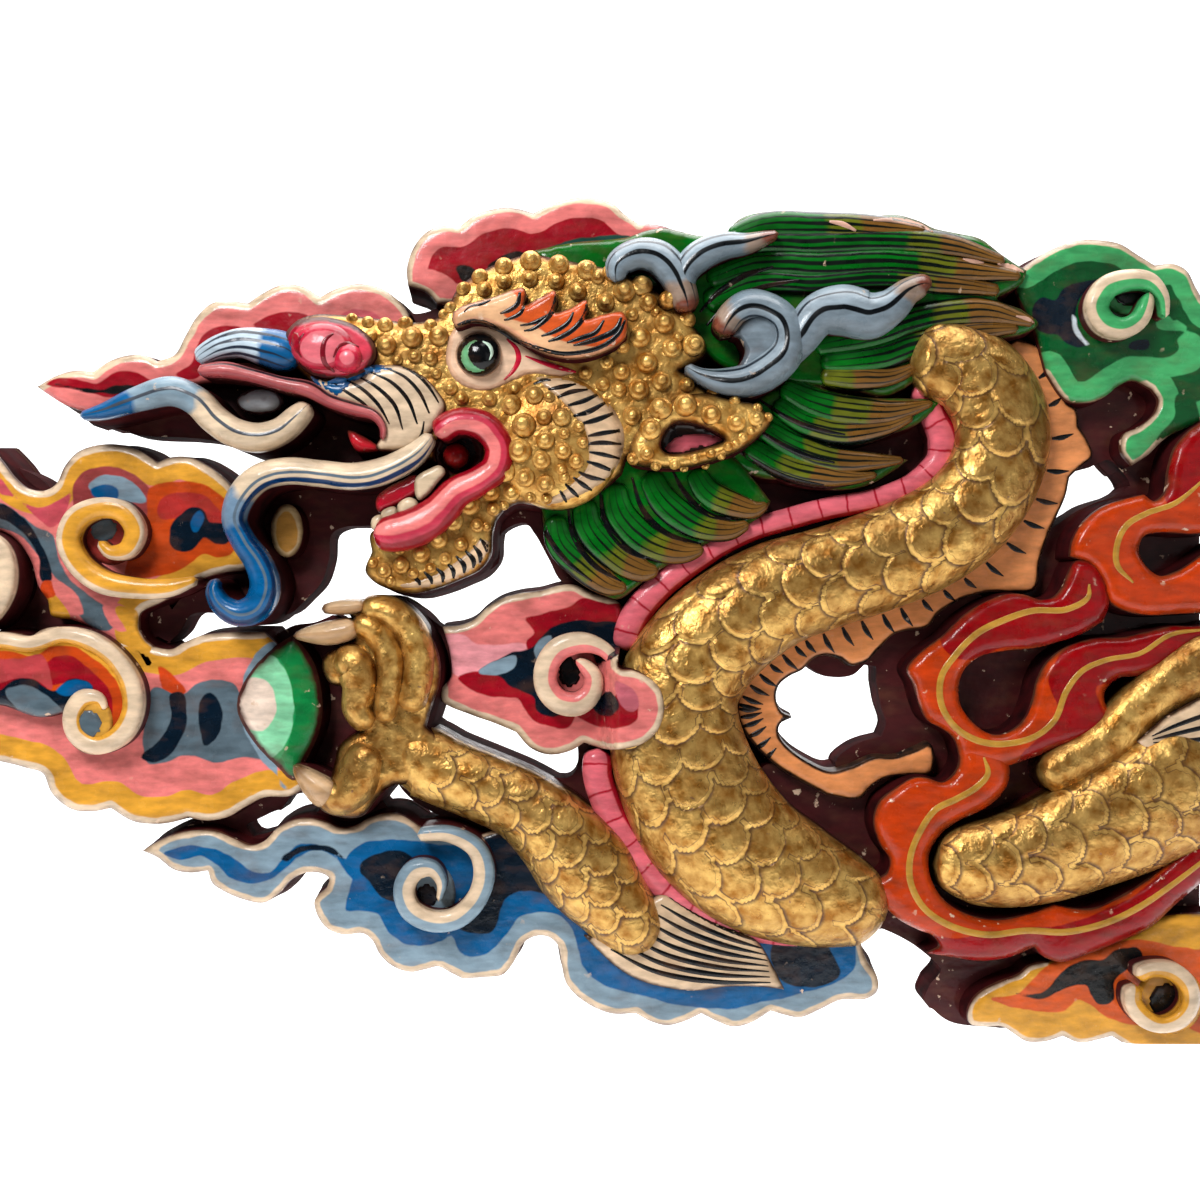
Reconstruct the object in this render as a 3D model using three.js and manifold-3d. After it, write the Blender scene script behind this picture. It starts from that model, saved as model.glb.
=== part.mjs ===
// A pierced relief carved from one thick plank: a horned dragon among clouds and flames.
// Millimetres. X is along the panel, Z is up, and the carving faces -Y from a flat back at y = 0.
import * as THREE from "three";
import { mergeVertices } from "three/addons/utils/BufferGeometryUtils.js";
import Module from "manifold-3d";

const wasm = await Module();
wasm.setup();

const PANEL_LENGTH = 940;
const PANEL_BOTTOM = -340;
const PANEL_TOP = 320;
const PANEL_DEPTH = 110;

// Outlines are drawn as seen from the eye, on a plane in front of the back.
const FACE_PLANE = 70;
const EYE_DISTANCE = 970;

// Height of each carved level above the flat back.
const LEVEL = {
  ground: 30,
  fin: 44,
  belly: 50,
  cloud: 52,
  mane: 60,
  flame: 64,
  volute: 66,
  head: 76,
  lip: 84,
};
// How far a carved wall leans out between its top and the back.
const WALL_LEAN = 4;

// Clouds. An outline is a list of smooth stretches that meet at corners; x and z in millimetres.
const SNOUT_CLOUD = [
  [[-422, 160], [-408, 168], [-394, 172]],
  [[-380, 171], [-366, 180], [-350, 184], [-340, 183]],
  [[-332, 179], [-319, 184], [-311, 198], [-302, 213], [-290, 223], [-277, 224]],
  [[-264, 222.5], [-253, 230], [-238, 236.5], [-223, 235]],
  [[-210, 227], [-200, 232.5], [-183, 237], [-165, 234], [-152, 225], [-143, 212]],
  [[-150, 192], [-200, 178], [-260, 168], [-310, 160], [-350, 150], [-380, 141], [-400, 146], [-415, 155]],
];
const CROWN_CLOUD = [
  [[-122, 222], [-130, 231]],
  [[-144, 236], [-145, 248], [-140, 264], [-130, 276], [-118, 280.5]],
  [[-106, 279.5], [-93, 289], [-75, 294], [-62, 293.5]],
  [[-50, 290], [-33, 298], [-12, 302], [8, 298], [20, 288]],
  [[29, 282], [42, 281.5], [55, 276]],
  [[50, 250], [20, 240], [-60, 225]],
];
const WING_CLOUD = [
  [[-475, 130], [-450, 105], [-440, 92], [-430, 84], [-417, 82], [-408, 87], [-401, 101], [-390, 112],
    [-367, 117], [-348, 113]],
  [[-332, 103], [-322, 107], [-308, 107], [-292, 99], [-279, 88], [-268, 70], [-264, 45], [-264, 24]],
  [[-280, 21], [-296, 17], [-310, 8], [-330, -2], [-345, -10]],
  [[-346, -22], [-341, -30], [-334, -36], [-325, -50]],
  [[-345, -60], [-352, -46], [-364, -32], [-378, -22], [-395, -15], [-411, -12]],
  [[-414, 0], [-421, 10], [-427, 30], [-440, 47], [-475, 65]],
];
const PEARL_CLOUD = [
  [[-252, -24], [-280, -24.5], [-300, -27], [-312, -32], [-322, -37], [-335, -35], [-348, -30]],
  [[-370, -30], [-410, -28], [-475, -32]],
  [[-475, -118], [-450, -121], [-430, -126], [-418, -130], [-411, -145], [-396, -157], [-380, -158.5]],
  [[-367, -156], [-350, -166], [-332, -168], [-318, -166]],
  [[-309, -163], [-296, -165.5], [-280, -163], [-266, -155], [-252, -148], [-232, -147]],
  [[-222, -141], [-224, -122], [-232, -80], [-238, -40]],
];
const CURL_CLOUD = [
  [[-475, -27], [-450, -24], [-438, -25]],
  [[-427, -28], [-418, -22], [-403, -20], [-386, -23], [-370, -34], [-357, -46], [-347, -62], [-343, -80],
    [-346, -96], [-357, -108], [-371, -115], [-386, -115], [-397, -107], [-402, -94]],
  [[-402, -84], [-420, -88], [-445, -80], [-475, -72]],
];
const BLUE_CLOUD = [
  [[-343, -188], [-333, -182], [-320, -176], [-305, -173], [-290, -173], [-275, -179], [-262, -184],
    [-252, -181], [-243, -172], [-231, -165.5], [-218, -164], [-205, -167], [-195, -171], [-184, -169.5],
    [-173, -163.5], [-160, -160], [-148, -162]],
  [[-134, -171], [-115, -171], [-97, -178], [-75, -172], [-50, -178], [-20, -195], [20, -215], [80, -235],
    [150, -243]],
  [[196, -246], [196, -258], [200, -270], [208, -283], [208, -293], [200, -299], [180, -300], [165, -307],
    [150, -313], [138, -311]],
  [[128, -308], [113, -317], [100, -320], [88, -316]],
  [[76, -310], [63, -316], [50, -319], [38, -316]],
  [[27, -310], [8, -310], [-12, -301], [-25, -288], [-29, -272], [-31, -260], [-38, -253], [-48, -252],
    [-58, -258], [-65, -272], [-73, -281], [-88, -283]],
  [[-103, -284], [-113, -279], [-121, -275], [-131, -277], [-142, -279], [-155, -275], [-165, -266],
    [-171, -255], [-178, -250], [-192, -251], [-205, -246], [-213, -234], [-214, -225]],
  [[-205, -216], [-203, -209], [-209, -205], [-220, -204.5], [-232, -210], [-241, -220], [-252, -227],
    [-266, -225], [-281, -219], [-291, -212]],
  [[-294, -203], [-308, -204.5], [-320, -202], [-332, -193]],
];
const ROSE_CLOUD = [
  [[-118, -20], [-105, -19], [-95, -15], [-85, -6], [-74, 1], [-60, 5], [-45, 7], [-30, 11], [-20, 11.5],
    [-5, 5], [15, -3]],
  [[16, -30], [14, -51], [25, -53], [36, -58], [45, -67], [48, -80], [45, -95], [35, -106], [22, -111],
    [5, -112]],
  [[-12, -107], [-22, -113], [-38, -116], [-52, -111]],
  [[-63, -99], [-80, -92], [-97, -86], [-118, -76]],
  [[-119, -66], [-112, -58], [-112, -42]],
];
const LEAF_CLOUD = [
  [[318, 250], [335, 261], [355, 269], [372, 270], [390, 267], [403, 259]],
  [[416, 251], [430, 252], [440, 247], [447, 234], [458, 218], [475, 212]],
  [[475, 140], [445, 131], [425, 122], [410, 108]],
  [[399, 101], [391, 112], [393, 124], [405, 130], [416, 140], [419, 150]],
  [[414, 158], [400, 165], [388, 160], [378, 152], [366, 148], [350, 150]],
  [[335, 170], [325, 205], [312, 235]],
];
const CORNER_CLOUD = [
  [[334, -272], [322, -275], [315, -281], [300, -287], [288, -293], [280, -300], [276, -310], [278, -318]],
  [[290, -320], [302, -320], [310, -325], [320, -331], [334, -331]],
  [[347, -327], [360, -332], [372, -330]],
  [[384, -327], [400, -336], [475, -350]],
  [[475, -235], [420, -238], [400, -250], [370, -262]],
];

// Volutes and other round rims: stations of x, z and half width along the middle of the band.
const WING_VOLUTE = [
  [-303, 15, 3], [-325, 9, 7], [-350, 9, 8], [-374, 14, 9], [-391, 27, 9], [-399, 45, 9], [-393, 61, 9],
  [-376, 69, 8], [-358, 66, 8], [-349, 52, 8], [-355, 38, 7], [-368, 36, 5], [-376, 44, 3],
];
const CURL_VOLUTE = [
  [-475, -33, 6], [-450, -30, 6], [-428, -33, 6], [-403, -26, 6], [-382, -31, 7], [-364, -44, 7],
  [-352, -64, 8], [-351, -84, 8], [-360, -101, 8], [-378, -109, 7], [-393, -101, 7], [-396, -86, 7],
  [-388, -74, 7], [-376, -74, 5], [-371, -83, 3],
];
const EDGE_VOLUTE = [[-478, -13, 14], [-464, -7, 14], [-452, 12, 13], [-455, 34, 13], [-475, 46, 12]];
const BLUE_VOLUTE = [
  [-137, -176, 5], [-113, -176, 6], [-93, -187, 7], [-87, -205, 8], [-93, -225, 8], [-108, -239, 8],
  [-127, -241, 8], [-143, -232, 8], [-147, -216, 8], [-139, -203, 8], [-126, -202, 6], [-119, -212, 4],
  [-121, -226, 2],
];
const ROSE_VOLUTE = [
  [12, -46, 5], [1, -36, 6], [-14, -32, 8], [-31, -37, 9], [-40, -50, 9], [-40, -65, 9], [-31, -76, 9],
  [-17, -78, 9], [-7, -70, 8], [-5, -58, 7], [-12, -49, 5], [-18, -45, 2],
];
const LEAF_VOLUTE = [
  [424, 212, 3], [422, 228, 5], [412, 239, 7], [395, 240, 8], [380, 234, 9], [373, 220, 9], [379, 208, 9],
  [392, 204, 8], [405, 211, 7], [411, 225, 5], [412, 231, 2],
];
const CORNER_VOLUTE = [
  [402, -282, 7], [415, -277, 6], [430, -279, 7], [441, -289, 7], [443, -303, 7], [436, -314, 7],
  [422, -319, 6], [409, -314, 7], [400, -302, 7], [401, -289, 7],
];
// Flames.
const FLAME_UPPER = [
  [[366, 30], [357, 29], [352, 20], [348, 10], [341, 2], [331, 0], [318, 4], [305, 4], [287, -3], [272, -13],
    [258, -27], [243, -38], [231, -52], [236, -64], [240, -78], [246, -90], [258, -97], [266, -104]],
  [[271, -120], [300, -125], [322, -119], [343, -111], [360, -107], [376, -101]],
  [[387, -88], [379, -78], [379, -68], [388, -59], [404, -57], [422, -52], [438, -42], [450, -32],
    [475, -28]],
  [[475, -15], [448, -20], [430, -20], [412, -24], [395, -28], [370, -29.5], [350, -36], [336, -47],
    [329, -60], [325, -76], [318, -91], [306, -100], [294, -101], [282, -94], [271, -80], [269, -64],
    [274, -51], [286, -42], [304, -38], [325, -36], [345, -31], [362, -25]],
  [[377, -16], [382, -3], [380, 12], [375, 23]],
];
const FLAME_LOWER = [
  [[270, -105], [269, -126], [258, -137], [246, -134], [236, -134], [222, -142], [210, -152], [206, -168],
    [211, -184], [218, -195], [216, -205]],
  [[205, -211], [210, -224], [222, -238], [238, -247], [250, -252], [255, -260]],
  [[246, -265], [265, -268], [285, -270.5], [306, -268]],
  [[326, -260], [332, -267], [345, -271.5], [365, -266], [390, -256], [412, -246], [432, -228], [475, -186]],
  [[475, -158], [450, -178], [432, -193], [412, -210], [392, -223], [372, -232], [355, -232]],
  [[341, -229], [322, -236], [298, -240.5], [275, -236], [258, -225], [248, -208], [247, -190], [256, -175],
    [270, -165], [287, -157], [300, -147], [307, -133], [304, -118]],
];
const FLAME_RIGHT = [
  [[353, 33], [355, 45], [362, 57], [376, 69], [392, 75]],
  [[408, 79], [416, 74], [424, 80], [427, 98], [433, 116], [447, 130], [475, 142]],
  [[475, 52], [445, 50], [420, 51], [408, 48], [404, 37], [409, 26], [420, 18], [435, 22], [475, 45]],
  [[475, -8], [440, -10], [410, -11], [392, -7], [382, 0], [377, 14], [368, 26]],
];

// Scaled body, legs and fin.
const BODY = [
  [232, 186, 22], [252, 181, 30], [277, 172, 34], [296, 150, 36], [302, 122, 36], [294, 92, 36],
  [272, 63, 37], [240, 42, 38], [205, 28, 38], [168, 16, 38], [132, 4, 40], [102, -14, 42], [76, -38, 44],
  [60, -64, 46], [56, -92, 49], [62, -124, 52], [80, -162, 54], [110, -194, 52], [148, -214, 46],
  [188, -228, 34], [215, -236, 22],
];
const FORELEG = [
  [-158, -122, 26], [-138, -120, 27], [-115, -130, 26], [-88, -141, 26], [-60, -154, 27], [-34, -175, 32],
  [-10, -203, 36], [10, -228, 30],
];
const HIND_LEG = [
  [251, -199, 6], [257, -199, 18], [272, -198, 28], [300, -197, 34], [332, -190, 38], [366, -176, 42],
  [400, -160, 46], [435, -142, 50], [475, -128, 52],
];
const HIND_CALF = [
  [330, -134, 13], [345, -128, 17], [364, -118, 18], [384, -104, 19], [402, -84, 19], [424, -66, 20],
  [448, -52, 24], [475, -42, 28],
];
const HIND_TUFT = [
  [[403, -106], [415, -97], [425, -88], [436, -82], [450, -74], [475, -62]],
  [[475, -132], [445, -130], [425, -128], [412, -118]],
];
const FIN = [
  [[312, 196], [330, 191], [345, 183], [354, 178]],
  [[350, 168], [348, 155], [350, 148], [357, 143]],
  [[359, 130], [366, 119], [369, 108], [360, 100]],
  [[352, 92], [349, 78], [343, 64], [336, 48], [330, 30], [326, 8]],
  [[308, 6], [290, 6], [272, 1], [254, -10], [246, -20]],
  [[232, -22], [220, -26], [208, -38], [200, -46], [189, -49]],
  [[181, -44], [170, -41], [160, -44], [152, -52], [142, -57], [134, -64], [132, -74], [136, -84]],
  [[144, -88], [135, -93], [134, -101], [142, -112], [158, -123], [173, -129]],
  [[190, -125], [206, -118], [222, -118], [238, -112], [248, -108]],
  [[251, -118], [248, -130], [230, -131], [213, -134], [203, -141], [194, -149]],
  [[170, -146], [130, -122], [104, -90], [108, -58], [135, -22], [180, 0], [230, 12], [275, 38], [306, 76],
    [322, 115], [318, 155], [300, 185]],
];
const BELLY = [
  [236, 160, 6], [247, 150, 6], [252, 136, 7], [258, 122, 8], [257, 106, 8], [248, 94, 8], [232, 84, 7],
  [205, 75, 6], [172, 69, 6], [142, 61, 6], [115, 53, 6], [92, 42, 6], [70, 29, 7], [48, 12, 7],
  [32, -4, 8], [22, -22, 8], [20, -38, 8],
];
const BELLY_LOWER = [
  [-1, -112, 8], [-2, -130, 8], [3, -148, 8], [12, -168, 8], [27, -190, 8], [46, -212, 8], [68, -228, 8],
  [95, -241, 8], [122, -248, 7], [150, -251.5, 6], [178, -250, 4], [205, -248, 3],
];
const ELBOW_TUFT = [
  [[-12, -252], [0, -264], [12, -275], [27, -284], [46, -290], [70, -293], [95, -290], [120, -290]],
  [[138, -292], [130, -276], [121, -260]],
  [[112, -250], [85, -240], [62, -228], [48, -220]],
  [[28, -232], [20, -250]],
];

// The claw that holds the pearl.
const PALM = [
  [[-190, -8], [-168, 0], [-150, -5], [-136, -14], [-126, -28], [-120, -44], [-120, -62], [-126, -80]],
  [[-130, -95], [-112, -112], [-104, -140], [-122, -142]],
  [[-142, -138], [-158, -140], [-168, -150], [-178, -162], [-194, -163], [-210, -156], [-204, -140],
    [-199, -122], [-196, -110], [-186, -101]],
  [[-178, -97], [-188, -88], [-191, -76], [-190, -66], [-202, -63], [-208, -52], [-207, -42], [-196, -35]],
  [[-186, -30], [-184, -18]],
];
const FINGERS = [
  [[-186, -16, 7], [-170, -22, 9], [-160, -36, 9], [-157, -54, 9], [-160, -74, 8], [-163, -92, 6]],
  [[-180, -6, 7], [-160, -9, 10], [-144, -22, 10], [-137, -40, 10], [-138, -60, 10], [-144, -84, 9]],
  [[-200, -48, 7], [-186, -48, 12], [-180, -64, 11], [-182, -82, 9], [-172, -96, 7]],
];
const THUMB = [[-212, -142, 8], [-196, -148, 14], [-184, -138, 17], [-178, -122, 16], [-170, -108, 12]];
const NAILS = [
  [[-230, -27, 2], [-219, -26, 6], [-205, -25, 9], [-190, -22, 9], [-182, -18, 7]],
  [[-209, -7, 3], [-200, -6, 5], [-188, -5, 6], [-176, -4, 5]],
  [[-230, -124, 2], [-222, -132, 7], [-211, -142, 11], [-200, -150, 11]],
];
const PEARL = [
  [[-230, -26], [-247, -37], [-260, -50], [-270, -66], [-273, -80], [-268, -95], [-256, -112], [-243, -125],
    [-230, -136]],
  [[-218, -116], [-211, -100], [-208, -82], [-210, -62], [-216, -44]],
];
// Head.
const HEAD = [
  [[-198, 214], [-175, 212], [-160, 210], [-143, 208], [-124, 211]],
  [[-113, 221], [-107, 233], [-90, 246], [-72, 254], [-52, 259], [-33, 256], [-12, 252], [15, 246],
    [38, 234], [58, 218], [72, 203], [80, 188], [72, 178]],
  [[60, 172], [80, 158], [100, 150], [118, 146], [128, 134], [120, 124], [105, 113], [88, 106], [65, 100],
    [42, 100], [22, 108]],
  [[16, 95], [4, 84], [-15, 75], [-40, 70], [-62, 72], [-76, 66]],
  [[-86, 84], [-104, 92], [-124, 104], [-140, 108], [-158, 118], [-166, 134], [-184, 142], [-205, 154],
    [-218, 164], [-232, 180], [-236, 198], [-228, 209], [-214, 214]],
];
const JAW = [
  [[-171, 36], [-176, 22], [-170, 14], [-158, 8], [-140, 5], [-122, 9], [-104, 16], [-90, 23], [-82, 34],
    [-81, 48], [-78, 60]],
  [[-68, 72], [-80, 90], [-100, 96], [-122, 88]],
  [[-134, 74], [-150, 60], [-172, 50]],
];
const LIP_RING = [
  [-124, 124, 8], [-108, 134, 8], [-88, 131, 9], [-76, 116, 9], [-78, 100, 9], [-90, 90, 9], [-108, 80, 10],
  [-121, 66, 11], [-137, 53, 10], [-156, 46, 7], [-171, 43, 4],
];
const MUZZLE = [
  [[-216, 168], [-200, 164], [-180, 168], [-168, 175], [-150, 176], [-134, 169], [-123, 158], [-116, 146],
    [-120, 134], [-130, 122]],
  [[-140, 112], [-158, 112], [-168, 114]],
  [[-163, 124], [-165, 136], [-178, 142], [-196, 148], [-208, 155]],
];
const NOSE = [
  [[-236, 198], [-230, 207], [-215, 212], [-198, 211], [-182, 205], [-171, 195], [-168, 184], [-174, 174],
    [-186, 167], [-202, 166], [-218, 170], [-230, 181]],
];
const UPPER_LIP = [
  [-302, 172, 4], [-282, 173, 6], [-262, 169, 5], [-240, 163, 5], [-218, 158, 6], [-204, 150, 5],
  [-186, 144, 5], [-170, 139, 4], [-163, 130, 3], [-163, 120, 2],
];
const MOUSTACHE = [
  [-303, 180, 7], [-288, 189, 9], [-270, 193, 11], [-252, 190, 14], [-238, 186, 15], [-226, 178, 10],
];
const SNOUT_WHISKER = [
  [-390, 138, 3], [-372, 142, 6], [-348, 151, 9], [-322, 157, 11], [-304, 150, 11], [-290, 136, 11],
  [-275, 126, 11], [-257, 122, 11], [-240, 127, 10], [-227, 138, 9], [-218, 147, 6],
];
const LONG_WHISKER = [
  [-126, 124, 5], [-140, 109, 9], [-160, 98, 10], [-185, 93, 10], [-210, 95, 10], [-235, 97, 10],
  [-256, 92, 10], [-270, 78, 10], [-275, 60, 9], [-268, 44, 9], [-257, 28, 10], [-252, 10, 11],
  [-258, -5, 11], [-271, -10, 10], [-284, -4, 8], [-290, 7, 6], [-288, 16, 3],
];
const EAR = [
  [[24, 104], [23, 116], [30, 130], [42, 142], [57, 151], [76, 155], [100, 150], [118, 146], [128, 134],
    [120, 124], [105, 113], [88, 106], [65, 100], [42, 100]],
];
const BROW_RIDGE = [
  [-104, 213, 6], [-84, 217, 11], [-60, 214, 14], [-36, 205, 16], [-10, 200, 16], [10, 206, 9],
];
const CHEEK = [-48, 118, 62, 52];
const EYE = [-90, 184, 18, 17];
const HORN_CURL = [
  [12, 238, 5], [14, 252, 8], [28, 260, 9], [43, 258, 10], [54, 248, 10], [61, 234, 9], [66, 216, 8],
];
const HORN_TIP = [
  [62, 226, 7], [64, 246, 8], [74, 258, 9], [92, 266, 8], [110, 268, 6], [124, 272, 4], [134, 275, 2],
];
const HORN_BACK = [
  [66, 172, 4], [82, 162, 9], [104, 157, 13], [124, 166, 15], [138, 182, 14], [142, 200, 11], [134, 216, 11],
  [119, 222, 9], [104, 215, 9], [95, 203, 8], [92, 195, 4],
];
const HORN_BACK_TIP = [
  [136, 178, 8], [150, 196, 11], [164, 214, 13], [182, 218, 15], [203, 214, 14], [218, 220, 11],
  [232, 232, 8], [244, 237, 6], [249, 236, 2],
];

// Mane and beard.
const MANE_TOP = [
  [[93, 274], [105, 286], [122, 291], [145, 291.5], [165, 290], [185, 287], [205, 288], [222, 289],
    [240, 284], [250, 279]],
  [[268, 275], [285, 271], [300, 260], [310, 253]],
  [[320, 247], [317, 238], [308, 232], [298, 226]],
  [[316, 218], [329, 207], [318, 200]],
  [[298, 196], [278, 190], [258, 182], [242, 170], [230, 160], [212, 153]],
  [[190, 158], [165, 160], [120, 165], [85, 180], [60, 215], [64, 250]],
];
const MANE_CROWN = [
  [[-50, 262], [-20, 268], [20, 272], [35, 277], [48, 279], [62, 276], [76, 273], [94, 275]],
  [[100, 262], [80, 240], [20, 236], [-40, 248]],
];
const MANE_LOW = [
  [[150, 168], [170, 158], [200, 152], [232, 151], [254, 150]],
  [[250, 141], [236, 131], [215, 124], [190, 117], [172, 115]],
  [[158, 115], [130, 112], [108, 128], [118, 150]],
];
const MANE_TAIL = [
  [[120, 132], [145, 118], [170, 111], [200, 110], [218, 108]],
  [[231, 105], [220, 97], [205, 88], [186, 83], [165, 84], [142, 90], [120, 92]],
  [[100, 100], [98, 118]],
];
const BEARD = [
  [[-44, 71], [-42, 55], [-36, 40], [-26, 27], [-14, 15], [0, 5], [14, 1]],
  [[30, 12], [50, 26], [80, 42], [110, 56], [124, 66]],
  [[128, 74], [122, 82], [114, 92], [98, 108], [60, 112], [20, 112], [0, 90]],
];
const MANE_LOCKS = [
  [[96, 272, 6], [125, 281, 9], [165, 281, 9], [205, 280, 8], [245, 277, 3]],
  [[80, 256, 6], [120, 268, 8], [165, 268, 9], [215, 270, 9], [262, 266, 8], [304, 254, 3]],
  [[80, 240, 7], [120, 252, 9], [170, 252, 10], [220, 254, 10], [270, 248, 9], [316, 243, 3]],
  [[78, 222, 8], [115, 238, 9], [160, 238, 8], [205, 242, 8], [255, 238, 8], [300, 232, 4]],
  [[160, 190, 7], [200, 198, 10], [245, 212, 10], [290, 216, 9], [326, 208, 3]],
  [[165, 178, 7], [205, 182, 10], [245, 194, 9], [285, 202, 7], [314, 204, 3]],
  [[165, 168, 6], [195, 166, 8], [220, 168, 6], [240, 176, 3]],
  [[135, 160, 7], [165, 146, 10], [200, 140, 10], [230, 143, 6], [250, 148, 2]],
  [[130, 148, 7], [155, 133, 9], [185, 126, 9], [215, 130, 6], [235, 138, 3]],
  [[120, 130, 7], [145, 115, 9], [175, 105, 9], [205, 104, 6], [228, 105, 2]],
  [[110, 116, 7], [135, 102, 9], [165, 94, 9], [190, 92, 5], [208, 94, 2]],
];
const BEARD_LOCKS = [
  [[-34, 64, 7], [-30, 44, 10], [-14, 26, 10], [6, 12, 8], [20, 8, 3]],
  [[-12, 76, 8], [-8, 54, 10], [10, 34, 10], [32, 22, 8], [44, 22, 3]],
  [[10, 88, 8], [16, 64, 10], [36, 44, 11], [62, 36, 8], [78, 38, 3]],
  [[36, 96, 8], [48, 74, 10], [70, 58, 10], [96, 52, 7], [112, 57, 3]],
  [[70, 98, 7], [80, 82, 9], [98, 72, 9], [116, 68, 6], [126, 72, 2]],
];
// Ground behind the carving: patches of the board, left where nothing in front covers it.
const GROUND = [
  [[[-170, 226], [-150, 222], [-140, 215], [-124, 218], [-100, 230], [-100, 190], [-160, 190]]],
  [[[0, 20], [30, 30], [70, 60], [130, 75], [180, 40], [120, 0], [60, -40], [20, -50], [0, -20]]],
  [[[-396, 150], [-380, 131], [-362, 128], [-335, 120], [-300, 118], [-282, 116], [-262, 110], [-246, 104]],
    [[-262, 92], [-290, 70], [-298, 30], [-320, -6], [-334, -24], [-318, -32], [-306, -24], [-296, -10]],
    [[-262, -16], [-240, -14], [-224, -9], [-213, 1], [-203, 12], [-197, 30], [-195, 48], [-186, 53],
      [-168, 54]],
    [[-130, 60], [-90, 110], [-120, 160], [-200, 180], [-300, 170], [-350, 160]]],
  [[[-100, 12], [-74, 27], [-73, 46], [-66, 53], [-54, 56], [-49, 50]],
    [[-38, 30], [-29, 14], [0, 0], [30, 40], [0, 100], [-80, 100], [-130, 50]]],
  [[[100, 120], [90, 60], [110, 40], [170, 50], [230, 66], [270, 95], [278, 130], [262, 165], [200, 170],
    [130, 160]]],
  [[[340, 150], [345, 110], [353, 96]],
    [[361, 99], [370, 102], [377, 96], [384, 87]],
    [[386, 81], [400, 70], [440, 80], [475, 120], [475, 200], [380, 200]]],
  [[[390, 84], [372, 75], [358, 70], [344, 63]],
    [[326, 50], [310, 24], [310, -10], [360, -20], [475, -20], [475, 80]]],
  [[[55, 200], [60, 155], [115, 155], [120, 200]]],
  [[[-355, -2], [-313, -4], [-313, -22], [-355, -28]]],
  [[[-200, -84], [-176, -84], [-176, -106], [-200, -106]]],
  [[[296, 236], [320, 236], [320, 218], [296, 218]]],
  [[[270, 10], [200, -20], [145, -40], [154, -50], [165, -56], [178, -58], [190, -56], [200, -48]],
    [[201, -60], [204, -76], [208, -90]],
    [[205, -99], [193, -102], [182, -107], [171, -118]],
    [[180, -135], [200, -150], [215, -160], [260, -140], [320, -90], [330, -20]]],
  [[[120, -120], [150, -128], [175, -132], [200, -130], [240, -125], [280, -110], [320, -150], [320, -240],
    [215, -245], [150, -230], [110, -180]]],
  [[[195, -240], [222, -251], [236, -259], [248, -268]],
    [[240, -279], [236, -291], [246, -303], [262, -316]],
    [[300, -321], [380, -320], [475, -335], [475, -150], [400, -200], [300, -225], [240, -235]]],
  [[[262, -40], [380, 12], [475, 60], [475, -240], [300, -230], [250, -200], [290, -140], [255, -90]]],
  [[[-475, 126], [-440, 104], [-408, 89], [-398, 80], [-350, 40], [-330, -20], [-335, -60], [-330, -110],
    [-400, -120], [-475, -100]]],
  [[[-318, -177], [-304, -166], [-290, -160], [-262, -145], [-225, -140]],
    [[-232, -153], [-247, -159], [-257, -164]],
    [[-252, -172], [-238, -168], [-222, -161], [-210, -157]],
    [[-200, -150], [-160, -152], [-160, -166], [-200, -178], [-250, -190], [-300, -185]]],
  [[[-190, -165], [-172, -140], [-158, -146], [-152, -153], [-140, -156], [-126, -159], [-113, -154]],
    [[-104, -142], [-70, -150], [-40, -165], [-60, -200], [-110, -185], [-160, -170]]],
  [[[-17, -96], [-17, -122], [-23, -129], [-42, -127], [-62, -122]],
    [[-80, -112], [-104, -102], [-118, -96], [-126, -86], [-124, -74]],
    [[-150, -74], [-150, -140], [-70, -175], [30, -160], [30, -100]]],
  [[[-145, -4], [-128, -10], [-113, -20], [-100, -19], [-90, -40], [-100, -80], [-124, -74], [-160, -60]]],
  [[[-232, -20], [-215, -17], [-190, -12], [-180, -60], [-180, -160], [-205, -158], [-222, -142],
    [-250, -120], [-255, -40]]],
  [[[-80, -170], [20, -215], [170, -240], [170, -290], [20, -290], [-20, -240]]],
];

// Where a drawn point lies on the panel when it is carved at a given height.
const place = ([x, z], height) => {
  const scale = (EYE_DISTANCE - height) / (EYE_DISTANCE - FACE_PLANE);
  return new THREE.Vector2(x * scale, z * scale);
};

// A closed outline through its points: smooth along each stretch, with a corner where two meet.
const traceOutline = (stretches, stepsPerSpan) => {
  const closed = stretches.length === 1;
  return stretches.flatMap((stretch, index) => {
    const next = stretches[(index + 1) % stretches.length];
    const knots = closed ? stretch : [...stretch, next[0]];
    const vectors = knots.map(([x, z]) => new THREE.Vector3(x, 0, z));
    const curve = new THREE.CatmullRomCurve3(vectors, closed, "centripetal");
    const spans = closed ? knots.length : knots.length - 1;
    const steps = spans * stepsPerSpan;
    return Array.from({ length: steps }, (_, step) => {
      const point = curve.getPoint(step / steps);
      return [point.x, point.z];
    });
  });
};

// The way out of an outline at each of its points, averaged over the near stretch on both sides.
const outwardDirections = (rim, reach) => {
  const count = rim.length;
  return rim.map((point, index) => {
    const sum = new THREE.Vector2();
    for (const turn of [-1, 1]) {
      let travelled = 0;
      for (let step = 0; step < count / 3 && travelled < reach; step += 1) {
        const near = rim[(index + turn * step + count * 2) % count];
        const far = rim[(index + turn * (step + 1) + count * 2) % count];
        const edge = far.clone().sub(near).multiplyScalar(turn);
        const weight = Math.max(0, 1 - travelled / reach);
        sum.x += edge.y * weight;
        sum.y -= edge.x * weight;
        travelled += edge.length();
      }
    }
    return sum.normalize();
  });
};

const toGeometry = (positions, triangles) => {
  const geometry = new THREE.BufferGeometry();
  geometry.setAttribute("position", new THREE.Float32BufferAttribute(positions, 3));
  geometry.setIndex(triangles);
  return geometry;
};

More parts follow.
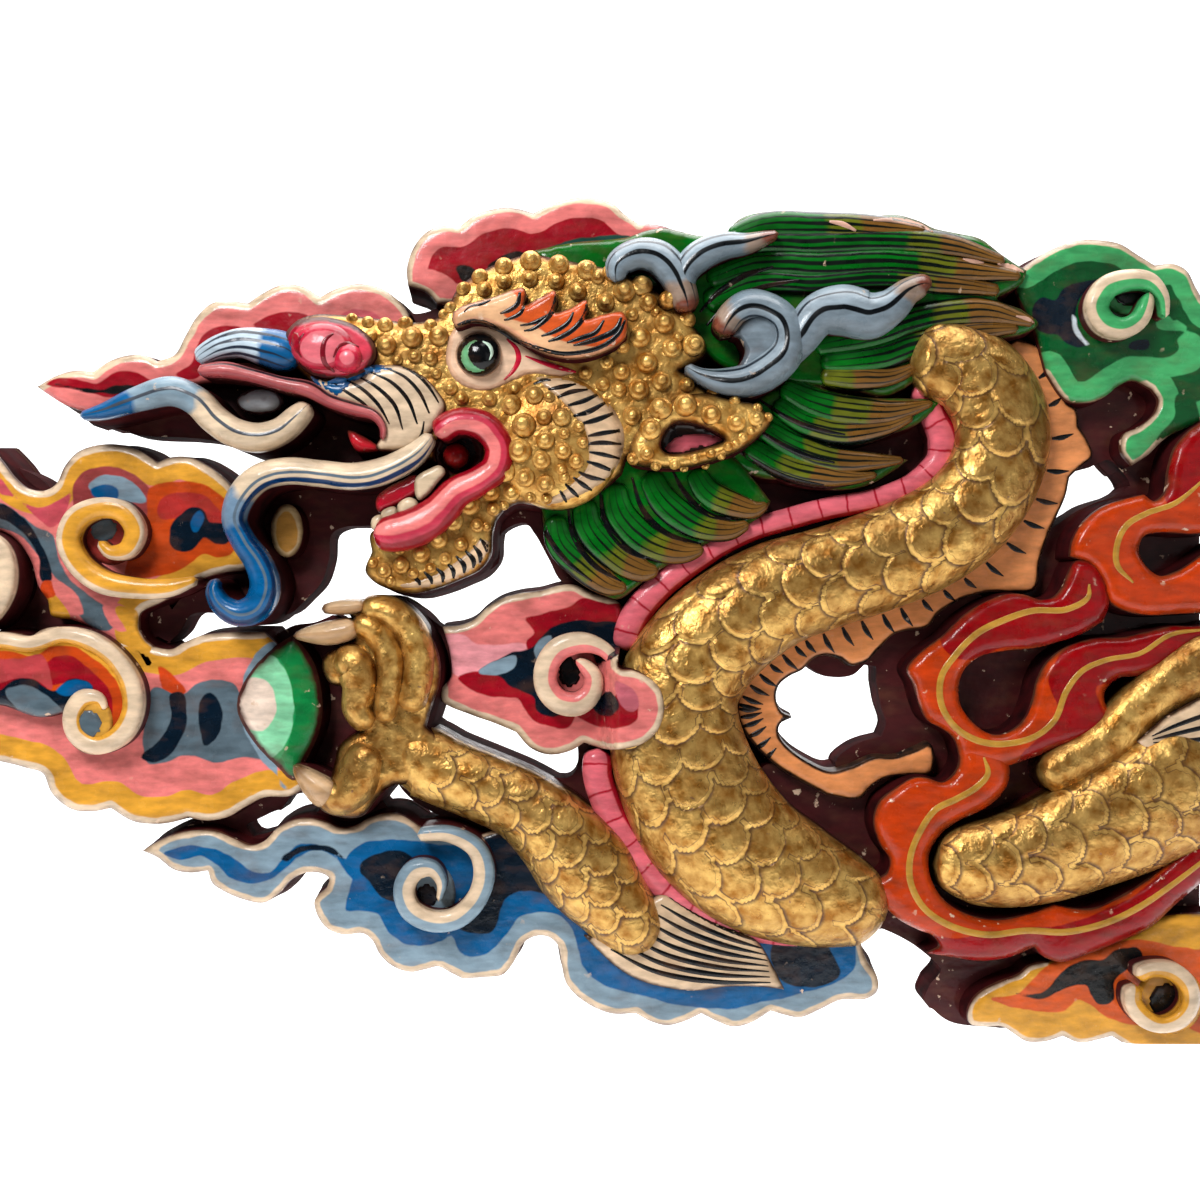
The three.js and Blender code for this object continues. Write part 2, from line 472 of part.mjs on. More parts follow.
const toSolid = (geometry) => {
  const bare = geometry.clone();
  bare.deleteAttribute("normal");
  bare.deleteAttribute("uv");
  const merged = mergeVertices(bare, 1e-4);
  const triVerts = Uint32Array.from(merged.index.array);
  const vertProperties = Float32Array.from(merged.attributes.position.array);
  return new wasm.Manifold(new wasm.Mesh({ numProp: 3, vertProperties, triVerts }));
};

// A flat-topped piece of carving with walls that lean out towards the back.
const slab = (stretches, face, { lean = WALL_LEAN, stepsPerSpan = 1, seenAtFoot = false } = {}) => {
  const rim = traceOutline(stretches, stepsPerSpan).map((point) => place(point, face));
  if (THREE.ShapeUtils.area(rim) < 0) {
    rim.reverse();
  }
  const outward = outwardDirections(rim, 24);
  if (seenAtFoot) {
    // A wall that looks back at the eye's axis is seen down to its foot, so its foot is the outline.
    const footScale = EYE_DISTANCE / (EYE_DISTANCE - face);
    rim.forEach((point, index) => {
      const inward = -outward[index].dot(point) / Math.max(point.length(), 1);
      const share = THREE.MathUtils.clamp(inward * 3 + 0.5, 0, 1);
      point.multiplyScalar(1 + (footScale - 1) * share);
    });
  }
  const top = rim.flatMap((point) => [point.x, -face, point.y]);
  const foot = rim.flatMap((point, index) => [
    point.x + outward[index].x * lean,
    0,
    point.y + outward[index].y * lean,
  ]);
  const count = rim.length;
  const triangles = THREE.ShapeUtils.triangulateShape(rim, []).flatMap(([a, b, c]) => [
    a, b, c, count + a, count + c, count + b,
  ]);
  for (let near = 0; near < count; near += 1) {
    const far = (near + 1) % count;
    triangles.push(near, count + near, count + far, near, count + far, far);
  }
  return toSolid(toGeometry([...top, ...foot], triangles));
};

// A rounded rope of carving along stations of x, z and half width, standing on straight walls.
const ridge = (stations, crest, edge, { sides = 4, stepsPerSpan = 1, foot = 0, lean = 0 } = {}) => {
  const widest = Math.max(...stations.map(([, , halfWidth]) => halfWidth));
  const knots = stations.map(([x, z, halfWidth]) => new THREE.Vector3(x, halfWidth, z));
  const curve = new THREE.CatmullRomCurve3(knots, false, "centripetal");
  const steps = (stations.length - 1) * stepsPerSpan;
  const positions = [];
  for (let step = 0; step <= steps; step += 1) {
    const centre = curve.getPoint(step / steps);
    const tangent = curve.getTangent(step / steps);
    const across = new THREE.Vector2(-tangent.z, tangent.x).normalize();
    const swell = (crest - edge) * Math.min(1, Math.sqrt(centre.y / widest));
    const ring = [];
    for (let side = 0; side <= sides; side += 1) {
      const angle = (Math.PI * side) / sides;
      const offset = Math.cos(angle) * centre.y;
      ring.push([offset, edge + Math.sin(angle) * swell]);
    }
    ring.unshift([centre.y + lean, foot]);
    ring.push([-centre.y - lean, foot]);
    for (const [offset, height] of ring) {
      const drawn = [centre.x + across.x * offset, centre.z + across.y * offset];
      const point = place(drawn, edge);
      positions.push(point.x, -height, point.y);
    }
  }
  const ringSize = sides + 3;
  const triangles = [];
  for (let step = 0; step < steps; step += 1) {
    for (let side = 0; side < ringSize; side += 1) {
      const a = step * ringSize + side;
      const b = step * ringSize + ((side + 1) % ringSize);
      triangles.push(a, b, b + ringSize, a, b + ringSize, a + ringSize);
    }
  }
  for (let side = 1; side < ringSize - 1; side += 1) {
    const last = steps * ringSize;
    triangles.push(0, side + 1, side, last, last + side, last + side + 1);
  }
  const solid = toSolid(toGeometry(positions, triangles));
  if (solid.volume() > 0) {
    return solid;
  }
  const flipped = triangles.map((_, index) => triangles[index - (index % 3) + [0, 2, 1][index % 3]]);
  return toSolid(toGeometry(positions, flipped));
};

// A round swelling on a straight-sided oval foot.
const dome = ([x, z, radiusX, radiusZ], crest, edge, { around = 12, levels = 2, foot = 0 } = {}) => {
  const centre = place([x, z], edge);
  const profile = [new THREE.Vector2(0, foot), new THREE.Vector2(1, foot)];
  for (let level = 0; level < levels; level += 1) {
    const angle = (Math.PI / 2) * (level / levels);
    profile.push(new THREE.Vector2(Math.cos(angle), edge + Math.sin(angle) * (crest - edge)));
  }
  profile.push(new THREE.Vector2(0, crest));
  const geometry = new THREE.LatheGeometry(profile, around);
  geometry.scale(radiusX, 1, radiusZ);
  geometry.scale(1, -1, 1);
  const flipped = geometry.index.array.slice();
  for (let first = 0; first < flipped.length; first += 3) {
    [flipped[first + 1], flipped[first + 2]] = [flipped[first + 2], flipped[first + 1]];
  }
  geometry.setIndex(new THREE.BufferAttribute(flipped, 1));
  geometry.translate(centre.x, 0, centre.y);
  return toSolid(geometry);
};

const clouds = [
  slab(SNOUT_CLOUD, LEVEL.cloud),
  slab(CROWN_CLOUD, LEVEL.cloud),
  slab(WING_CLOUD, LEVEL.cloud),
  slab(PEARL_CLOUD, LEVEL.cloud),
  slab(BLUE_CLOUD, LEVEL.cloud),
  slab(ROSE_CLOUD, LEVEL.cloud),
  slab(LEAF_CLOUD, LEVEL.cloud),
  slab(CORNER_CLOUD, LEVEL.cloud),
  slab(CURL_CLOUD, LEVEL.volute),
];
const volutes = [
  WING_VOLUTE, CURL_VOLUTE, EDGE_VOLUTE, BLUE_VOLUTE, ROSE_VOLUTE, LEAF_VOLUTE, CORNER_VOLUTE,
].map((stations) => ridge(stations, LEVEL.volute + 6, LEVEL.volute, { sides: 2, foot: 20 }));
const flames = [FLAME_UPPER, FLAME_LOWER, FLAME_RIGHT].map((outline) => slab(outline, LEVEL.flame));

const body = [
  ridge(BODY, 86, 54, { sides: 5, lean: 2 }),
  ridge(FORELEG, 80, 50, { sides: 5, lean: 2 }),
  ridge(HIND_LEG, 82, 54, { sides: 5, lean: 2 }),
  ridge(HIND_CALF, 76, 54, { sides: 4 }),
  slab(HIND_TUFT, 72),
  slab(FIN, LEVEL.fin),
  ridge(BELLY, 58, LEVEL.belly, { sides: 2 }),
  ridge(BELLY_LOWER, 58, LEVEL.belly, { sides: 2 }),
  slab(ELBOW_TUFT, 60),
];

const claw = [
  slab(PALM, 62),
  ...FINGERS.map((stations) => ridge(stations, 84, 62, { sides: 3, foot: 20 })),
  ridge(THUMB, 84, 58, { foot: 20 }),
  ...NAILS.map((stations) => ridge(stations, 84, 66, { sides: 2, foot: 20 })),
  slab(PEARL, 60),
];

const head = [
  slab(HEAD, LEVEL.head),
  slab(JAW, LEVEL.head),
  ridge(LIP_RING, 90, LEVEL.lip, { sides: 3 }),
  slab(MUZZLE, LEVEL.lip),
  slab(EAR, 88),
  slab(NOSE, 92),
  dome([-202, 189, 28, 18], 100, 90, { foot: 40 }),
  dome(CHEEK, 96, LEVEL.head, { foot: 40 }),
  dome(EYE, 96, 84, { foot: 40 }),
  ridge(BROW_RIDGE, 98, 84, { foot: 40 }),
  ridge(UPPER_LIP, 90, 82, { sides: 3, foot: 20 }),
  ridge(MOUSTACHE, 88, 74, { foot: 0 }),
  ridge(SNOUT_WHISKER, 88, 74, { sides: 3 }),
  ridge(LONG_WHISKER, 96, 80, { sides: 3 }),
  ridge(HORN_CURL, 92, 74, { foot: 0 }),
  ridge(HORN_TIP, 90, 74),
  ridge(HORN_BACK, 96, 78, { foot: 0 }),
  ridge(HORN_BACK_TIP, 92, 74, { foot: 40 }),
];

const mane = [
  slab(MANE_TOP, LEVEL.mane),
  slab(MANE_CROWN, LEVEL.mane),
  slab(MANE_LOW, LEVEL.mane),
  slab(MANE_TAIL, LEVEL.mane - 4),
  slab(BEARD, LEVEL.mane),
  ...MANE_LOCKS.map((stations) => ridge(stations, LEVEL.mane + 8, LEVEL.mane, { sides: 2, foot: 30 })),
  ...BEARD_LOCKS.map((stations) => ridge(stations, LEVEL.mane + 10, LEVEL.mane, { sides: 2, foot: 30 })),
];

const ground = GROUND.map((outline) => slab(outline, LEVEL.ground, { lean: 0, seenAtFoot: true }));

// Hollows: the back of the mouth and the inside of the ear, sunk from the front to these levels.
const pocket = (oval, floor) => dome(oval, PANEL_DEPTH + 10, PANEL_DEPTH + 5, { levels: 1, foot: floor });
const hollows = [pocket([-106, 108, 17, 17], 56), pocket([68, 122, 20, 9], 74)];

// Straight cuts at both ends and at the bottom, where the carving runs on in the building.
const cutBox = new THREE.BoxGeometry(PANEL_LENGTH, PANEL_DEPTH, PANEL_TOP - PANEL_BOTTOM);
cutBox.translate(0, -PANEL_DEPTH / 2, (PANEL_TOP + PANEL_BOTTOM) / 2);

const relief = [ground, clouds, volutes, flames, body, claw, mane, head]
  .flat()
  .reduce((joined, piece) => joined.add(piece))
  .subtract(hollows[0])
  .subtract(hollows[1])
  .intersect(toSolid(cutBox));

const carved = relief.getMesh();
const geometry = new THREE.BufferGeometry();
geometry.setAttribute("position", new THREE.BufferAttribute(carved.vertProperties, 3));
geometry.setIndex(new THREE.BufferAttribute(carved.triVerts, 1));
geometry.computeVertexNormals();

const gilding = new THREE.MeshStandardMaterial({ color: 0xa9772a, roughness: 0.5, metalness: 0.4 });
const dragonRelief = new THREE.Mesh(geometry, gilding);
dragonRelief.name = "dragon_relief";

const panel = new THREE.Group();
panel.add(dragonRelief);

export default panel;
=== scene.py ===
import math

import bmesh
import bpy
import numpy as np
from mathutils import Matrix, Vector
from mathutils import geometry as flat
from mathutils.bvhtree import BVHTree


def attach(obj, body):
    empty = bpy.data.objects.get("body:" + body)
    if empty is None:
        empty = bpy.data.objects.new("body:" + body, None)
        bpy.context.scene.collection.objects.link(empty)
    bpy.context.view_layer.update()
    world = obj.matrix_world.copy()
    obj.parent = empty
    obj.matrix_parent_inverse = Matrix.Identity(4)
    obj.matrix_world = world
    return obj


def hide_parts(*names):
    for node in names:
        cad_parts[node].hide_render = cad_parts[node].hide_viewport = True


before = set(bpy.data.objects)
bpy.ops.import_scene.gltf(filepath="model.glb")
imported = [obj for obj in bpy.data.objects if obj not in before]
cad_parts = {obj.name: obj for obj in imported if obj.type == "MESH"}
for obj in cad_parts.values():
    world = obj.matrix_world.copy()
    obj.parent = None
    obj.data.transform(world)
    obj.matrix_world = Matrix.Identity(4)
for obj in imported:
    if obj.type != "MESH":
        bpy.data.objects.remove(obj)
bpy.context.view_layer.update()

# The view. The relief hangs at eye height and is seen square on, in soft light from the upper left.
# Drawn sizes are millimetres on a plane just in front of the carving's middle level.
MM = 0.001
EYE_DISTANCE = 970
FACE_PLANE = 70
FIELD_WIDTH = 900

eye_lens = bpy.data.cameras.new("eye")
eye_lens.sensor_width = 36
eye_lens.lens = eye_lens.sensor_width * (EYE_DISTANCE - FACE_PLANE) / FIELD_WIDTH
eye_lens.clip_start = 0.05
eye = bpy.data.objects.new("eye", eye_lens)
eye.location = (0, -EYE_DISTANCE * MM, 0)
eye.rotation_euler = (math.radians(90), 0, 0)
bpy.context.collection.objects.link(eye)
bpy.context.scene.camera = eye
bpy.context.scene.view_settings.view_transform = "Standard"

LAMPS = {
    # name: place, size and power
    "key": [(-0.75, -1.4, 1.25), 0.6, 37],
    "fill": [(1.5, -1.5, 0.2), 1.4, 3],
    "top": [(0.3, -0.5, 1.9), 0.8, 7],
    "backdrop": [(0, 0.9, 2.6), 3, 150],
}
for lamp_name, (spot, width, power) in LAMPS.items():
    lamp = bpy.data.lights.new(lamp_name, "AREA")
    lamp.size = width
    lamp.energy = power
    holder = bpy.data.objects.new(lamp_name, lamp)
    holder.location = spot
    aim = Vector((0, 2.4, -0.4)) if lamp_name == "backdrop" else Vector((0, 0, 0))
    holder.rotation_euler = (aim - Vector(spot)).to_track_quat("-Z", "Y").to_euler()
    bpy.context.collection.objects.link(holder)

air = bpy.data.worlds.new("air")
bpy.context.scene.world = air
air.use_nodes = True
dim_air = air.node_tree.nodes["Background"]
dim_air.inputs["Color"].default_value = (0.95, 0.97, 1, 1)
dim_air.inputs["Strength"].default_value = 0.06
# Beyond the edge of the room the eye sees pale paper, though the relief is lit by dim air.
pale_air = air.node_tree.nodes.new("ShaderNodeBackground")
pale_air.inputs["Color"].default_value = (0.86, 0.87, 0.88, 1)
pale_air.inputs["Strength"].default_value = 1
seen_air = air.node_tree.nodes.new("ShaderNodeLightPath")
both_airs = air.node_tree.nodes.new("ShaderNodeMixShader")
air.node_tree.links.new(seen_air.outputs["Is Camera Ray"], both_airs.inputs[0])
air.node_tree.links.new(dim_air.outputs[0], both_airs.inputs[1])
air.node_tree.links.new(pale_air.outputs[0], both_airs.inputs[2])
air.node_tree.links.new(both_airs.outputs[0], air.node_tree.nodes["World Output"].inputs["Surface"])

# The room: a plain pale floor that sweeps up into a plain pale wall behind the relief.
FLOOR_DROP = 700
WALL_BACK = 2800
ROOM_REACH = 16000
WALL_HEIGHT = 8000
FLOOR_FRONT = 1500
SWEEP = 900


def plain_wash(name, colour, roughness):
    groove_shade = bpy.data.materials.new(name)
    groove_shade.use_nodes = True
    shader = groove_shade.node_tree.nodes["Principled BSDF"]
    shader.inputs["Base Color"].default_value = colour
    shader.inputs["Roughness"].default_value = roughness
    shader.inputs["Specular IOR Level"].default_value = 0.1
    shader.inputs["Emission Color"].default_value = colour
    shader.inputs["Emission Strength"].default_value = 0.5
    return groove_shade


room_line = [(-FLOOR_FRONT, -FLOOR_DROP), (WALL_BACK - SWEEP, -FLOOR_DROP)]
for step in range(1, 13):
    bend = math.radians(90 * step / 12)
    room_line.append((WALL_BACK - SWEEP + SWEEP * math.sin(bend), -FLOOR_DROP + SWEEP * (1 - math.cos(bend))))
room_line.append((WALL_BACK, WALL_HEIGHT))
room_corners = [(side * ROOM_REACH * MM, y * MM, z * MM) for y, z in room_line for side in (-1, 1)]
room_faces = [(2 * k, 2 * k + 1, 2 * k + 3, 2 * k + 2) for k in range(len(room_line) - 1)]
room_mesh = bpy.data.meshes.new("room")
room_mesh.from_pydata(room_corners, [], room_faces)
room_mesh.materials.append(plain_wash("pale_paper", (0.93, 0.93, 0.93, 1), 0.9))
room = bpy.data.objects.new("room", room_mesh)
bpy.context.collection.objects.link(room)

# The clouds. Flat-topped steps of the same plank, sawn round their scalloped outline and rolled
# over at the rim, then painted in bands that follow the rim: a cream line first, colours behind.
CLOUD_TOP = 52
CURL_TOP = 66
LOBE_TOP = 91
LOBE_START = -4
LOBE_FULL = 16
LOBE_CEILING = -34
WALL_LEAN = 4
GRID_PITCH = 3
ROLL_RADIUS = 7
ROLL_DROP = 4
REACH_OF_NORMAL = 24
FOOT_DEPTH = 3
RIM_SCALE = 60
CREAM = (216, 190, 160)
MAROON = (66, 14, 16)
LAMP_BLACK = (12, 14, 16)
PINK = (224, 120, 116)
CRIMSON = (150, 10, 28)
YELLOW = (214, 152, 50)
ORANGE = (190, 66, 18)
GREY_BLUE = (126, 148, 162)
GREY_DEEP = (84, 100, 110)
HIGHLIGHT_WHITE = (196, 206, 212)
GRIME_AND_SHADE_BROWN = (96, 62, 40)
STRONG_BLUE = (0, 84, 136)
NAVY = (4, 20, 34)
LEAF_GREEN = (66, 164, 98)
DEEP_GREEN = (0, 76, 32)

SNOUT_CLOUD = [
  [[-422, 160], [-408, 168], [-394, 172]],
  [[-380, 171], [-366, 180], [-350, 184], [-340, 183]],
  [[-332, 179], [-319, 184], [-311, 198], [-302, 213], [-290, 223], [-277, 224]],
  [[-264, 222.5], [-253, 230], [-238, 236.5], [-223, 235]],
  [[-210, 227], [-200, 232.5], [-183, 237], [-165, 234], [-152, 225], [-143, 212]],
  [[-150, 192], [-200, 178], [-260, 168], [-310, 160], [-350, 150], [-380, 141], [-400, 146], [-415, 155]],
]
CROWN_CLOUD = [
  [[-122, 222], [-130, 231]],
  [[-144, 236], [-145, 248], [-140, 264], [-130, 276], [-118, 280.5]],
  [[-106, 279.5], [-93, 289], [-75, 294], [-62, 293.5]],
  [[-50, 290], [-33, 298], [-12, 302], [8, 298], [20, 288]],
  [[29, 282], [42, 281.5], [55, 276]],
  [[50, 250], [20, 240], [-60, 225]],
]
WING_CLOUD = [
  [[-475, 130], [-450, 105], [-440, 92], [-430, 84], [-417, 82], [-408, 87], [-401, 101], [-390, 112],
    [-367, 117], [-348, 113]],
  [[-332, 103], [-322, 107], [-308, 107], [-292, 99], [-279, 88], [-268, 70], [-264, 45], [-264, 24]],
  [[-280, 21], [-296, 17], [-310, 8], [-330, -2], [-345, -10]],
  [[-346, -22], [-341, -30], [-334, -36], [-325, -50]],
  [[-345, -60], [-352, -46], [-364, -32], [-378, -22], [-395, -15], [-411, -12]],
  [[-414, 0], [-421, 10], [-427, 30], [-440, 47], [-475, 65]],
]
PEARL_CLOUD = [
  [[-252, -24], [-280, -24.5], [-300, -27], [-312, -32], [-322, -37], [-335, -35], [-348, -30]],
  [[-370, -30], [-410, -28], [-475, -32]],
  [[-475, -118], [-450, -121], [-430, -126], [-418, -130], [-411, -145], [-396, -157], [-380, -158.5]],
  [[-367, -156], [-350, -166], [-332, -168], [-318, -166]],
  [[-309, -163], [-296, -165.5], [-280, -163], [-266, -155], [-252, -148], [-232, -147]],
  [[-222, -141], [-224, -122], [-232, -80], [-238, -40]],
]
CURL_CLOUD = [
  [[-475, -27], [-450, -24], [-438, -25]],
  [[-427, -28], [-418, -22], [-403, -20], [-386, -23], [-370, -34], [-357, -46], [-347, -62], [-343, -80],
    [-346, -96], [-357, -108], [-371, -115], [-386, -115], [-397, -107], [-402, -94]],
  [[-402, -84], [-420, -88], [-445, -80], [-475, -72]],
]
BLUE_CLOUD = [
  [[-343, -188], [-333, -182], [-320, -176], [-305, -173], [-290, -173], [-275, -179], [-262, -184],
    [-252, -181], [-243, -172], [-231, -165.5], [-218, -164], [-205, -167], [-195, -171], [-184, -169.5],
    [-173, -163.5], [-160, -160], [-148, -162]],
  [[-134, -171], [-115, -171], [-97, -178], [-75, -172], [-50, -178], [-20, -195], [20, -215], [80, -235],
    [150, -243]],
  [[196, -246], [196, -258], [200, -270], [208, -283], [208, -293], [200, -299], [180, -300], [165, -307],
    [150, -313], [138, -311]],
  [[128, -308], [113, -317], [100, -320], [88, -316]],
  [[76, -310], [63, -316], [50, -319], [38, -316]],
  [[27, -310], [8, -310], [-12, -301], [-25, -288], [-29, -272], [-31, -260], [-38, -253], [-48, -252],
    [-58, -258], [-65, -272], [-73, -281], [-88, -283]],
  [[-103, -284], [-113, -279], [-121, -275], [-131, -277], [-142, -279], [-155, -275], [-165, -266],
    [-171, -255], [-178, -250], [-192, -251], [-205, -246], [-213, -234], [-214, -225]],
  [[-205, -216], [-203, -209], [-209, -205], [-220, -204.5], [-232, -210], [-241, -220], [-252, -227],
    [-266, -225], [-281, -219], [-291, -212]],
  [[-294, -203], [-308, -204.5], [-320, -202], [-332, -193]],
]
ROSE_CLOUD = [
  [[-118, -20], [-105, -19], [-95, -15], [-85, -6], [-74, 1], [-60, 5], [-45, 7], [-30, 11], [-20, 11.5],
    [-5, 5], [15, -3]],
  [[16, -30], [14, -51], [25, -53], [36, -58], [45, -67], [48, -80], [45, -95], [35, -106], [22, -111],
    [5, -112]],
  [[-12, -107], [-22, -113], [-38, -116], [-52, -111]],
  [[-63, -99], [-80, -92], [-97, -86], [-118, -76]],
  [[-119, -66], [-112, -58], [-112, -42]],
]
LEAF_CLOUD = [
  [[318, 250], [335, 261], [355, 269], [372, 270], [390, 267], [403, 259]],
  [[416, 251], [430, 252], [440, 247], [447, 234], [458, 218], [475, 212]],
  [[475, 140], [445, 131], [425, 122], [410, 108]],
  [[399, 101], [391, 112], [393, 124], [405, 130], [416, 140], [419, 150]],
  [[414, 158], [400, 165], [388, 160], [378, 152], [366, 148], [350, 150]],
  [[335, 170], [325, 205], [312, 235]],
]
CORNER_CLOUD = [
  [[334, -272], [322, -275], [315, -281], [300, -287], [288, -293], [280, -300], [276, -310], [278, -318]],
  [[290, -320], [302, -320], [310, -325], [320, -331], [334, -331]],
  [[347, -327], [360, -332], [372, -330]],
  [[384, -327], [400, -336], [475, -350]],
  [[475, -235], [420, -238], [400, -250], [370, -262]],
]

back_outlines = []


def spline(knots, closed, spacing):
    """A smooth line through its knots, as a bent lath would lie."""
    knots = np.array(knots, float)
    if closed:
        padded = np.vstack([knots[-1:], knots, knots[:2]])
    else:
        padded = np.vstack([2 * knots[0] - knots[1], knots, 2 * knots[-1] - knots[-2]])
    line = []
    for span in range(len(padded) - 3):
        before, start, end, after = padded[span:span + 4]
        pace_in = max(np.linalg.norm(start - before), 1e-6) ** 0.5
        pace = max(np.linalg.norm(end - start), 1e-6) ** 0.5
        pace_out = max(np.linalg.norm(after - end), 1e-6) ** 0.5
        leave = (start - before) / pace_in - (end - before) / (pace_in + pace) + (end - start) / pace
        arrive = (end - start) / pace - (after - start) / (pace + pace_out) + (after - end) / pace_out
        leave = leave * pace
        arrive = arrive * pace
        steps = max(1, math.ceil(pace * pace / spacing))
        for step in range(steps):
            t = step / steps
            cubic = 2 * start - 2 * end + leave + arrive
            square = -3 * start + 3 * end - 2 * leave - arrive
            line.append(start + leave * t + square * t * t + cubic * t ** 3)
    if not closed:
        line.append(padded[-2])
    return np.array(line)


def trace(stretches, spacing):
    """A closed outline: smooth along each stretch, with a corner where two meet."""
    if len(stretches) == 1:
        ring = spline(stretches[0], True, spacing)
    else:
        runs = []
        for index, stretch in enumerate(stretches):
            joined = list(stretch) + [stretches[(index + 1) % len(stretches)][0]]
            runs.append(spline(joined, False, spacing)[:-1])
        ring = np.vstack(runs)
    after = np.roll(ring, -1, axis=0)
    if np.sum(ring[:, 0] * after[:, 1] - after[:, 0] * ring[:, 1]) < 0:
        ring = ring[::-1]
    return ring


def inside(points, ring):
    hits = np.zeros(len(points), bool)
    for (ax, az), (bx, bz) in zip(ring, np.roll(ring, -1, axis=0)):
        if az == bz:
            continue
        crosses = (points[:, 1] > az) != (points[:, 1] > bz)
        hits ^= crosses & (points[:, 0] < ax + (points[:, 1] - az) * (bx - ax) / (bz - az))
    return hits


def gap_to(points, line, closed=True):
    nearest = np.full(len(points), 1e9)
    ends = np.roll(line, -1, axis=0) if closed else line[1:]
    for start, end in zip(line, ends):
        along = end - start
        share = np.clip((points - start) @ along / max(along @ along, 1e-9), 0, 1)
        nearest = np.minimum(nearest, np.linalg.norm(points - start - share[:, None] * along, axis=1))
    return nearest


def depth_inside(points, stretches):
    """Millimetres to a painted patch's edge, less than nothing within it."""
    ring = trace(stretches, 2)
    return gap_to(points, ring) * np.where(inside(points, ring), -1, 1)


def to_panel(seen, height):
    scale = (EYE_DISTANCE - height) / (EYE_DISTANCE - FACE_PLANE)
    return np.column_stack([seen[:, 0] * scale, -height * np.ones(len(seen)), seen[:, 1] * scale])


def outward_normals(ring):
    along = np.roll(ring, -1, axis=0) - ring
    edge_normals = np.column_stack([along[:, 1], -along[:, 0]])
    spacing = max(np.linalg.norm(along, axis=1).mean(), 0.1)
    total = np.zeros_like(ring)
    for offset in range(int(REACH_OF_NORMAL / spacing)):
        weight = 1 - offset * spacing / REACH_OF_NORMAL
        total += weight * (np.roll(edge_normals, -offset, axis=0) + np.roll(edge_normals, offset + 1, axis=0))
    return total / np.maximum(np.linalg.norm(total, axis=1), 1e-9)[:, None]


def open_edges(faces):
    """Edges of a sheet of triangles that have a face on one side only, in the faces' own turn."""
    turned = {(a, b) for face in faces for a, b in zip(face, np.roll(face, -1))}
    return [(a, b) for a, b in turned if (b, a) not in turned]


def cover(ring, fill, pitch, holes=()):
    """Triangles over an outline, with a honeycomb of points inside it where `fill` is set."""
    seeds = np.vstack([ring, *holes])
    if fill:
        xs = np.arange(ring[:, 0].min(), ring[:, 0].max(), pitch)
        zs = np.arange(ring[:, 1].min(), ring[:, 1].max(), pitch * 0.866)
        grid_x, grid_z = np.meshgrid(xs, zs)
        grid_x = grid_x + (np.arange(len(zs)) % 2)[:, None] * pitch / 2
        grid = np.column_stack([grid_x.ravel(), grid_z.ravel()])
        grid = grid[inside(grid, ring)]
        for edge in (ring, *holes):
            grid = grid[gap_to(grid, edge) > pitch * 0.6]
        seeds = np.vstack([ring, *holes, grid])
    edges = []
    for edge in (ring, *holes):
        first = edges[-1][0] + 1 if edges else 0
        edges += [(first + k, first + (k + 1) % len(edge)) for k in range(len(edge))]
    corners, _, faces = flat.delaunay_2d_cdt([Vector(seed) for seed in seeds], edges, [], 0, 1e-5)[:3]
    corners = np.array([corner[:] for corner in corners])
    faces = np.array(faces)
    a, b, c = (corners[faces[:, k]] for k in range(3))
    turn = (b - a)[:, 0] * (c - a)[:, 1] - (b - a)[:, 1] * (c - a)[:, 0]
    faces[turn < 0] = faces[turn < 0][:, ::-1]
    middle = (a + b + c) / 3
    kept = (np.abs(turn) > 1e-6) & inside(middle, ring)
    for hole in holes:
        kept &= ~inside(middle, hole)
    return corners, faces[kept]


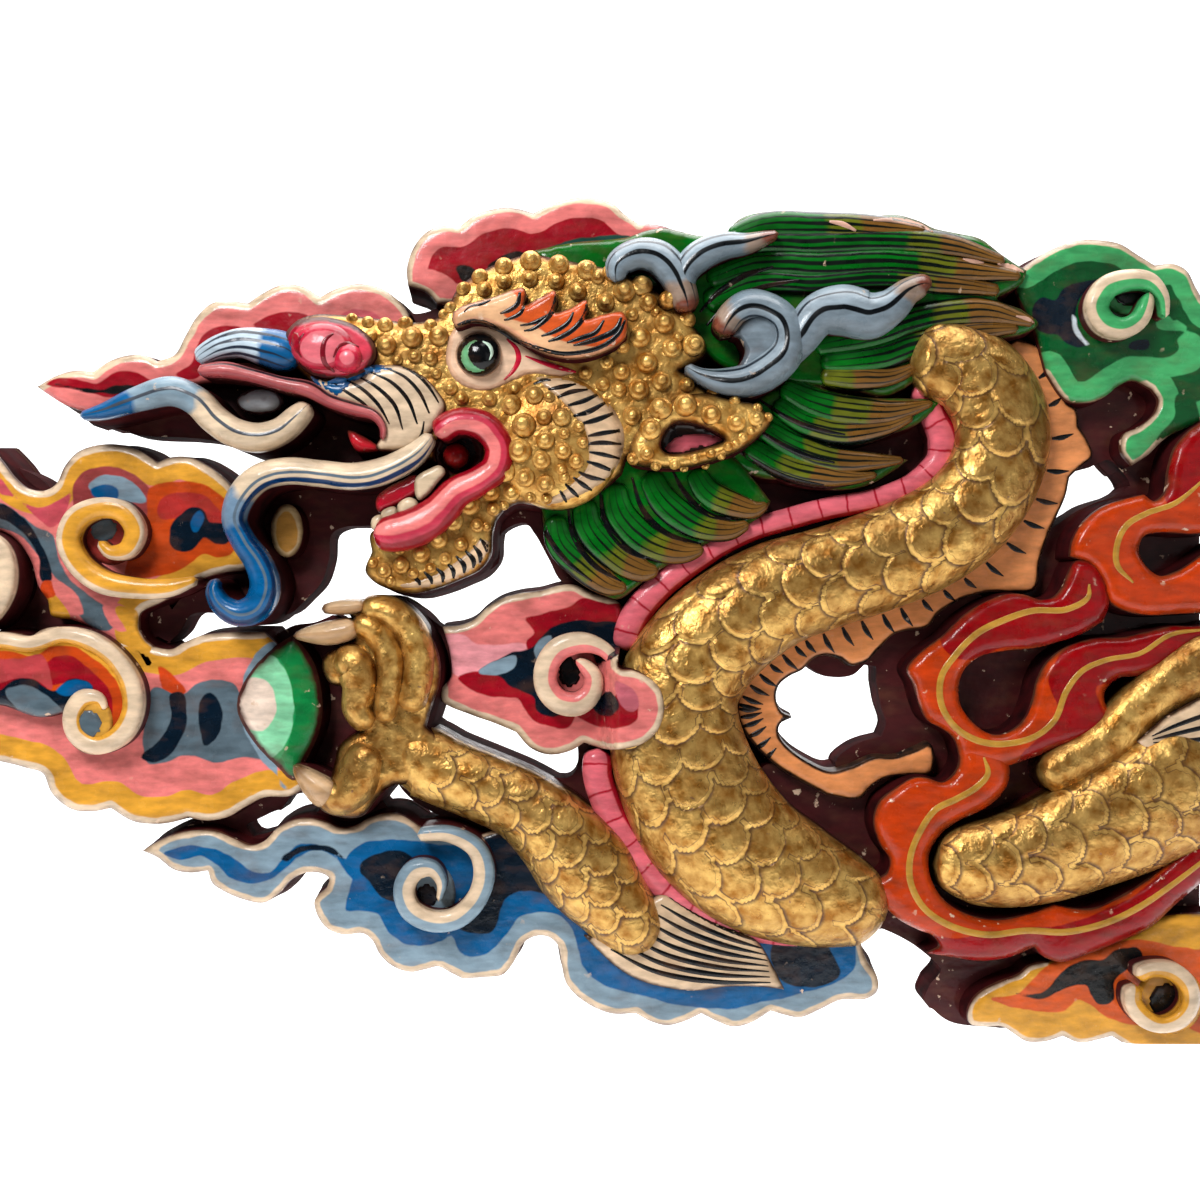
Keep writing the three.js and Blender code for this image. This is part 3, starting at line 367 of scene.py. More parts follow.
def tile(stretches, face, foot=FOOT_DEPTH, lean=WALL_LEAN, pitch=GRID_PITCH, roll=ROLL_RADIUS,
         drop=ROLL_DROP, swell=None, fields=None, hidden=(), holes=()):
    """A step of carving: a face with a rolled rim, on walls that lean out towards the back.

    Painted bands start at the rim, but not along the hidden stretches, which other carving covers.
    """
    ring = trace(stretches, pitch)
    hole_rings = [trace([hole], pitch)[::-1] for hole in holes]
    seen, faces = cover(ring, True, pitch, hole_rings)
    rim = np.min([gap_to(seen, edge) for edge in (ring, *hole_rings)], axis=0)
    band = rim
    if hidden:
        band = np.full(len(seen), 1e9)
        for index, stretch in enumerate(stretches):
            if index not in hidden:
                joined = list(stretch) + [stretches[(index + 1) % len(stretches)][0]]
                band = np.minimum(band, gap_to(seen, spline(joined, False, pitch), closed=False))
    curl = 1 - np.clip(rim / roll, 0, 1)
    height = face - drop * (1 - np.sqrt(1 - curl ** 2))
    sunk = face - height
    if swell is not None:
        height = height + swell(seen, rim)
    points = [to_panel(seen, height)]
    rims = [band]
    deeps = [sunk]
    border = open_edges(faces)
    around = sorted({a for a, _ in border})
    place_of = {corner: spot for spot, corner in enumerate(around)}
    ways = np.vstack([outward_normals(edge) for edge in (ring, *hole_rings)])
    edge_points = np.vstack([ring, *hole_rings])
    ways = ways[[int(np.argmin(np.sum((edge_points - seen[corner]) ** 2, axis=1))) for corner in around]]
    top = points[0][around]
    sides = []
    last_ring = around
    first_new = len(seen)
    for share in (0.08, 0.4, 1):
        level = top.copy()
        level[:, 0] += ways[:, 0] * lean * share
        level[:, 2] += ways[:, 1] * lean * share
        level[:, 1] = top[:, 1] * (1 - share) - foot * share
        points.append(level)
        rims.append(band[around])
        deeps.append(level[:, 1] - top[:, 1] + sunk[around] + 2)
        new_ring = list(range(first_new, first_new + len(around)))
        for a, b in border:
            pair = place_of[a], place_of[b]
            sides.append((last_ring[pair[1]], last_ring[pair[0]], new_ring[pair[0]], new_ring[pair[1]]))
        last_ring = new_ring
        first_new += len(around)
    foot_ring = points[-1][:, [0, 2]]
    first_foot = first_new - len(around)
    chain = dict(border)
    left = set(around)
    loops = []
    while left:
        loop = [min(left)]
        while chain[loop[-1]] != loop[0] and len(loop) < len(around):
            loop.append(chain[loop[-1]])
        left -= set(loop)
        loops.append([place_of[corner] for corner in loop])
    back_outlines.append(foot_ring[loops[0]])
    order = [spot for loop in loops for spot in loop]
    top_rings = [seen[around][loop] for loop in loops]
    base_corners, base_faces = cover(top_rings[0], False, pitch, top_rings[1:])
    if len(base_corners) == len(order):
        sides += [tuple(first_foot + order[k] for k in face[::-1]) for face in base_faces]
    layers = {"rim": np.concatenate(rims), "deep": np.concatenate(deeps)}
    layers["groove"] = np.full(len(layers["rim"]), 20.0)
    for name, patch in (fields or {}).items():
        field = depth_inside(seen, patch)
        layers[name] = np.concatenate([field] + [field[around]] * 3)
    return np.vstack(points), [tuple(face) for face in faces] + sides, layers


def linear(colour):
    shares = [channel / 255 for channel in colour]
    return tuple(s / 12.92 if s <= 0.04045 else ((s + 0.055) / 1.055) ** 2.4 for s in shares) + (1,)


def wire(tree, start, end):
    tree.links.new(start, end)


def add_node(tree, kind, **values):
    node = tree.nodes.new(kind)
    for name, value in values.items():
        if name.startswith("in_"):
            node.inputs[name[3:].replace("_", " ")].default_value = value
        else:
            setattr(node, name, value)
    return node


def sum_node(tree, operation, first, second, clamp=False):
    node = add_node(tree, "ShaderNodeMath", operation=operation, use_clamp=clamp)
    for socket, value in zip(node.inputs, (first, second)):
        if isinstance(value, (int, float)):
            socket.default_value = value
        else:
            wire(tree, value, socket)
    return node.outputs[0]


def blend_node(tree, share, under, over, blend="MIX"):
    node = add_node(tree, "ShaderNodeMix", data_type="RGBA", blend_type=blend)
    for socket, value in ((node.inputs[0], share), (node.inputs[6], under), (node.inputs[7], over)):
        if isinstance(value, (int, float, tuple)):
            socket.default_value = value
        else:
            wire(tree, value, socket)
    return node.outputs[2]


def step_node(tree, value, edge, soft):
    """0 below the edge and 1 above it, over a soft width."""
    node = add_node(tree, "ShaderNodeMapRange", in_From_Min=edge - soft, in_From_Max=edge + soft)
    wire(tree, value, node.inputs["Value"])
    return node.outputs["Result"]


def read_field(tree, name):
    return add_node(tree, "ShaderNodeAttribute", attribute_name=name).outputs["Fac"]


def cloud_noise(tree, scale, detail=2, stretch=(1, 1, 1)):
    where = add_node(tree, "ShaderNodeTexCoord").outputs["Object"]
    mapping = add_node(tree, "ShaderNodeMapping", in_Scale=stretch)
    wire(tree, where, mapping.inputs["Vector"])
    noise = add_node(tree, "ShaderNodeTexNoise", in_Scale=scale, in_Detail=detail)
    wire(tree, mapping.outputs["Vector"], noise.inputs["Vector"])
    return noise.outputs["Fac"]


def bands_node(tree, value, bands, reach, soft=0.5):
    """Colours one behind the other: each band is its colour and the distance where it ends."""
    share = sum_node(tree, "DIVIDE", value, reach, True)
    node = add_node(tree, "ShaderNodeValToRGB")
    wire(tree, share, node.inputs["Fac"])
    stops = node.color_ramp.elements
    stops[0].position = 0
    stops[0].color = linear(bands[0][0])
    marks = []
    for (colour, end), (next_colour, _) in zip(bands, bands[1:]):
        marks.append((min(max(end - soft, 0) / reach, 1), linear(colour)))
        marks.append((min((end + soft) / reach, 1), linear(next_colour)))
    stops[1].position = 1
    stops[1].color = linear(bands[-1][0])
    for position, colour in marks:
        stop = stops.new(position)
        stop.color = colour
    return node.outputs["Color"]


def lacquer(name, bands, patches=(), wall=MAROON, wall_start=4, wobble=2.2, reach=RIM_SCALE,
            rough=0.24, field="rim"):
    """Oil paint in bands on wood, with patches over it, dark walls, chips, dirt and varnish, and painted shade mixed
    with dirt along the rim.
    """
    paint = bpy.data.materials.new(name)
    paint.use_nodes = True
    tree = paint.node_tree
    shader = tree.nodes["Principled BSDF"]
    shake = sum_node(tree, "MULTIPLY", sum_node(tree, "SUBTRACT", cloud_noise(tree, 55), 0.5), 2 * wobble)
    band_value = sum_node(tree, "ADD", read_field(tree, field), shake)
    colour = bands_node(tree, band_value, bands, reach)
    for patch_name, patch_colour in patches:
        edge = sum_node(tree, "ADD", read_field(tree, patch_name), shake)
        colour = blend_node(tree, step_node(tree, edge, 0, -0.6), colour, linear(patch_colour))
    deep = sum_node(tree, "ADD", read_field(tree, "deep"), shake)
    if wall is not None:
        colour = blend_node(tree, step_node(tree, deep, wall_start, 1.2), colour, linear(wall))
    grime = step_node(tree, cloud_noise(tree, 48, 6, (1, 1, 2)), 0.6, 0.12)
    colour = blend_node(tree, sum_node(tree, "MULTIPLY", grime, 0.3), colour, linear(GRIME_AND_SHADE_BROWN))
    # Dirt and painted shade together: patchy darker brown along the outermost millimetres of the rim, where it rolls
    # over.
    rim_dirt_and_shade = sum_node(tree, "SUBTRACT", 1, step_node(tree, read_field(tree, "rim"), 1.6, 1.4))
    rim_dirt_and_shade = sum_node(tree, "MULTIPLY", rim_dirt_and_shade, step_node(tree, cloud_noise(tree, 90, 4), 0.46, 0.1))
    colour = blend_node(tree, sum_node(tree, "MULTIPLY", rim_dirt_and_shade, 0.55), colour, linear(GRIME_AND_SHADE_BROWN))
    brushed = cloud_noise(tree, 30, 5, (1, 1, 3))
    streaks = cloud_noise(tree, 190, 6, (0.4, 1, 1.2))
    brushed = sum_node(tree, "ADD", sum_node(tree, "MULTIPLY", brushed, 0.6), sum_node(tree, "MULTIPLY", streaks, 0.4))
    shade = add_node(tree, "ShaderNodeMapRange", in_From_Min=0.36, in_From_Max=0.64, in_To_Min=0.66, in_To_Max=1.14)
    wire(tree, brushed, shade.inputs["Value"])
    colour = blend_node(tree, 1.0, colour, shade.outputs["Result"], "MULTIPLY")
    chips = step_node(tree, cloud_noise(tree, 120, 6), 0.69, 0.02)
    near_rim = step_node(tree, deep, 0.6, 0.5)
    colour = blend_node(tree, sum_node(tree, "MULTIPLY", chips, near_rim), colour, linear((206, 176, 150)))
    wire(tree, colour, shader.inputs["Base Color"])
    sheen = add_node(tree, "ShaderNodeMapRange", in_From_Min=0.3, in_From_Max=0.7)
    sheen.inputs["To Min"].default_value = rough * 0.7
    sheen.inputs["To Max"].default_value = rough * 1.4
    wire(tree, cloud_noise(tree, 70, 3), sheen.inputs["Value"])
    dull = step_node(tree, deep, wall_start, 1.2)
    gloss = sum_node(tree, "ADD", sheen.outputs["Result"], sum_node(tree, "MULTIPLY", dull, 0.3))
    wire(tree, gloss, shader.inputs["Roughness"])
    relief = add_node(tree, "ShaderNodeBump", in_Strength=0.42, in_Distance=0.0012)
    wire(tree, cloud_noise(tree, 120, 5), relief.inputs["Height"])
    wire(tree, relief.outputs["Normal"], shader.inputs["Normal"])
    wire(tree, relief.outputs["Normal"], shader.inputs["Coat Normal"])
    shader.inputs["Specular IOR Level"].default_value = 0.2
    shader.inputs["Coat Weight"].default_value = 0.2
    shader.inputs["Coat Roughness"].default_value = 0.09
    return paint


def raw_finish(name, tone, dark, stretch=(1, 1, 1)):
    """A dull finish of two tones, for sunk walls and for bare sawn wood."""
    finish = bpy.data.materials.new(name)
    finish.use_nodes = True
    tree = finish.node_tree
    shader = tree.nodes["Principled BSDF"]
    share = step_node(tree, cloud_noise(tree, 60, 5, stretch), 0.5, 0.2)
    wire(tree, blend_node(tree, share, linear(tone), linear(dark)), shader.inputs["Base Color"])
    shader.inputs["Roughness"].default_value = 0.9
    shader.inputs["Specular IOR Level"].default_value = 0.05
    return finish


wall_paint = raw_finish("wall_paint", MAROON, (28, 8, 10))
sawn_wood = raw_finish("sawn_wood", (112, 90, 68), (76, 58, 42), (0.12, 1, 2.5))


END_STEP = 0.03
cut_pieces = []


def carve(name, parts, paint, smooth=True):
    """One carved piece from its parts, cut square at the panel's ends and dressed in its paint.

    Each piece is cut a hair shorter than the one before, so that no two sawn ends share a plane.
    """
    points = np.vstack([part[0] for part in parts]) * MM
    faces = []
    first = 0
    for part in parts:
        faces += [tuple(int(corner) + first for corner in face) for face in part[1]]
        first += len(part[0])
    mesh = bpy.data.meshes.new(name)
    mesh.from_pydata(points.tolist(), [], faces)
    for layer in sorted({key for part in parts for key in part[2]}):
        shares = [part[2].get(layer, np.full(len(part[0]), 99.0)) for part in parts]
        mesh.attributes.new(layer, "FLOAT", "POINT").data.foreach_set("value", np.concatenate(shares))
    inset = END_STEP * len(cut_pieces)
    low_x, high_x, low_z = (value * MM for value in (-470 + inset, 470 - inset, -340 + inset))
    if points[:, 0].min() < low_x or points[:, 0].max() > high_x or points[:, 2].min() < low_z:
        cut_pieces.append(name)
        shape = bmesh.new()
        shape.from_mesh(mesh)
        for spot, way in (((low_x, 0, 0), (-1, 0, 0)), ((high_x, 0, 0), (1, 0, 0)), ((0, 0, low_z), (0, 0, -1))):
            everything = list(shape.verts) + list(shape.edges) + list(shape.faces)
            made = bmesh.ops.bisect_plane(shape, geom=everything, dist=1e-6, plane_co=spot, plane_no=way,
                                          clear_outer=True)
            rim_edges = [item for item in made["geom_cut"] if isinstance(item, bmesh.types.BMEdge)]
            rim_edges = [edge for edge in rim_edges if edge.is_boundary]
            if rim_edges:
                bmesh.ops.triangle_fill(shape, use_beauty=True, edges=rim_edges, normal=way)
        shape.to_mesh(mesh)
        shape.free()
    mesh.polygons.foreach_set("use_smooth", [smooth] * len(mesh.polygons))
    mesh.materials.append(paint)
    mesh.materials.append(wall_paint)
    mesh.materials.append(sawn_wood)
    depths = mesh.attributes["deep"].data
    for face in mesh.polygons:
        low = min(depths[corner].value for corner in face.vertices)
        face.material_index = int(low > 7 and abs(face.normal.y) < 0.35)
        middle = face.center
        at_end = min(abs(middle.x - low_x), abs(middle.x - high_x)) < 1e-5 and abs(face.normal.x) > 0.9
        if at_end or (abs(middle.z - low_z) < 1e-5 and face.normal.z < -0.9):
            face.material_index = 2
    piece = bpy.data.objects.new(name, mesh)
    bpy.context.collection.objects.link(piece)
    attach(piece, "root")
    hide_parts("dragon_relief")


def surface_of(*names):
    points = []
    faces = []
    for name in names:
        mesh = bpy.data.meshes[name]
        first = len(points)
        points += [corner.co[:] for corner in mesh.vertices]
        faces += [tuple(first + corner for corner in face.vertices) for face in mesh.polygons]
    return BVHTree.FromPolygons(points, faces)


def touch(surface, seen, proud):
    """Points where lines of sight meet the carving, standing `proud` of it towards the eye."""
    met = []
    reach = None
    waiting = []
    for (x, z), rise in zip(seen, proud):
        way = Vector((x, EYE_DISTANCE - FACE_PLANE, z)).normalized()
        spot = surface.ray_cast(eye.location, way)[0]
        if spot is not None:
            reach = (spot - eye.location).length / MM
            for index, old_way, old_rise in waiting:
                met[index] = eye.location / MM + old_way * (reach - old_rise)
            waiting = []
        if reach is None:
            waiting.append((len(met), way, rise))
            met.append(None)
        else:
            met.append(eye.location / MM + way * (reach - rise))
    return np.array([point[:] if point is not None else (0, 0, 0) for point in met], float)


def plain_layers(count):
    return {"rim": np.full(count, 40.0), "deep": np.zeros(count), "groove": np.full(count, 20.0)}


def stroke(surface, stations, body=0.5, pitch=1.8):
    """A brush stroke of thick paint: a thin rib laid on the carving, pointed at its ends."""
    line = spline(stations, False, pitch)
    if len(line) < 3:
        line = spline(stations, False, pitch / 3)
    middle, half = line[:, :2], line[:, 2]
    ways = np.gradient(middle, axis=0)
    ways /= np.maximum(np.linalg.norm(ways, axis=1), 1e-6)[:, None]
    across = np.column_stack([-ways[:, 1], ways[:, 0]])
    sides = [middle + across * (half * side)[:, None] for side in (-1, -0.55, 0.55, 1)]
    proud = (-0.3, body, body, -0.3)
    rows = [touch(surface, side, np.full(len(side), rise)) for side, rise in zip(sides, proud)]
    rows.append(rows[3] + np.array([0, 1.2, 0]))
    rows.append(rows[0] + np.array([0, 1.2, 0]))
    points = np.stack(rows, axis=1)
    count, ring_size = points.shape[:2]
    faces = []
    for k in range(count - 1):
        for side in range(ring_size):
            a, b = k * ring_size + side, k * ring_size + (side + 1) % ring_size
            faces.append((b, a, a + ring_size, b + ring_size))
    faces.append(tuple(range(ring_size)))
    faces.append(tuple(reversed(range((count - 1) * ring_size, count * ring_size))))
    return points.reshape(-1, 3), faces, plain_layers(count * ring_size)


def daub(surface, stretches, body=0.5, pitch=2.5):
    """A patch of thick paint laid on the carving, feathered at its edge."""
    ring = trace(stretches, pitch)
    seen, faces = cover(ring, True, pitch)
    rim = gap_to(seen, ring)
    proud = -0.4 + (0.4 + body) * np.clip(rim / 1.5, 0, 1)
    top = touch(surface, seen, proud)
    under = top + np.array([0, 1.5, 0])
    count = len(seen)
    solid = [tuple(face) for face in faces] + [tuple(face[::-1] + count) for face in faces]
    solid += [(b, a, a + count, b + count) for a, b in open_edges(faces)]
    layers = plain_layers(2 * count)
    layers["rim"] = np.concatenate([rim, rim])
    return np.vstack([top, under]), solid, layers


def paint_cloud(name, stretches, top, foot, bands, patches=(), hidden=(), pitch=GRID_PITCH, swell=None):
    """A cloud with bands of paint along its rim, and patches of other colours over them."""
    fields = {f"patch_{index}": [patch] for index, (_, patch) in enumerate(patches)}
    colours = [(f"patch_{index}", colour) for index, (colour, _) in enumerate(patches)]
    carve(name, [tile(stretches, top, foot=foot, fields=fields, hidden=hidden, pitch=pitch, swell=swell)],
          lacquer(name, bands, colours))


paint_cloud("snout_cloud", SNOUT_CLOUD, CLOUD_TOP, 2.0, [(CREAM, 5), (PINK, 60)], [
    (CRIMSON, [[-416, 162], [-405, 167], [-393, 166], [-378, 162], [-365, 170], [-353, 172], [-338, 166],
               [-335, 160], [-349, 158], [-362, 153], [-371, 152], [-384, 157], [-402, 159]]),
    (CRIMSON, [[-318, 169], [-306, 178], [-303, 190], [-293, 202], [-282, 206], [-269, 204], [-280, 196],
               [-290, 188], [-295, 175], [-304, 166]]),
    (CRIMSON, [[-260, 206], [-253, 211], [-240, 216], [-227, 216], [-216, 211], [-216, 203], [-249, 202]]),
    ((206, 90, 100), [[-195, 213], [-186, 218], [-171, 216], [-162, 209], [-158, 202], [-195, 202]]),
    (LAMP_BLACK, [[-409, 162], [-396, 160.5], [-384, 158], [-373, 158], [-364, 161], [-347, 160], [-351, 157],
                  [-365, 154], [-373, 155], [-385, 156], [-398, 158.5]]),
], hidden=(5,), pitch=2)
paint_cloud("crown_cloud", CROWN_CLOUD, CLOUD_TOP, 2.2, [(CREAM, 4), (PINK, 15), (CRIMSON, 60)], [
    (PINK, [[-131, 247], [-122, 247], [-112, 242], [-106, 232], [-112, 226], [-124, 232]]),
    (LAMP_BLACK, [[-109, 250], [-103, 251], [-95, 249], [-90, 240], [-100, 236], [-106, 243]]),
    (LAMP_BLACK, [[-85, 249], [-76, 257], [-62, 262], [-50, 258], [-40, 262], [-20, 266], [0, 270], [24, 272],
                  [20, 258], [-20, 250], [-60, 246]]),
    ((30, 70, 60), [[-45, 262], [-28, 268], [0, 273], [24, 273], [20, 266], [-20, 262]]),
], hidden=(4,), pitch=2.5)
paint_cloud("wing_cloud", WING_CLOUD, CLOUD_TOP, 2.4, [(CREAM, 5), (YELLOW, 18), (PINK, 60)], [
    ((196, 76, 88), [[-450, 81], [-438, 76], [-423, 62], [-411, 54], [-401, 66], [-396, 81], [-409, 73],
                     [-423, 70], [-438, 77], [-450, 91]]),
    (GREY_DEEP, [[-478, 76], [-450, 73], [-438, 67], [-425, 56], [-410, 49], [-406, 32], [-399, 17],
                 [-382, 3], [-368, -7], [-357, -7], [-368, -23], [-382, -20], [-390, -12], [-399, 7],
                 [-411, 20], [-423, 36], [-438, 50], [-478, 60]]),
    (NAVY, [[-450, 72], [-440, 68], [-427, 55], [-417, 38], [-411, 20], [-412, 14], [-419, 14], [-421, 32],
            [-429, 46], [-442, 58], [-452, 62]]),
    ((150, 62, 62), [[-396, 81], [-391, 93], [-379, 99], [-366, 100], [-351, 95], [-338, 84], [-329, 70],
                     [-345, 60], [-390, 60]]),
    (GREY_BLUE, [[-384, 85], [-376, 93], [-360, 93], [-346, 84], [-340, 74], [-368, 76]]),
    (STRONG_BLUE, [[-382, 83], [-372, 87], [-362, 84], [-362, 76], [-379, 77]]),
    (ORANGE, [[-338, 84], [-318, 89], [-302, 88], [-283, 78], [-275, 67], [-275, 36], [-285, 32], [-298, 34],
              [-308, 26], [-327, 19], [-343, 16], [-356, 18], [-350, 40], [-340, 60]]),
    ((168, 44, 40), [[-330, 74], [-314, 81], [-298, 79], [-285, 67], [-276, 58], [-292, 52], [-307, 60],
                     [-330, 62]]),
    (NAVY, [[-321, 58], [-315, 65], [-306, 70], [-297, 67], [-292, 59], [-283, 58], [-276, 50], [-279, 43],
            [-289, 43], [-297, 47], [-305, 38], [-313, 36], [-322, 42]]),
    (STRONG_BLUE, [[-305, 64], [-300, 67], [-296, 62], [-298, 56], [-304, 51], [-307, 57]]),
    (YELLOW, [[-419, 2], [-412, 4], [-403, -2], [-398, -14], [-413, -13]]),
    ((200, 66, 24), [[-418, 14], [-411, 14], [-409, 4], [-413, 2], [-419, 2]]),
    (PINK, [[-411, 15], [-402, 12], [-391, 1], [-388, -11], [-400, -6], [-407, 4]]),
    (PINK, [[-372, -4], [-355, -6], [-352, -22], [-364, -22]]),
    (YELLOW, [[-362, -6], [-348, -8], [-346, -24], [-334, -38], [-325, -52], [-336, -58], [-348, -36]]),
], hidden=(4, 5), pitch=2.5)
paint_cloud("pearl_cloud", PEARL_CLOUD, CLOUD_TOP, 2.6, [(CREAM, 5), (YELLOW, 20), (PINK, 60)], [
    ((200, 66, 24), [[-331, -50], [-318, -58], [-310, -69], [-316, -73], [-325, -72]]),
    (GREY_DEEP, [[-335, -66], [-315, -71], [-302, -63], [-288, -60], [-275, -62], [-268, -75], [-266, -91],
                 [-258, -106], [-250, -118], [-269, -118], [-290, -122], [-306, -116], [-327, -122],
                 [-340, -122]]),
    (NAVY, [[-322, -70], [-312, -70], [-310, -84], [-312, -100], [-320, -114], [-335, -122], [-345, -118],
            [-330, -104], [-322, -88]]),
    (NAVY, [[-300, -76], [-292, -70], [-284, -80], [-286, -100], [-296, -110], [-300, -95]]),
    (GREY_BLUE, [[-269, -66], [-262, -46], [-250, -33], [-240, -33], [-240, -140], [-234, -142], [-255, -118],
                 [-267, -97]]),
], hidden=(1, 5), pitch=2.5)
paint_cloud("curl_cloud", CURL_CLOUD, CURL_TOP, 2.8, [(CREAM, 5), (YELLOW, 14), (ORANGE, 22), (CRIMSON, 60)], [
    ((176, 62, 66), [[-478, -46], [-434, -44], [-419, -41], [-411, -67], [-425, -59], [-438, -59], [-478, -66]]),
    (NAVY, [[-478, -68], [-450, -68], [-440, -60], [-425, -60], [-411, -68], [-397, -59], [-382, -63],
            [-382, -72], [-397, -83], [-402, -94], [-478, -90]]),
    (STRONG_BLUE, [[-409, -68], [-397, -60], [-384, -62], [-381, -66], [-390, -68], [-401, -73]]),
    (GREY_DEEP, [[-446, -68], [-432, -64], [-412, -74], [-402, -84], [-402, -94], [-420, -90], [-436, -84]]),
], hidden=(2,), pitch=2.5)
paint_cloud("blue_cloud", BLUE_CLOUD, CLOUD_TOP, 3.0, [(CREAM, 4.5), (GREY_BLUE, 60)], [
    (STRONG_BLUE, [[-327, -190], [-308, -185], [-289, -187], [-275, -194], [-261, -203], [-249, -205],
                   [-240, -196], [-226, -184], [-207, -185], [-191, -194], [-179, -196], [-184, -210],
                   [-198, -194], [-214, -188], [-228, -194], [-240, -205], [-252, -211], [-266, -212],
                   [-278, -208], [-287, -199], [-299, -192], [-315, -194]]),
    (STRONG_BLUE, [[-191, -196], [-179, -183], [-158, -180], [-137, -181], [-118, -184], [-60, -180],
                   [-20, -200], [60, -235], [190, -246], [192, -258], [190, -276], [178, -286], [150, -296],
                   [120, -302], [100, -306], [60, -304], [30, -296], [5, -290], [-13, -276], [-17, -257],
                   [-26, -240], [-41, -234], [-60, -238], [-71, -252], [-83, -264], [-97, -268], [-106, -263],
                   [-111, -252], [-120, -256], [-132, -259], [-146, -258], [-158, -250], [-165, -236],
                   [-177, -233], [-191, -233], [-188, -217], [-186, -208]]),
    (NAVY, [[-179, -197], [-165, -190], [-151, -188], [-140, -195], [-140, -226], [-156, -226], [-165, -222],
            [-174, -210], [-180, -205]]),
    (NAVY, [[-90, -180], [-71, -176], [-57, -180], [-30, -196], [-10, -222], [-24, -224], [-38, -221],
            [-55, -218], [-69, -223], [-74, -231], [-81, -248], [-95, -250], [-108, -245], [-100, -225],
            [-90, -212]]),
    (NAVY, [[-240, -194], [-224, -185], [-202, -185], [-191, -195], [-207, -189], [-224, -189], [-235, -196]]),
    (NAVY, [[136, -244], [162, -244], [172, -262], [180, -280], [164, -290], [140, -288], [128, -270]]),
], pitch=2.5)


def lobe_rise(seen, rim):
    """The rose cloud's right lobe, which climbs in front of the body."""
    share = np.clip((seen[:, 0] - LOBE_START) / (LOBE_FULL - LOBE_START), 0, 1)
    low = np.clip((seen[:, 1] - LOBE_CEILING) / -8, 0, 1)
    return (LOBE_TOP - CLOUD_TOP) * share ** 2 * (3 - 2 * share) * low


paint_cloud("rose_cloud", ROSE_CLOUD, CLOUD_TOP, 3.2, [(CREAM, 5), (PINK, 60)], [
    ((232, 150, 156), [[-118, -28], [-103, -26], [-91, -33], [-55, -34], [-60, -44], [-91, -53], [-95, -56],
                       [-106, -58], [-118, -45]]),
    (CRIMSON, [[-56, -14], [-41, -10], [-24, -5], [-12, 1], [6, -3], [20, -3], [18, -20], [-14, -30],
               [-49, -44], [-55, -32], [-49, -24]]),
    (CRIMSON, [[-107, -58], [-95, -54], [-81, -55], [-55, -60], [-20, -80], [-20, -91], [-25, -96],
               [-36, -95], [-49, -91], [-57, -80], [-61, -74], [-71, -73], [-84, -72], [-95, -68],
               [-103, -64]]),
    (CRIMSON, [[-18, -85], [-4, -76], [10, -72], [20, -66], [28, -78], [28, -89], [19, -95], [6, -96],
               [-6, -94]]),
    ((196, 100, 112), [[10, -60], [20, -64], [28, -72], [29, -81], [22, -84], [15, -78], [12, -70]]),
    (NAVY, [[-91, -54], [-79, -46], [-65, -39], [-52, -36], [-41, -25], [-31, -18], [-17, -15], [-1, -16],
            [14, -18], [14, -40], [-20, -56], [-30, -86], [-41, -87], [-48, -82], [-49, -73], [-60, -68],
            [-68, -64], [-76, -57]]),
    (NAVY, [[-6, -79], [2, -71], [8, -69], [14, -76], [14, -81], [7, -87], [-2, -85]]),
    (GREY_BLUE, [[-91, -54], [-79, -46], [-63, -42], [-64, -50], [-76, -56]]),
    (GREY_BLUE, [[-50, -38], [-44, -29], [-36, -27], [-40, -38], [-46, -46]]),
], hidden=(4,), pitch=2.2, swell=lobe_rise)
paint_cloud("leaf_cloud", LEAF_CLOUD, CLOUD_TOP, 3.4, [(CREAM, 3.5), (LEAF_GREEN, 16), (DEEP_GREEN, 60)], [
    (LEAF_GREEN, [[352, 166], [357, 162], [372, 169], [385, 177], [396, 183], [412, 182], [427, 182],
                  [434, 188], [433, 195], [440, 204], [420, 214], [418, 205], [450, 198], [450, 175],
                  [400, 163], [370, 149], [352, 149]]),
    (NAVY, [[324, 215], [326, 223], [332, 227], [341, 225], [347, 234], [357, 238], [370, 240], [380, 241],
            [372, 235], [362, 229], [357, 220], [357, 210], [362, 199], [367, 192], [360, 189], [350, 193],
            [344, 199], [335, 199], [327, 203]]),
    (DEEP_GREEN, [[422, 235], [432, 228], [436, 222], [436, 212], [429, 210], [426, 223]]),
    (DEEP_GREEN, [[432, 153], [441, 158], [447, 149], [448, 132], [439, 128], [427, 123], [417, 120],
                  [431, 138]]),
    (NAVY, [[396, 189], [398, 193], [404, 195], [411, 195], [412, 190], [407, 187], [401, 187]]),
    # A painted highlight: a pale streak for the shine on the varnish.
    (HIGHLIGHT_WHITE, [[354, 214], [357, 212], [359, 204], [363, 197], [368, 192], [365, 190], [360, 195],
                   [355, 203]]),
], hidden=(5,), pitch=2.5)
paint_cloud("corner_cloud", CORNER_CLOUD, CLOUD_TOP, 3.6, [(CREAM, 3), (YELLOW, 60)], [
    ((206, 84, 30), [[293, -299], [312, -296], [325, -284], [337, -273], [364, -262], [391, -255],
                     [413, -256], [445, -262], [478, -262], [478, -330], [432, -319], [402, -319],
                     [383, -314], [359, -300], [348, -308], [326, -308], [304, -304]]),
    (LAMP_BLACK, [[312, -295], [331, -295], [348, -278], [364, -270], [378, -270], [386, -262], [402, -261],
                  [407, -267], [394, -278], [386, -286], [385, -300], [375, -303], [368, -297],
                  [364, -289], [348, -292], [331, -299]]),
], hidden=(4,), pitch=2.5)

# The volutes. Rolled ends of the clouds, left standing when the wood round them was sunk, each
# rounded to a rope that winds inward, cream on its back with a coloured line on its inner side.
VOLUTE_CREST = 73
VOLUTE_EDGE = 66
ROPE_PITCH = 2.5

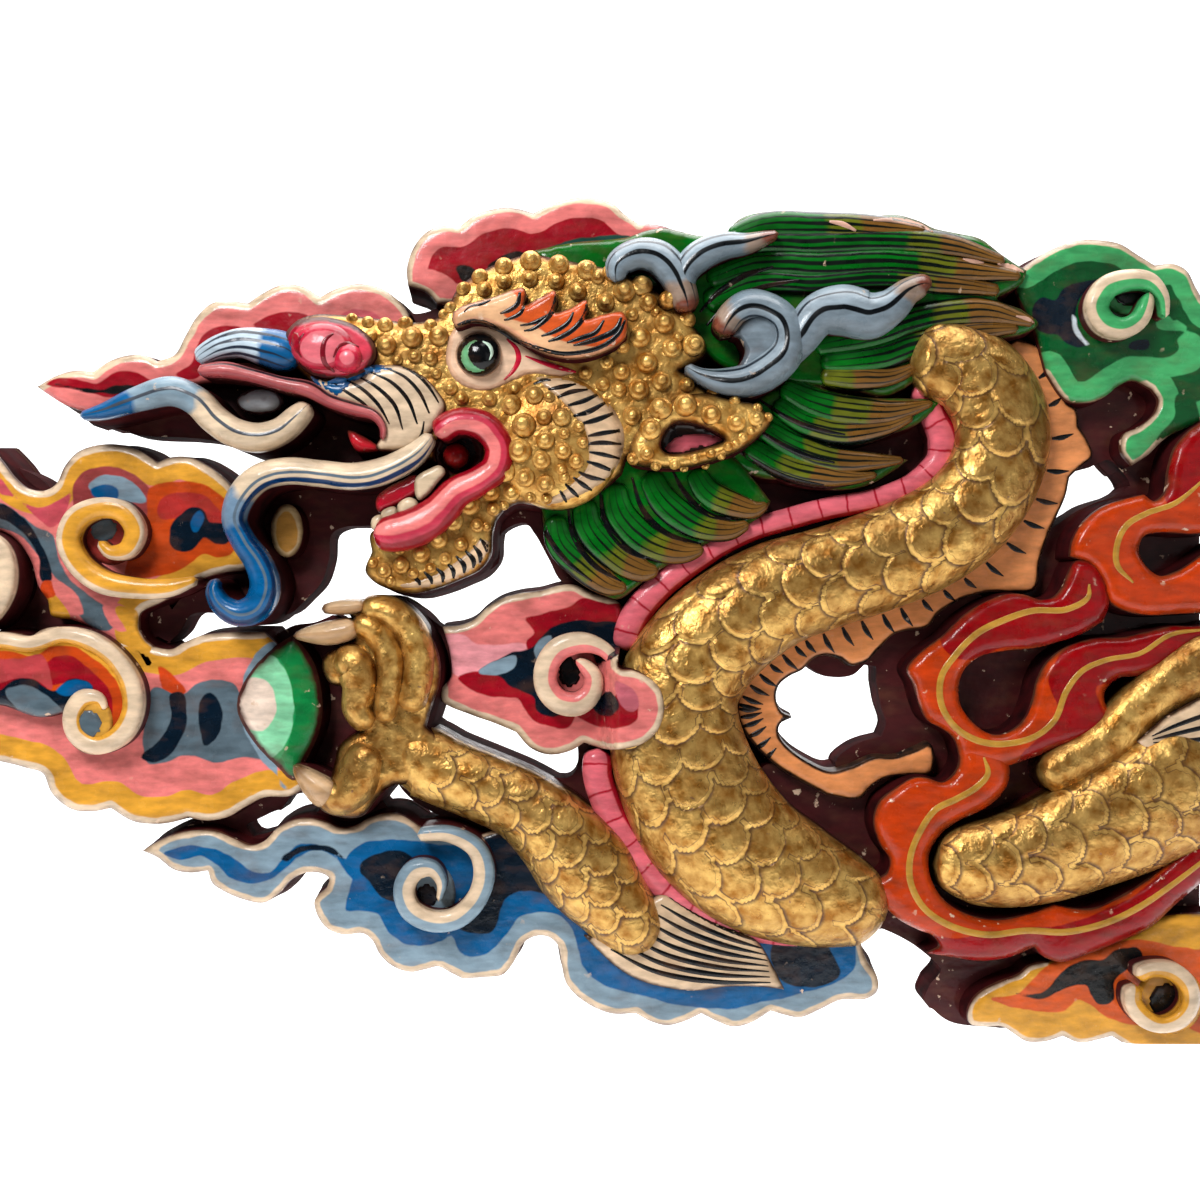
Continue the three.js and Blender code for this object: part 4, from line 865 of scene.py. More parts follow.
WING_VOLUTE = [
  [-303, 15, 3], [-325, 9, 7], [-350, 9, 8], [-374, 14, 9], [-391, 27, 9], [-399, 45, 9], [-393, 61, 9],
  [-376, 69, 8], [-358, 66, 8], [-349, 52, 8], [-355, 38, 7], [-368, 36, 5], [-376, 44, 3],
]
CURL_VOLUTE = [
  [-475, -33, 6], [-450, -30, 6], [-428, -33, 6], [-403, -26, 6], [-382, -31, 7], [-364, -44, 7],
  [-352, -64, 8], [-351, -84, 8], [-360, -101, 8], [-378, -109, 7], [-393, -101, 7], [-396, -86, 7],
  [-388, -74, 7], [-376, -74, 5], [-371, -83, 3],
]
EDGE_VOLUTE = [[-478, -13, 14], [-464, -7, 14], [-452, 12, 13], [-455, 34, 13], [-475, 46, 12]]
BLUE_VOLUTE = [
  [-137, -176, 5], [-113, -176, 6], [-93, -187, 7], [-87, -205, 8], [-93, -225, 8], [-108, -239, 8],
  [-127, -241, 8], [-143, -232, 8], [-147, -216, 8], [-139, -203, 8], [-126, -202, 6], [-119, -212, 4],
  [-121, -226, 2],
]
ROSE_VOLUTE = [
  [12, -46, 5], [1, -36, 6], [-14, -32, 8], [-31, -37, 9], [-40, -50, 9], [-40, -65, 9], [-31, -76, 9],
  [-17, -78, 9], [-7, -70, 8], [-5, -58, 7], [-12, -49, 5], [-18, -45, 2],
]
LEAF_VOLUTE = [
  [424, 212, 3], [422, 228, 5], [412, 239, 7], [395, 240, 8], [380, 234, 9], [373, 220, 9], [379, 208, 9],
  [392, 204, 8], [405, 211, 7], [411, 225, 5], [412, 231, 2],
]
CORNER_VOLUTE = [
  [402, -282, 7], [415, -277, 6], [430, -279, 7], [441, -289, 7], [443, -303, 7], [436, -314, 7],
  [422, -319, 6], [409, -314, 7], [400, -302, 7], [401, -289, 7],
]


def rope(stations, crest, edge, foot=6, lean=0, sides=12, pitch=ROPE_PITCH, blunt=0.8, lift=None,
         power=0.5):
    """A rounded rope of carving along stations of x, z and half width, on straight walls."""
    line = spline(stations, False, pitch)
    middle, half = line[:, :2], line[:, 2].copy()
    travel = np.concatenate([[0], np.cumsum(np.linalg.norm(np.diff(middle, axis=0), axis=1))])
    ways = np.gradient(middle, axis=0)
    ways /= np.linalg.norm(ways, axis=1)[:, None]
    across = np.column_stack([-ways[:, 1], ways[:, 0]])
    widest = half.max()
    rise = (crest - edge) * np.minimum(1, np.sqrt(half / widest))
    start_round, end_round = (max(half[0], 1) * blunt, max(half[-1], 1) * blunt)
    shrink = np.ones(len(half))
    for distance, round_off in ((travel, start_round), (travel[-1] - travel, end_round)):
        near = distance < round_off
        shrink[near] *= np.sqrt(np.maximum(1 - (1 - distance[near] / round_off) ** 2, 0.02))
    half = half * shrink
    turns = np.linspace(0, math.pi, sides + 1)
    v = np.concatenate([[1, 1, 1], np.cos(turns), [-1, -1, -1]])
    drop = np.concatenate([[1, 0.5, 0.1], np.zeros(sides + 1), [0.1, 0.5, 1]])
    spread = np.concatenate([[1, 0.5, 0.1], np.zeros(sides + 1), [0.1, 0.5, 1]]) * lean
    dome_share = np.concatenate([[0, 0, 0], np.sin(turns) ** (2 * power), [0, 0, 0]])
    offsets = half[:, None] * v + np.sign(v) * spread
    seen = middle[:, None, :] + across[:, None, :] * offsets[:, :, None]
    height = (edge + rise[:, None] * shrink[:, None] * dome_share) * (1 - drop) + foot * drop
    groove = np.full_like(height, 20.0)
    if lift is not None:
        raised, groove = lift(travel[:, None] + 0 * v, np.arcsin(np.clip(v, -1, 1)) * half[:, None])
        height = height + raised * dome_share
    scale = (EYE_DISTANCE - np.maximum(height, edge)) / (EYE_DISTANCE - FACE_PLANE)
    points = np.stack([seen[:, :, 0] * scale, -height, seen[:, :, 1] * scale], axis=2)
    ring_size = len(v)
    count = len(middle)
    faces = []
    for k in range(count - 1):
        for side in range(ring_size - 1):
            a = k * ring_size + side
            faces.append((a, a + 1, a + ring_size + 1, a + ring_size))
        a = k * ring_size
        faces.append((a, a + ring_size, a + 2 * ring_size - 1, a + ring_size - 1))
    faces.append(tuple(reversed(range(ring_size))))
    faces.append(tuple(range((count - 1) * ring_size, count * ring_size)))
    layers = {
        "along": np.repeat(travel, ring_size),
        "across": np.tile(v, count),
        "across_mm": (half[:, None] * v).ravel(),
        "rim": (half[:, None] * (1 - np.abs(v))).ravel(),
        "left": np.repeat(travel[-1] - travel, ring_size),
        "half": np.repeat(half, ring_size),
        "groove": groove.ravel(),
        "deep": (np.maximum(edge - height, 0) + 4 * drop).ravel(),
    }
    flat_points = points.reshape(-1, 3)
    foot_left = points[:, 0, [0, 2]]
    foot_right = points[::-1, -1, [0, 2]]
    back_outlines.append(np.vstack([foot_left, foot_right]))
    return flat_points, faces, layers


def stripes_node(tree, bands, wobble=0.12):
    """Bands of colour along a rope, from its left edge at -1 to its right edge at 1."""
    shake = sum_node(tree, "MULTIPLY", sum_node(tree, "SUBTRACT", cloud_noise(tree, 40), 0.5), 2 * wobble)
    side = sum_node(tree, "ADD", read_field(tree, "across"), shake)
    share = sum_node(tree, "ADD", side, 1)
    return bands_node(tree, share, [(colour, end + 1) for colour, end in bands], 2, 0.05)


def roped(name, bands, wall=MAROON, rough=0.3, wobble=0.12, lines=(), fade=30, ticks=None, ends=()):
    """Oil paint along a rope of carving: stripes, new colours towards its ends, then thin lines.

    A line is its place across, half width and colour; ticks are their spacing, half width and colour;
    an end is the field measured from it, the distance where the colour changes and the colour.
    """
    paint = lacquer(name, [(CREAM, 5), (CREAM, 60)], wall=None, rough=rough)
    tree = paint.node_tree
    shade = next(node for node in tree.nodes if node.bl_idname == "ShaderNodeMix"
                 and node.blend_type == "MULTIPLY")
    colour = stripes_node(tree, bands, wobble)
    shake = sum_node(tree, "MULTIPLY", sum_node(tree, "SUBTRACT", cloud_noise(tree, 45, 3), 0.5), 22)
    for field, distance, end_colour in ends:
        away = sum_node(tree, "ADD", read_field(tree, field), shake)
        colour = blend_node(tree, step_node(tree, away, distance, -2.5), colour, linear(end_colour))
    if ticks is not None:
        spacing, width, tick_colour = ticks
        turn = sum_node(tree, "ADD", read_field(tree, "along"), sum_node(tree, "MULTIPLY", shake, 0.3))
        turn = sum_node(tree, "ABSOLUTE", sum_node(tree, "SUBTRACT", sum_node(tree, "FLOORED_MODULO", turn, spacing),
                                                   spacing / 2), 0)
        colour = blend_node(tree, step_node(tree, turn, width, -0.5), colour, linear(tick_colour))
    slip = sum_node(tree, "MULTIPLY", sum_node(tree, "SUBTRACT", cloud_noise(tree, 22), 0.5), 0.5)
    for place, width, line_colour in lines:
        side = sum_node(tree, "ADD", read_field(tree, "across"), slip)
        away = sum_node(tree, "ABSOLUTE", sum_node(tree, "SUBTRACT", side, place), 0)
        away = sum_node(tree, "MULTIPLY", away, read_field(tree, "half"))
        from_end = sum_node(tree, "MINIMUM", read_field(tree, "left"), read_field(tree, "along"))
        taper = sum_node(tree, "MULTIPLY", sum_node(tree, "DIVIDE", from_end, fade, True), width)
        away = sum_node(tree, "SUBTRACT", away, taper)
        colour = blend_node(tree, step_node(tree, away, 0, -0.35), colour, linear(line_colour))
    if wall is not None:
        deep = read_field(tree, "deep")
        colour = blend_node(tree, step_node(tree, deep, 5, 1.5), colour, linear(wall))
    wire(tree, colour, shade.inputs[6])
    return paint


carve("wing_volute", [rope(WING_VOLUTE, VOLUTE_CREST, VOLUTE_EDGE)],
      roped("wing_volute", [(YELLOW, -0.1), (YELLOW, 0.5), (CREAM, 1)]))
carve("curl_volute", [rope(CURL_VOLUTE, VOLUTE_CREST, VOLUTE_EDGE)],
      roped("curl_volute", [(YELLOW, -0.5), (CREAM, 1)]))
carve("edge_volute", [rope(EDGE_VOLUTE, VOLUTE_CREST, VOLUTE_EDGE)],
      roped("edge_volute", [(CREAM, 1), (PINK, 1)]))
carve("blue_volute", [rope(BLUE_VOLUTE, VOLUTE_CREST, VOLUTE_EDGE)],
      roped("blue_volute", [(CREAM, 0.1), (GREY_BLUE, 1)]))
carve("rose_volute", [rope(ROSE_VOLUTE, VOLUTE_CREST, VOLUTE_EDGE)],
      roped("rose_volute", [(CREAM, 0.2), (PINK, 1)]))
carve("leaf_volute", [rope(LEAF_VOLUTE, VOLUTE_CREST, VOLUTE_EDGE)],
      roped("leaf_volute", [(CREAM, -0.1), (LEAF_GREEN, 1)]))
carve("corner_volute", [rope(CORNER_VOLUTE, VOLUTE_CREST, VOLUTE_EDGE)],
      roped("corner_volute", [(YELLOW, -0.2), (CREAM, 1)]))

# The floors of the volutes. The wood inside each rolled end, painted in its own colour with a dark
# or grey spot in the middle.
VOLUTE_FLOORS = {
    # name: the cloud it lies on, then middle, half width, half height and colour of each layer
    "wing_floor": ["wing_cloud", (-366, 50, 22, 24, (150, 50, 46)), (-372, 53, 12, 11, GREY_DEEP)],
    "curl_floor": ["curl_cloud", (-383, -92, 18, 22, (204, 150, 60)), (-383, -93, 11, 12, GREY_DEEP)],
    "blue_floor": ["blue_cloud", (-131, -220, 23, 26, GREY_BLUE), (-130, -222, 10, 11, NAVY)],
    "rose_floor": ["rose_cloud", (-23, -56, 22, 27, PINK), (-23, -54, 10, 13, LAMP_BLACK)],
    "leaf_floor": ["leaf_cloud", (396, 228, 19, 15, LEAF_GREEN), (397, 228, 13, 9, LAMP_BLACK)],
    "corner_floor": ["corner_cloud", (427, -300, 26, 26, YELLOW), (425, -301, 15, 15, LAMP_BLACK)],
}


def oval_ring(x, z, half_width, half_height, count=18):
    turns = [2 * math.pi * k / count for k in range(count)]
    return [[x + half_width * math.cos(t), z + half_height * math.sin(t)] for t in turns]


for floor_name, (under, *layers) in VOLUTE_FLOORS.items():
    for index, (x, z, half_width, half_height, colour) in enumerate(layers):
        name = f"{floor_name}_{index}"
        carve(name, [daub(surface_of(under), [oval_ring(x, z, half_width, half_height)], 3 + index)],
              lacquer(name, [(colour, 30), (colour, 60)], wall=None))

# The flames. Tongues of fire cut round the back leg, the tallest step at the right-hand end,
# orange on their lower left and red on their upper right, with a hand-drawn gold line along them.
FLAME_TOP = 64
FLAME_ORANGE = (186, 56, 8)
FLAME_RED = (140, 2, 8)
GOLD_LINE = (184, 136, 52)

FLAME_UPPER = [
  [[366, 30], [357, 29], [352, 20], [348, 10], [341, 2], [331, 0], [318, 4], [305, 4], [287, -3], [272, -13],
    [258, -27], [243, -38], [231, -52], [236, -64], [240, -78], [246, -90], [258, -97], [266, -104]],
  [[271, -120], [300, -125], [322, -119], [343, -111], [360, -107], [376, -101]],
  [[387, -88], [379, -78], [379, -68], [388, -59], [404, -57], [422, -52], [438, -42], [450, -32], [475, -28]],
  [[475, -15], [448, -20], [430, -20], [412, -24], [395, -28], [370, -29.5], [350, -36], [336, -47],
    [329, -60], [325, -76], [318, -91], [306, -100], [294, -101], [282, -94], [271, -80], [269, -64],
    [274, -51], [286, -42], [304, -38], [325, -36], [345, -31], [362, -25]],
  [[377, -16], [382, -3], [380, 12], [375, 23]],
]
FLAME_LOWER = [
  [[270, -105], [269, -126], [258, -137], [246, -134], [236, -134], [222, -142], [210, -152], [206, -168],
    [211, -184], [218, -195], [216, -205]],
  [[205, -211], [210, -224], [222, -238], [238, -247], [250, -252], [255, -260]],
  [[246, -265], [265, -268], [285, -270.5], [306, -268]],
  [[326, -260], [332, -267], [345, -271.5], [365, -266], [390, -256], [412, -246], [432, -228], [475, -186]],
  [[475, -158], [450, -178], [432, -193], [412, -210], [392, -223], [372, -232], [355, -232]],
  [[341, -229], [322, -236], [298, -240.5], [275, -236], [258, -225], [248, -208], [247, -190], [256, -175],
    [270, -165], [287, -157], [300, -147], [307, -133], [304, -118]],
]
FLAME_RIGHT = [
  [[353, 33], [355, 45], [362, 57], [376, 69], [392, 75]],
  [[408, 79], [416, 74], [424, 80], [427, 98], [433, 116], [447, 130], [475, 142]],
  [[475, 52], [445, 50], [420, 51], [408, 48], [404, 37], [409, 26], [420, 18], [435, 22], [475, 45]],
  [[475, -8], [440, -10], [410, -11], [392, -7], [382, 0], [377, 14], [368, 26]],
]

RED_UPPER = [[352, 26], [364, 33], [378, 19], [386, 0], [375, -18], [359, -30], [337, -34], [318, -35],
             [299, -37], [284, -43], [270, -44], [256, -33], [262, -14], [299, 8], [318, 8], [337, 4]]
RED_MID = [[337, -57], [348, -38], [370, -28], [397, -20], [427, -14], [478, -8], [478, -36], [435, -58],
           [413, -62], [391, -62], [372, -66], [380, -85], [386, -92], [375, -106], [359, -112], [342, -118],
           [326, -124], [312, -124], [331, -101], [346, -85], [340, -71]]
RED_LOWER = [[246, -272], [244, -252], [262, -254], [285, -250], [315, -246], [345, -244], [375, -234],
             [400, -222], [430, -196], [478, -150], [478, -230], [410, -262], [340, -280], [290, -276]]


def paint_flame(name, stretches, foot, reds):
    """A tongue of fire: orange, with its red side blended in wet."""
    bands = [(FLAME_ORANGE, 30), (FLAME_ORANGE, 60)]
    carve(name, [tile(stretches, FLAME_TOP, foot=foot, roll=11, drop=7, 
                     fields={"red_%d" % k: [red] for k, red in enumerate(reds)})],
          lacquer(name, bands, [("red_%d" % k, FLAME_RED) for k in range(len(reds))], wall_start=8, rough=0.28))


paint_flame("flame_upper", FLAME_UPPER, 4.2, [RED_UPPER, RED_MID])
paint_flame("flame_lower", FLAME_LOWER, 4.4, [RED_LOWER])
RED_RIGHT = [[478, 160], [448, 150], [430, 122], [420, 96], [428, 70], [444, 80], [460, 96], [478, 100]]
paint_flame("flame_right", FLAME_RIGHT, 4.6, [RED_RIGHT])
GOLD_LINES = [
    [[367, 12, 1], [366, 2, 2.4], [350, -7, 2.8], [325, -8, 2.8], [303, -15, 3], [283, -25, 3], [266, -42, 3],
     [256, -58, 3], [256, -78, 3], [266, -95, 3], [282, -105, 3], [300, -108, 3], [325, -103, 2.8],
     [341, -90, 2.8], [350, -68, 2.8], [362, -53, 2.6], [380, -45, 2.4], [405, -40, 2.2], [428, -26, 2.2],
     [455, -22, 1]],
    [[288, -118, 1], [291, -130, 2.6], [283, -140, 3], [268, -149, 3], [252, -157, 3], [241, -172, 3],
     [233, -192, 3], [233, -212, 3], [243, -231, 3], [262, -244, 3], [290, -251, 3], [320, -248, 3],
     [350, -249, 3], [380, -242, 3], [405, -230, 3], [430, -213, 2.6], [460, -190, 2]],
    [[455, 92, 1], [432, 73, 2.4], [410, 65, 2.6], [395, 56, 2.8], [388, 42, 2.8], [388, 26, 2.6], [400, 13, 1]],
]
carve("flame_lines", [stroke(surface_of("flame_upper", "flame_lower", "flame_right"), line)
                      for line in GOLD_LINES],
      lacquer("gold_line", [(GOLD_LINE, 30), (GOLD_LINE, 60)], wall=None, rough=0.25))

# The body and legs. One long swell of wood, rounded over and cut with overlapping scales whose
# free edges lie towards the tail, gilded with bronze paint over a brown ground, with a painted highlight along each
# free edge and painted shade in the groove beyond it.
BODY_PITCH = 1.7
SCALE_STEP = 25
SCALE_WIDTH = 37
SCALE_RADIUS = 21
SCALE_RISE = 5.5
GOLD = (156, 102, 30)
PALE_GOLD = (230, 186, 104)
GOLD_SHADE = (66, 34, 8)

BODY = [
  [232, 186, 22], [252, 181, 30], [277, 172, 34], [296, 150, 36], [302, 122, 36], [294, 92, 36],
  [272, 63, 37], [240, 42, 38], [205, 28, 38], [168, 16, 38], [132, 4, 40], [102, -14, 42], [76, -38, 44],
  [60, -64, 46], [56, -92, 49], [62, -124, 52], [80, -162, 54], [110, -194, 52], [148, -214, 46],
  [188, -228, 34], [215, -236, 22],
]
FORELEG = [
  [-158, -122, 26], [-138, -120, 27], [-115, -130, 26], [-88, -141, 26], [-60, -154, 27], [-34, -175, 32],
  [-10, -203, 36], [10, -228, 30],
]
HIND_LEG = [
  [251, -199, 6], [257, -199, 18], [272, -198, 28], [300, -197, 34], [332, -190, 38], [366, -176, 42], [400, -160, 46], [435, -142, 50],
  [475, -128, 52],
]
HIND_CALF = [
  [330, -134, 13], [345, -128, 17], [364, -118, 18], [384, -104, 19], [402, -84, 19], [424, -66, 20],
  [448, -52, 24], [475, -42, 28],
]


def scaled(step, width, radius, rise, start=0, end=1e9):
    """The cut of overlapping scales, and the distance from each point to the next scale's edge, where the gilding
    paints shade beyond each free edge and a highlight just inside it.
    """
    def cut(travel, arc):
        height = np.zeros_like(travel)
        groove = np.full_like(travel, 20.0)
        free = np.ones(travel.shape, bool)
        first_row = np.floor((travel - radius) / step)
        for ahead in range(int(2 * radius / step) + 2):
            row = first_row + ahead
            shift = np.where(row % 2 == 0, 0, 0.5)
            side = (np.round(arc / width - shift) + shift) * width
            chance = np.sin(row * 12.9898 + side * 0.78233) * 43758.5453
            chance = chance - np.floor(chance)
            forward = travel - row * step - (chance - 0.5) * step * 0.22
            away = np.hypot(forward, (arc - side - (chance * 7 % 1 - 0.5) * 3) * (2 * radius / width) * 0.93)
            away = away * (1 + (chance * 13 % 1 - 0.5) * 0.12)
            covers = (away < radius) & free
            slope = np.clip((forward + radius) / (2 * radius), 0, 1)
            rounded = np.sqrt(np.clip(1 - (away / radius) ** 8, 0, 1))
            bold = 0.62 + 0.5 * (chance * 29 % 1)
            height = np.where(covers, rise * bold * (0.15 + 0.85 * slope) * rounded, height)
            # The groove band beyond each free edge, where the gilding paints shade.
            beyond = np.where(free & ~covers & (forward > 0), away - radius, 20)
            groove = np.minimum(groove, np.clip(beyond, 0, 20))
            # The band just inside each free edge, where the gilding paints a highlight.
            lip = covers & (forward > 0) & (radius - away < 4)
            groove = np.where(lip, radius - away - 4, groove)
            free = free & ~covers
        fade = np.clip((travel - start) / 14, 0, 1) * np.clip((end - travel) / 14, 0, 1)
        return height * fade, np.where(fade > 0.5, groove, 20)
    return cut


def gilded(name, shine=0.72, shade_depth=16, tones=(GOLD, PALE_GOLD)):
    """Bronze paint brushed over a brown ground, bright where it is rubbed, with a painted highlight on scale edges and
    bead tips and painted shade in the grooves and down the rolled sides.
    """
    paint = bpy.data.materials.new(name)
    paint.use_nodes = True
    tree = paint.node_tree
    shader = tree.nodes["Principled BSDF"]
    grain = step_node(tree, cloud_noise(tree, 95, 6), 0.5, 0.16)
    colour = blend_node(tree, grain, linear(tones[0]), linear(tones[1]))
    drift = step_node(tree, cloud_noise(tree, 14, 3), 0.52, 0.2)
    colour = blend_node(tree, sum_node(tree, "MULTIPLY", drift, 0.6), colour, linear((106, 62, 18)))
    shake = sum_node(tree, "MULTIPLY", sum_node(tree, "SUBTRACT", cloud_noise(tree, 80), 0.5), 3)
    groove = sum_node(tree, "ADD", read_field(tree, "groove"), shake)
    # A painted highlight in pale gold along the scale edges and the bead tips.
    lip = step_node(tree, groove, -1.6, -1.4)
    colour = blend_node(tree, sum_node(tree, "MULTIPLY", lip, 0.55), colour, linear(PALE_GOLD))
    # Painted shade in dark brown in the grooves beyond the scale edges and round the bead feet.
    near = sum_node(tree, "SUBTRACT", 1, step_node(tree, groove, 2.2, 1.4))
    groove_shade = sum_node(tree, "MULTIPLY", near, step_node(tree, read_field(tree, "groove"), -0.3, 0.3))
    colour = blend_node(tree, sum_node(tree, "MULTIPLY", groove_shade, 0.85), colour, linear(GOLD_SHADE))
    deep = sum_node(tree, "ADD", read_field(tree, "deep"), shake)
    # Painted shade in dark brown where the surface rolls down towards the walls, then the walls' maroon.
    colour = blend_node(tree, step_node(tree, deep, 4, 3), colour, linear(GOLD_SHADE))
    colour = blend_node(tree, step_node(tree, deep, shade_depth, 4), colour, linear(MAROON))
    specks = step_node(tree, cloud_noise(tree, 210, 3), 0.72, 0.02)
    colour = blend_node(tree, sum_node(tree, "MULTIPLY", specks, 0.7), colour, linear((120, 84, 70)))
    wire(tree, colour, shader.inputs["Base Color"])
    metal = sum_node(tree, "SUBTRACT", shine, sum_node(tree, "MULTIPLY", groove_shade, 0.4))
    metal = sum_node(tree, "MULTIPLY", metal, sum_node(tree, "SUBTRACT", 1, step_node(tree, deep, shade_depth, 4)))
    wire(tree, metal, shader.inputs["Metallic"])
    sheen = add_node(tree, "ShaderNodeMapRange", in_From_Min=0.3, in_From_Max=0.7, in_To_Min=0.24, in_To_Max=0.46)
    wire(tree, cloud_noise(tree, 120, 4), sheen.inputs["Value"])
    wire(tree, sheen.outputs["Result"], shader.inputs["Roughness"])
    relief = add_node(tree, "ShaderNodeBump", in_Strength=0.85, in_Distance=0.002)
    wire(tree, cloud_noise(tree, 150, 8), relief.inputs["Height"])
    wire(tree, relief.outputs["Normal"], shader.inputs["Normal"])
    return paint


gold_paint = gilded("gold_paint")
carve("body", [rope(BODY, 86, 54, foot=5.0, lean=2, sides=56, pitch=BODY_PITCH,
                    lift=scaled(SCALE_STEP, SCALE_WIDTH, SCALE_RADIUS, SCALE_RISE))], gold_paint)
ELBOW = [[24, -246, 25], [36, -264, 14]]
carve("foreleg", [rope(FORELEG + ELBOW, 80, 50, foot=5.2, lean=2, sides=36, pitch=BODY_PITCH,
                       lift=scaled(19, 28, 15.5, 2.6, 30))], gold_paint)
carve("hind_leg", [rope(HIND_LEG, 82, 54, foot=5.4, lean=2, sides=50, pitch=BODY_PITCH,
                        lift=scaled(24, 36, 20, 3))], gold_paint)
carve("hind_calf", [rope(HIND_CALF, 76, 54, foot=5.6, sides=24, pitch=BODY_PITCH)], gold_paint)

# The fin, belly and tufts. Thin steps of the plank beside the body: a scalloped back fin with hair
# lines, a ribbed pink belly with a crimson edge, and the white tufts behind the elbow and the knee.
FIN_TOP = 44
FIN_SKIN = (220, 140, 84)
BELLY_PINK = (222, 104, 116)
BELLY_LINE = (168, 14, 38)
TUFT_WHITE = (212, 182, 148)

FIN = [
  [[312, 196], [330, 191], [345, 183], [354, 178]],
  [[350, 168], [348, 155], [350, 148], [357, 143]],
  [[359, 130], [366, 119], [369, 108], [360, 100]],
  [[352, 92], [349, 78], [343, 64], [336, 48], [330, 30], [326, 8]],
  [[308, 6], [290, 6], [272, 1], [254, -10], [246, -20]],
  [[232, -22], [220, -26], [208, -38], [200, -46], [189, -49]],
  [[181, -44], [170, -41], [160, -44], [152, -52], [142, -57], [134, -64], [132, -74], [136, -84]],
  [[144, -88], [135, -93], [134, -101], [142, -112], [158, -123], [173, -129]],
  [[190, -125], [206, -118], [222, -118], [238, -112], [248, -108]],
  [[251, -118], [248, -130], [230, -131], [213, -134], [203, -141], [194, -149]],
  [[170, -146], [130, -122], [104, -90], [108, -58], [135, -22], [180, 0], [230, 12], [275, 38], [306, 76],
    [322, 115], [318, 155], [300, 185]],
]
BELLY = [
  [236, 160, 6], [247, 150, 6], [252, 136, 7], [258, 122, 8], [257, 106, 8], [248, 94, 8], [232, 84, 7],
  [205, 75, 6], [172, 69, 6], [142, 61, 6], [115, 53, 6], [92, 42, 6], [70, 29, 7], [48, 12, 7],
  [32, -4, 8], [22, -22, 8], [20, -38, 8],
]
BELLY_LOWER = [
  [-1, -112, 8], [-2, -130, 8], [3, -148, 8], [12, -168, 8], [27, -190, 8], [46, -212, 8], [68, -228, 8],
  [95, -241, 8], [122, -248, 7], [150, -251.5, 6], [178, -250, 4], [205, -248, 3],
]
ELBOW_TUFT = [
  [[-12, -252], [0, -264], [12, -275], [27, -284], [46, -290], [70, -293], [95, -290], [120, -290]],
  [[138, -292], [130, -276], [121, -260]],
  [[112, -250], [85, -240], [62, -228], [48, -220]],
  [[28, -232], [20, -250]],
]
HIND_TUFT = [
  [[403, -106], [415, -97], [425, -88], [436, -82], [450, -74], [475, -62]],
  [[475, -132], [445, -130], [425, -128], [412, -118]],
]

carve("fin", [tile(FIN, FIN_TOP, foot=4.8, roll=4, drop=2)],
      lacquer("fin_skin", [(LAMP_BLACK, 1.6), (FIN_SKIN, 30), (FIN_SKIN, 60)], wall=LAMP_BLACK, wall_start=3,
              wobble=1))
belly_paint = roped("belly_paint", [(BELLY_PINK, 0.66), (BELLY_LINE, 1)], ticks=(22, 0.8, BELLY_LINE))
BELLY_SPREAD = 1.4
for belly_name, stations, foot in (("belly", BELLY, 4.4), ("belly_lower", BELLY_LOWER, 4.5)):
    wide = [[x, z, half * BELLY_SPREAD] for x, z, half in stations]
    carve(belly_name, [rope(wide, 58, 50, foot=foot)], belly_paint)

tuft_cream = lacquer("tuft_cream", [(TUFT_WHITE, 30), (TUFT_WHITE, 60)], wall=LAMP_BLACK)
carve("elbow_tuft", [tile(ELBOW_TUFT, 60, foot=4.6, roll=8, drop=5)], tuft_cream)
carve("hind_tuft", [tile(HIND_TUFT, 72, foot=4.2, roll=8, drop=5)], tuft_cream)
black_hair = lacquer("black_hair", [((10, 12, 14), 30), ((10, 12, 14), 60)], wall=None, rough=0.25)


def fan(first, last, count):
    """Brush lines spread evenly between a first and a last line of the same number of stations."""
    shares = np.linspace(0, 1, count)
    return [(np.array(first) * (1 - share) + np.array(last) * share).tolist() for share in shares]


ELBOW_HAIR = fan([[8, -262, 0.6], [40, -278, 2.2], [82, -286, 2.4], [128, -287, 0.5]],
                 [[52, -223, 0.6], [74, -236, 2], [98, -248, 2.2], [124, -258, 0.5]], 8)
HIND_HAIR = fan([[475, -80, 1], [455, -86, 2], [430, -95, 1.8], [414, -102, 0.5]],
                [[475, -124, 1], [455, -122, 2], [432, -118, 1.8], [416, -112, 0.5]], 5)
carve("elbow_hair", [stroke(surface_of("elbow_tuft"), line) for line in ELBOW_HAIR], black_hair)
carve("hind_hair", [stroke(surface_of("hind_tuft"), line) for line in HIND_HAIR], black_hair)


def fin_ticks(spacing, reaches):
    """Short curved hair lines across the fin, one at every step along the edge of the body."""
    line = spline(BODY, False, 2)
    travel = np.concatenate([[0], np.cumsum(np.linalg.norm(np.diff(line[:, :2], axis=0), axis=1))])
    ways = np.gradient(line[:, :2], axis=0)
    ways /= np.linalg.norm(ways, axis=1)[:, None]
    outline = trace(FIN, 3)
    chosen = []
    for mark in np.arange(spacing, travel[-1], spacing):
        k = int(np.searchsorted(travel, mark))
        out = np.array([-ways[k, 1], ways[k, 0]])
        for reach in reaches:
            root, middle, tip = (line[k, :2] + out * (line[k, 2] + away) - ways[k] * bend
                                 for away, bend in ((1, 0), (reach * 0.5, 1), (reach, 4)))
            if inside(np.array([middle, tip]), outline).all():
                chosen.append([[*root, 1.2], [*middle, 2.4], [*tip, 0.4]])
                break
    return chosen


carve("fin_hair", [stroke(surface_of("fin"), line, pitch=1.2) for line in fin_ticks(15, (17, 12, 9))], black_hair)

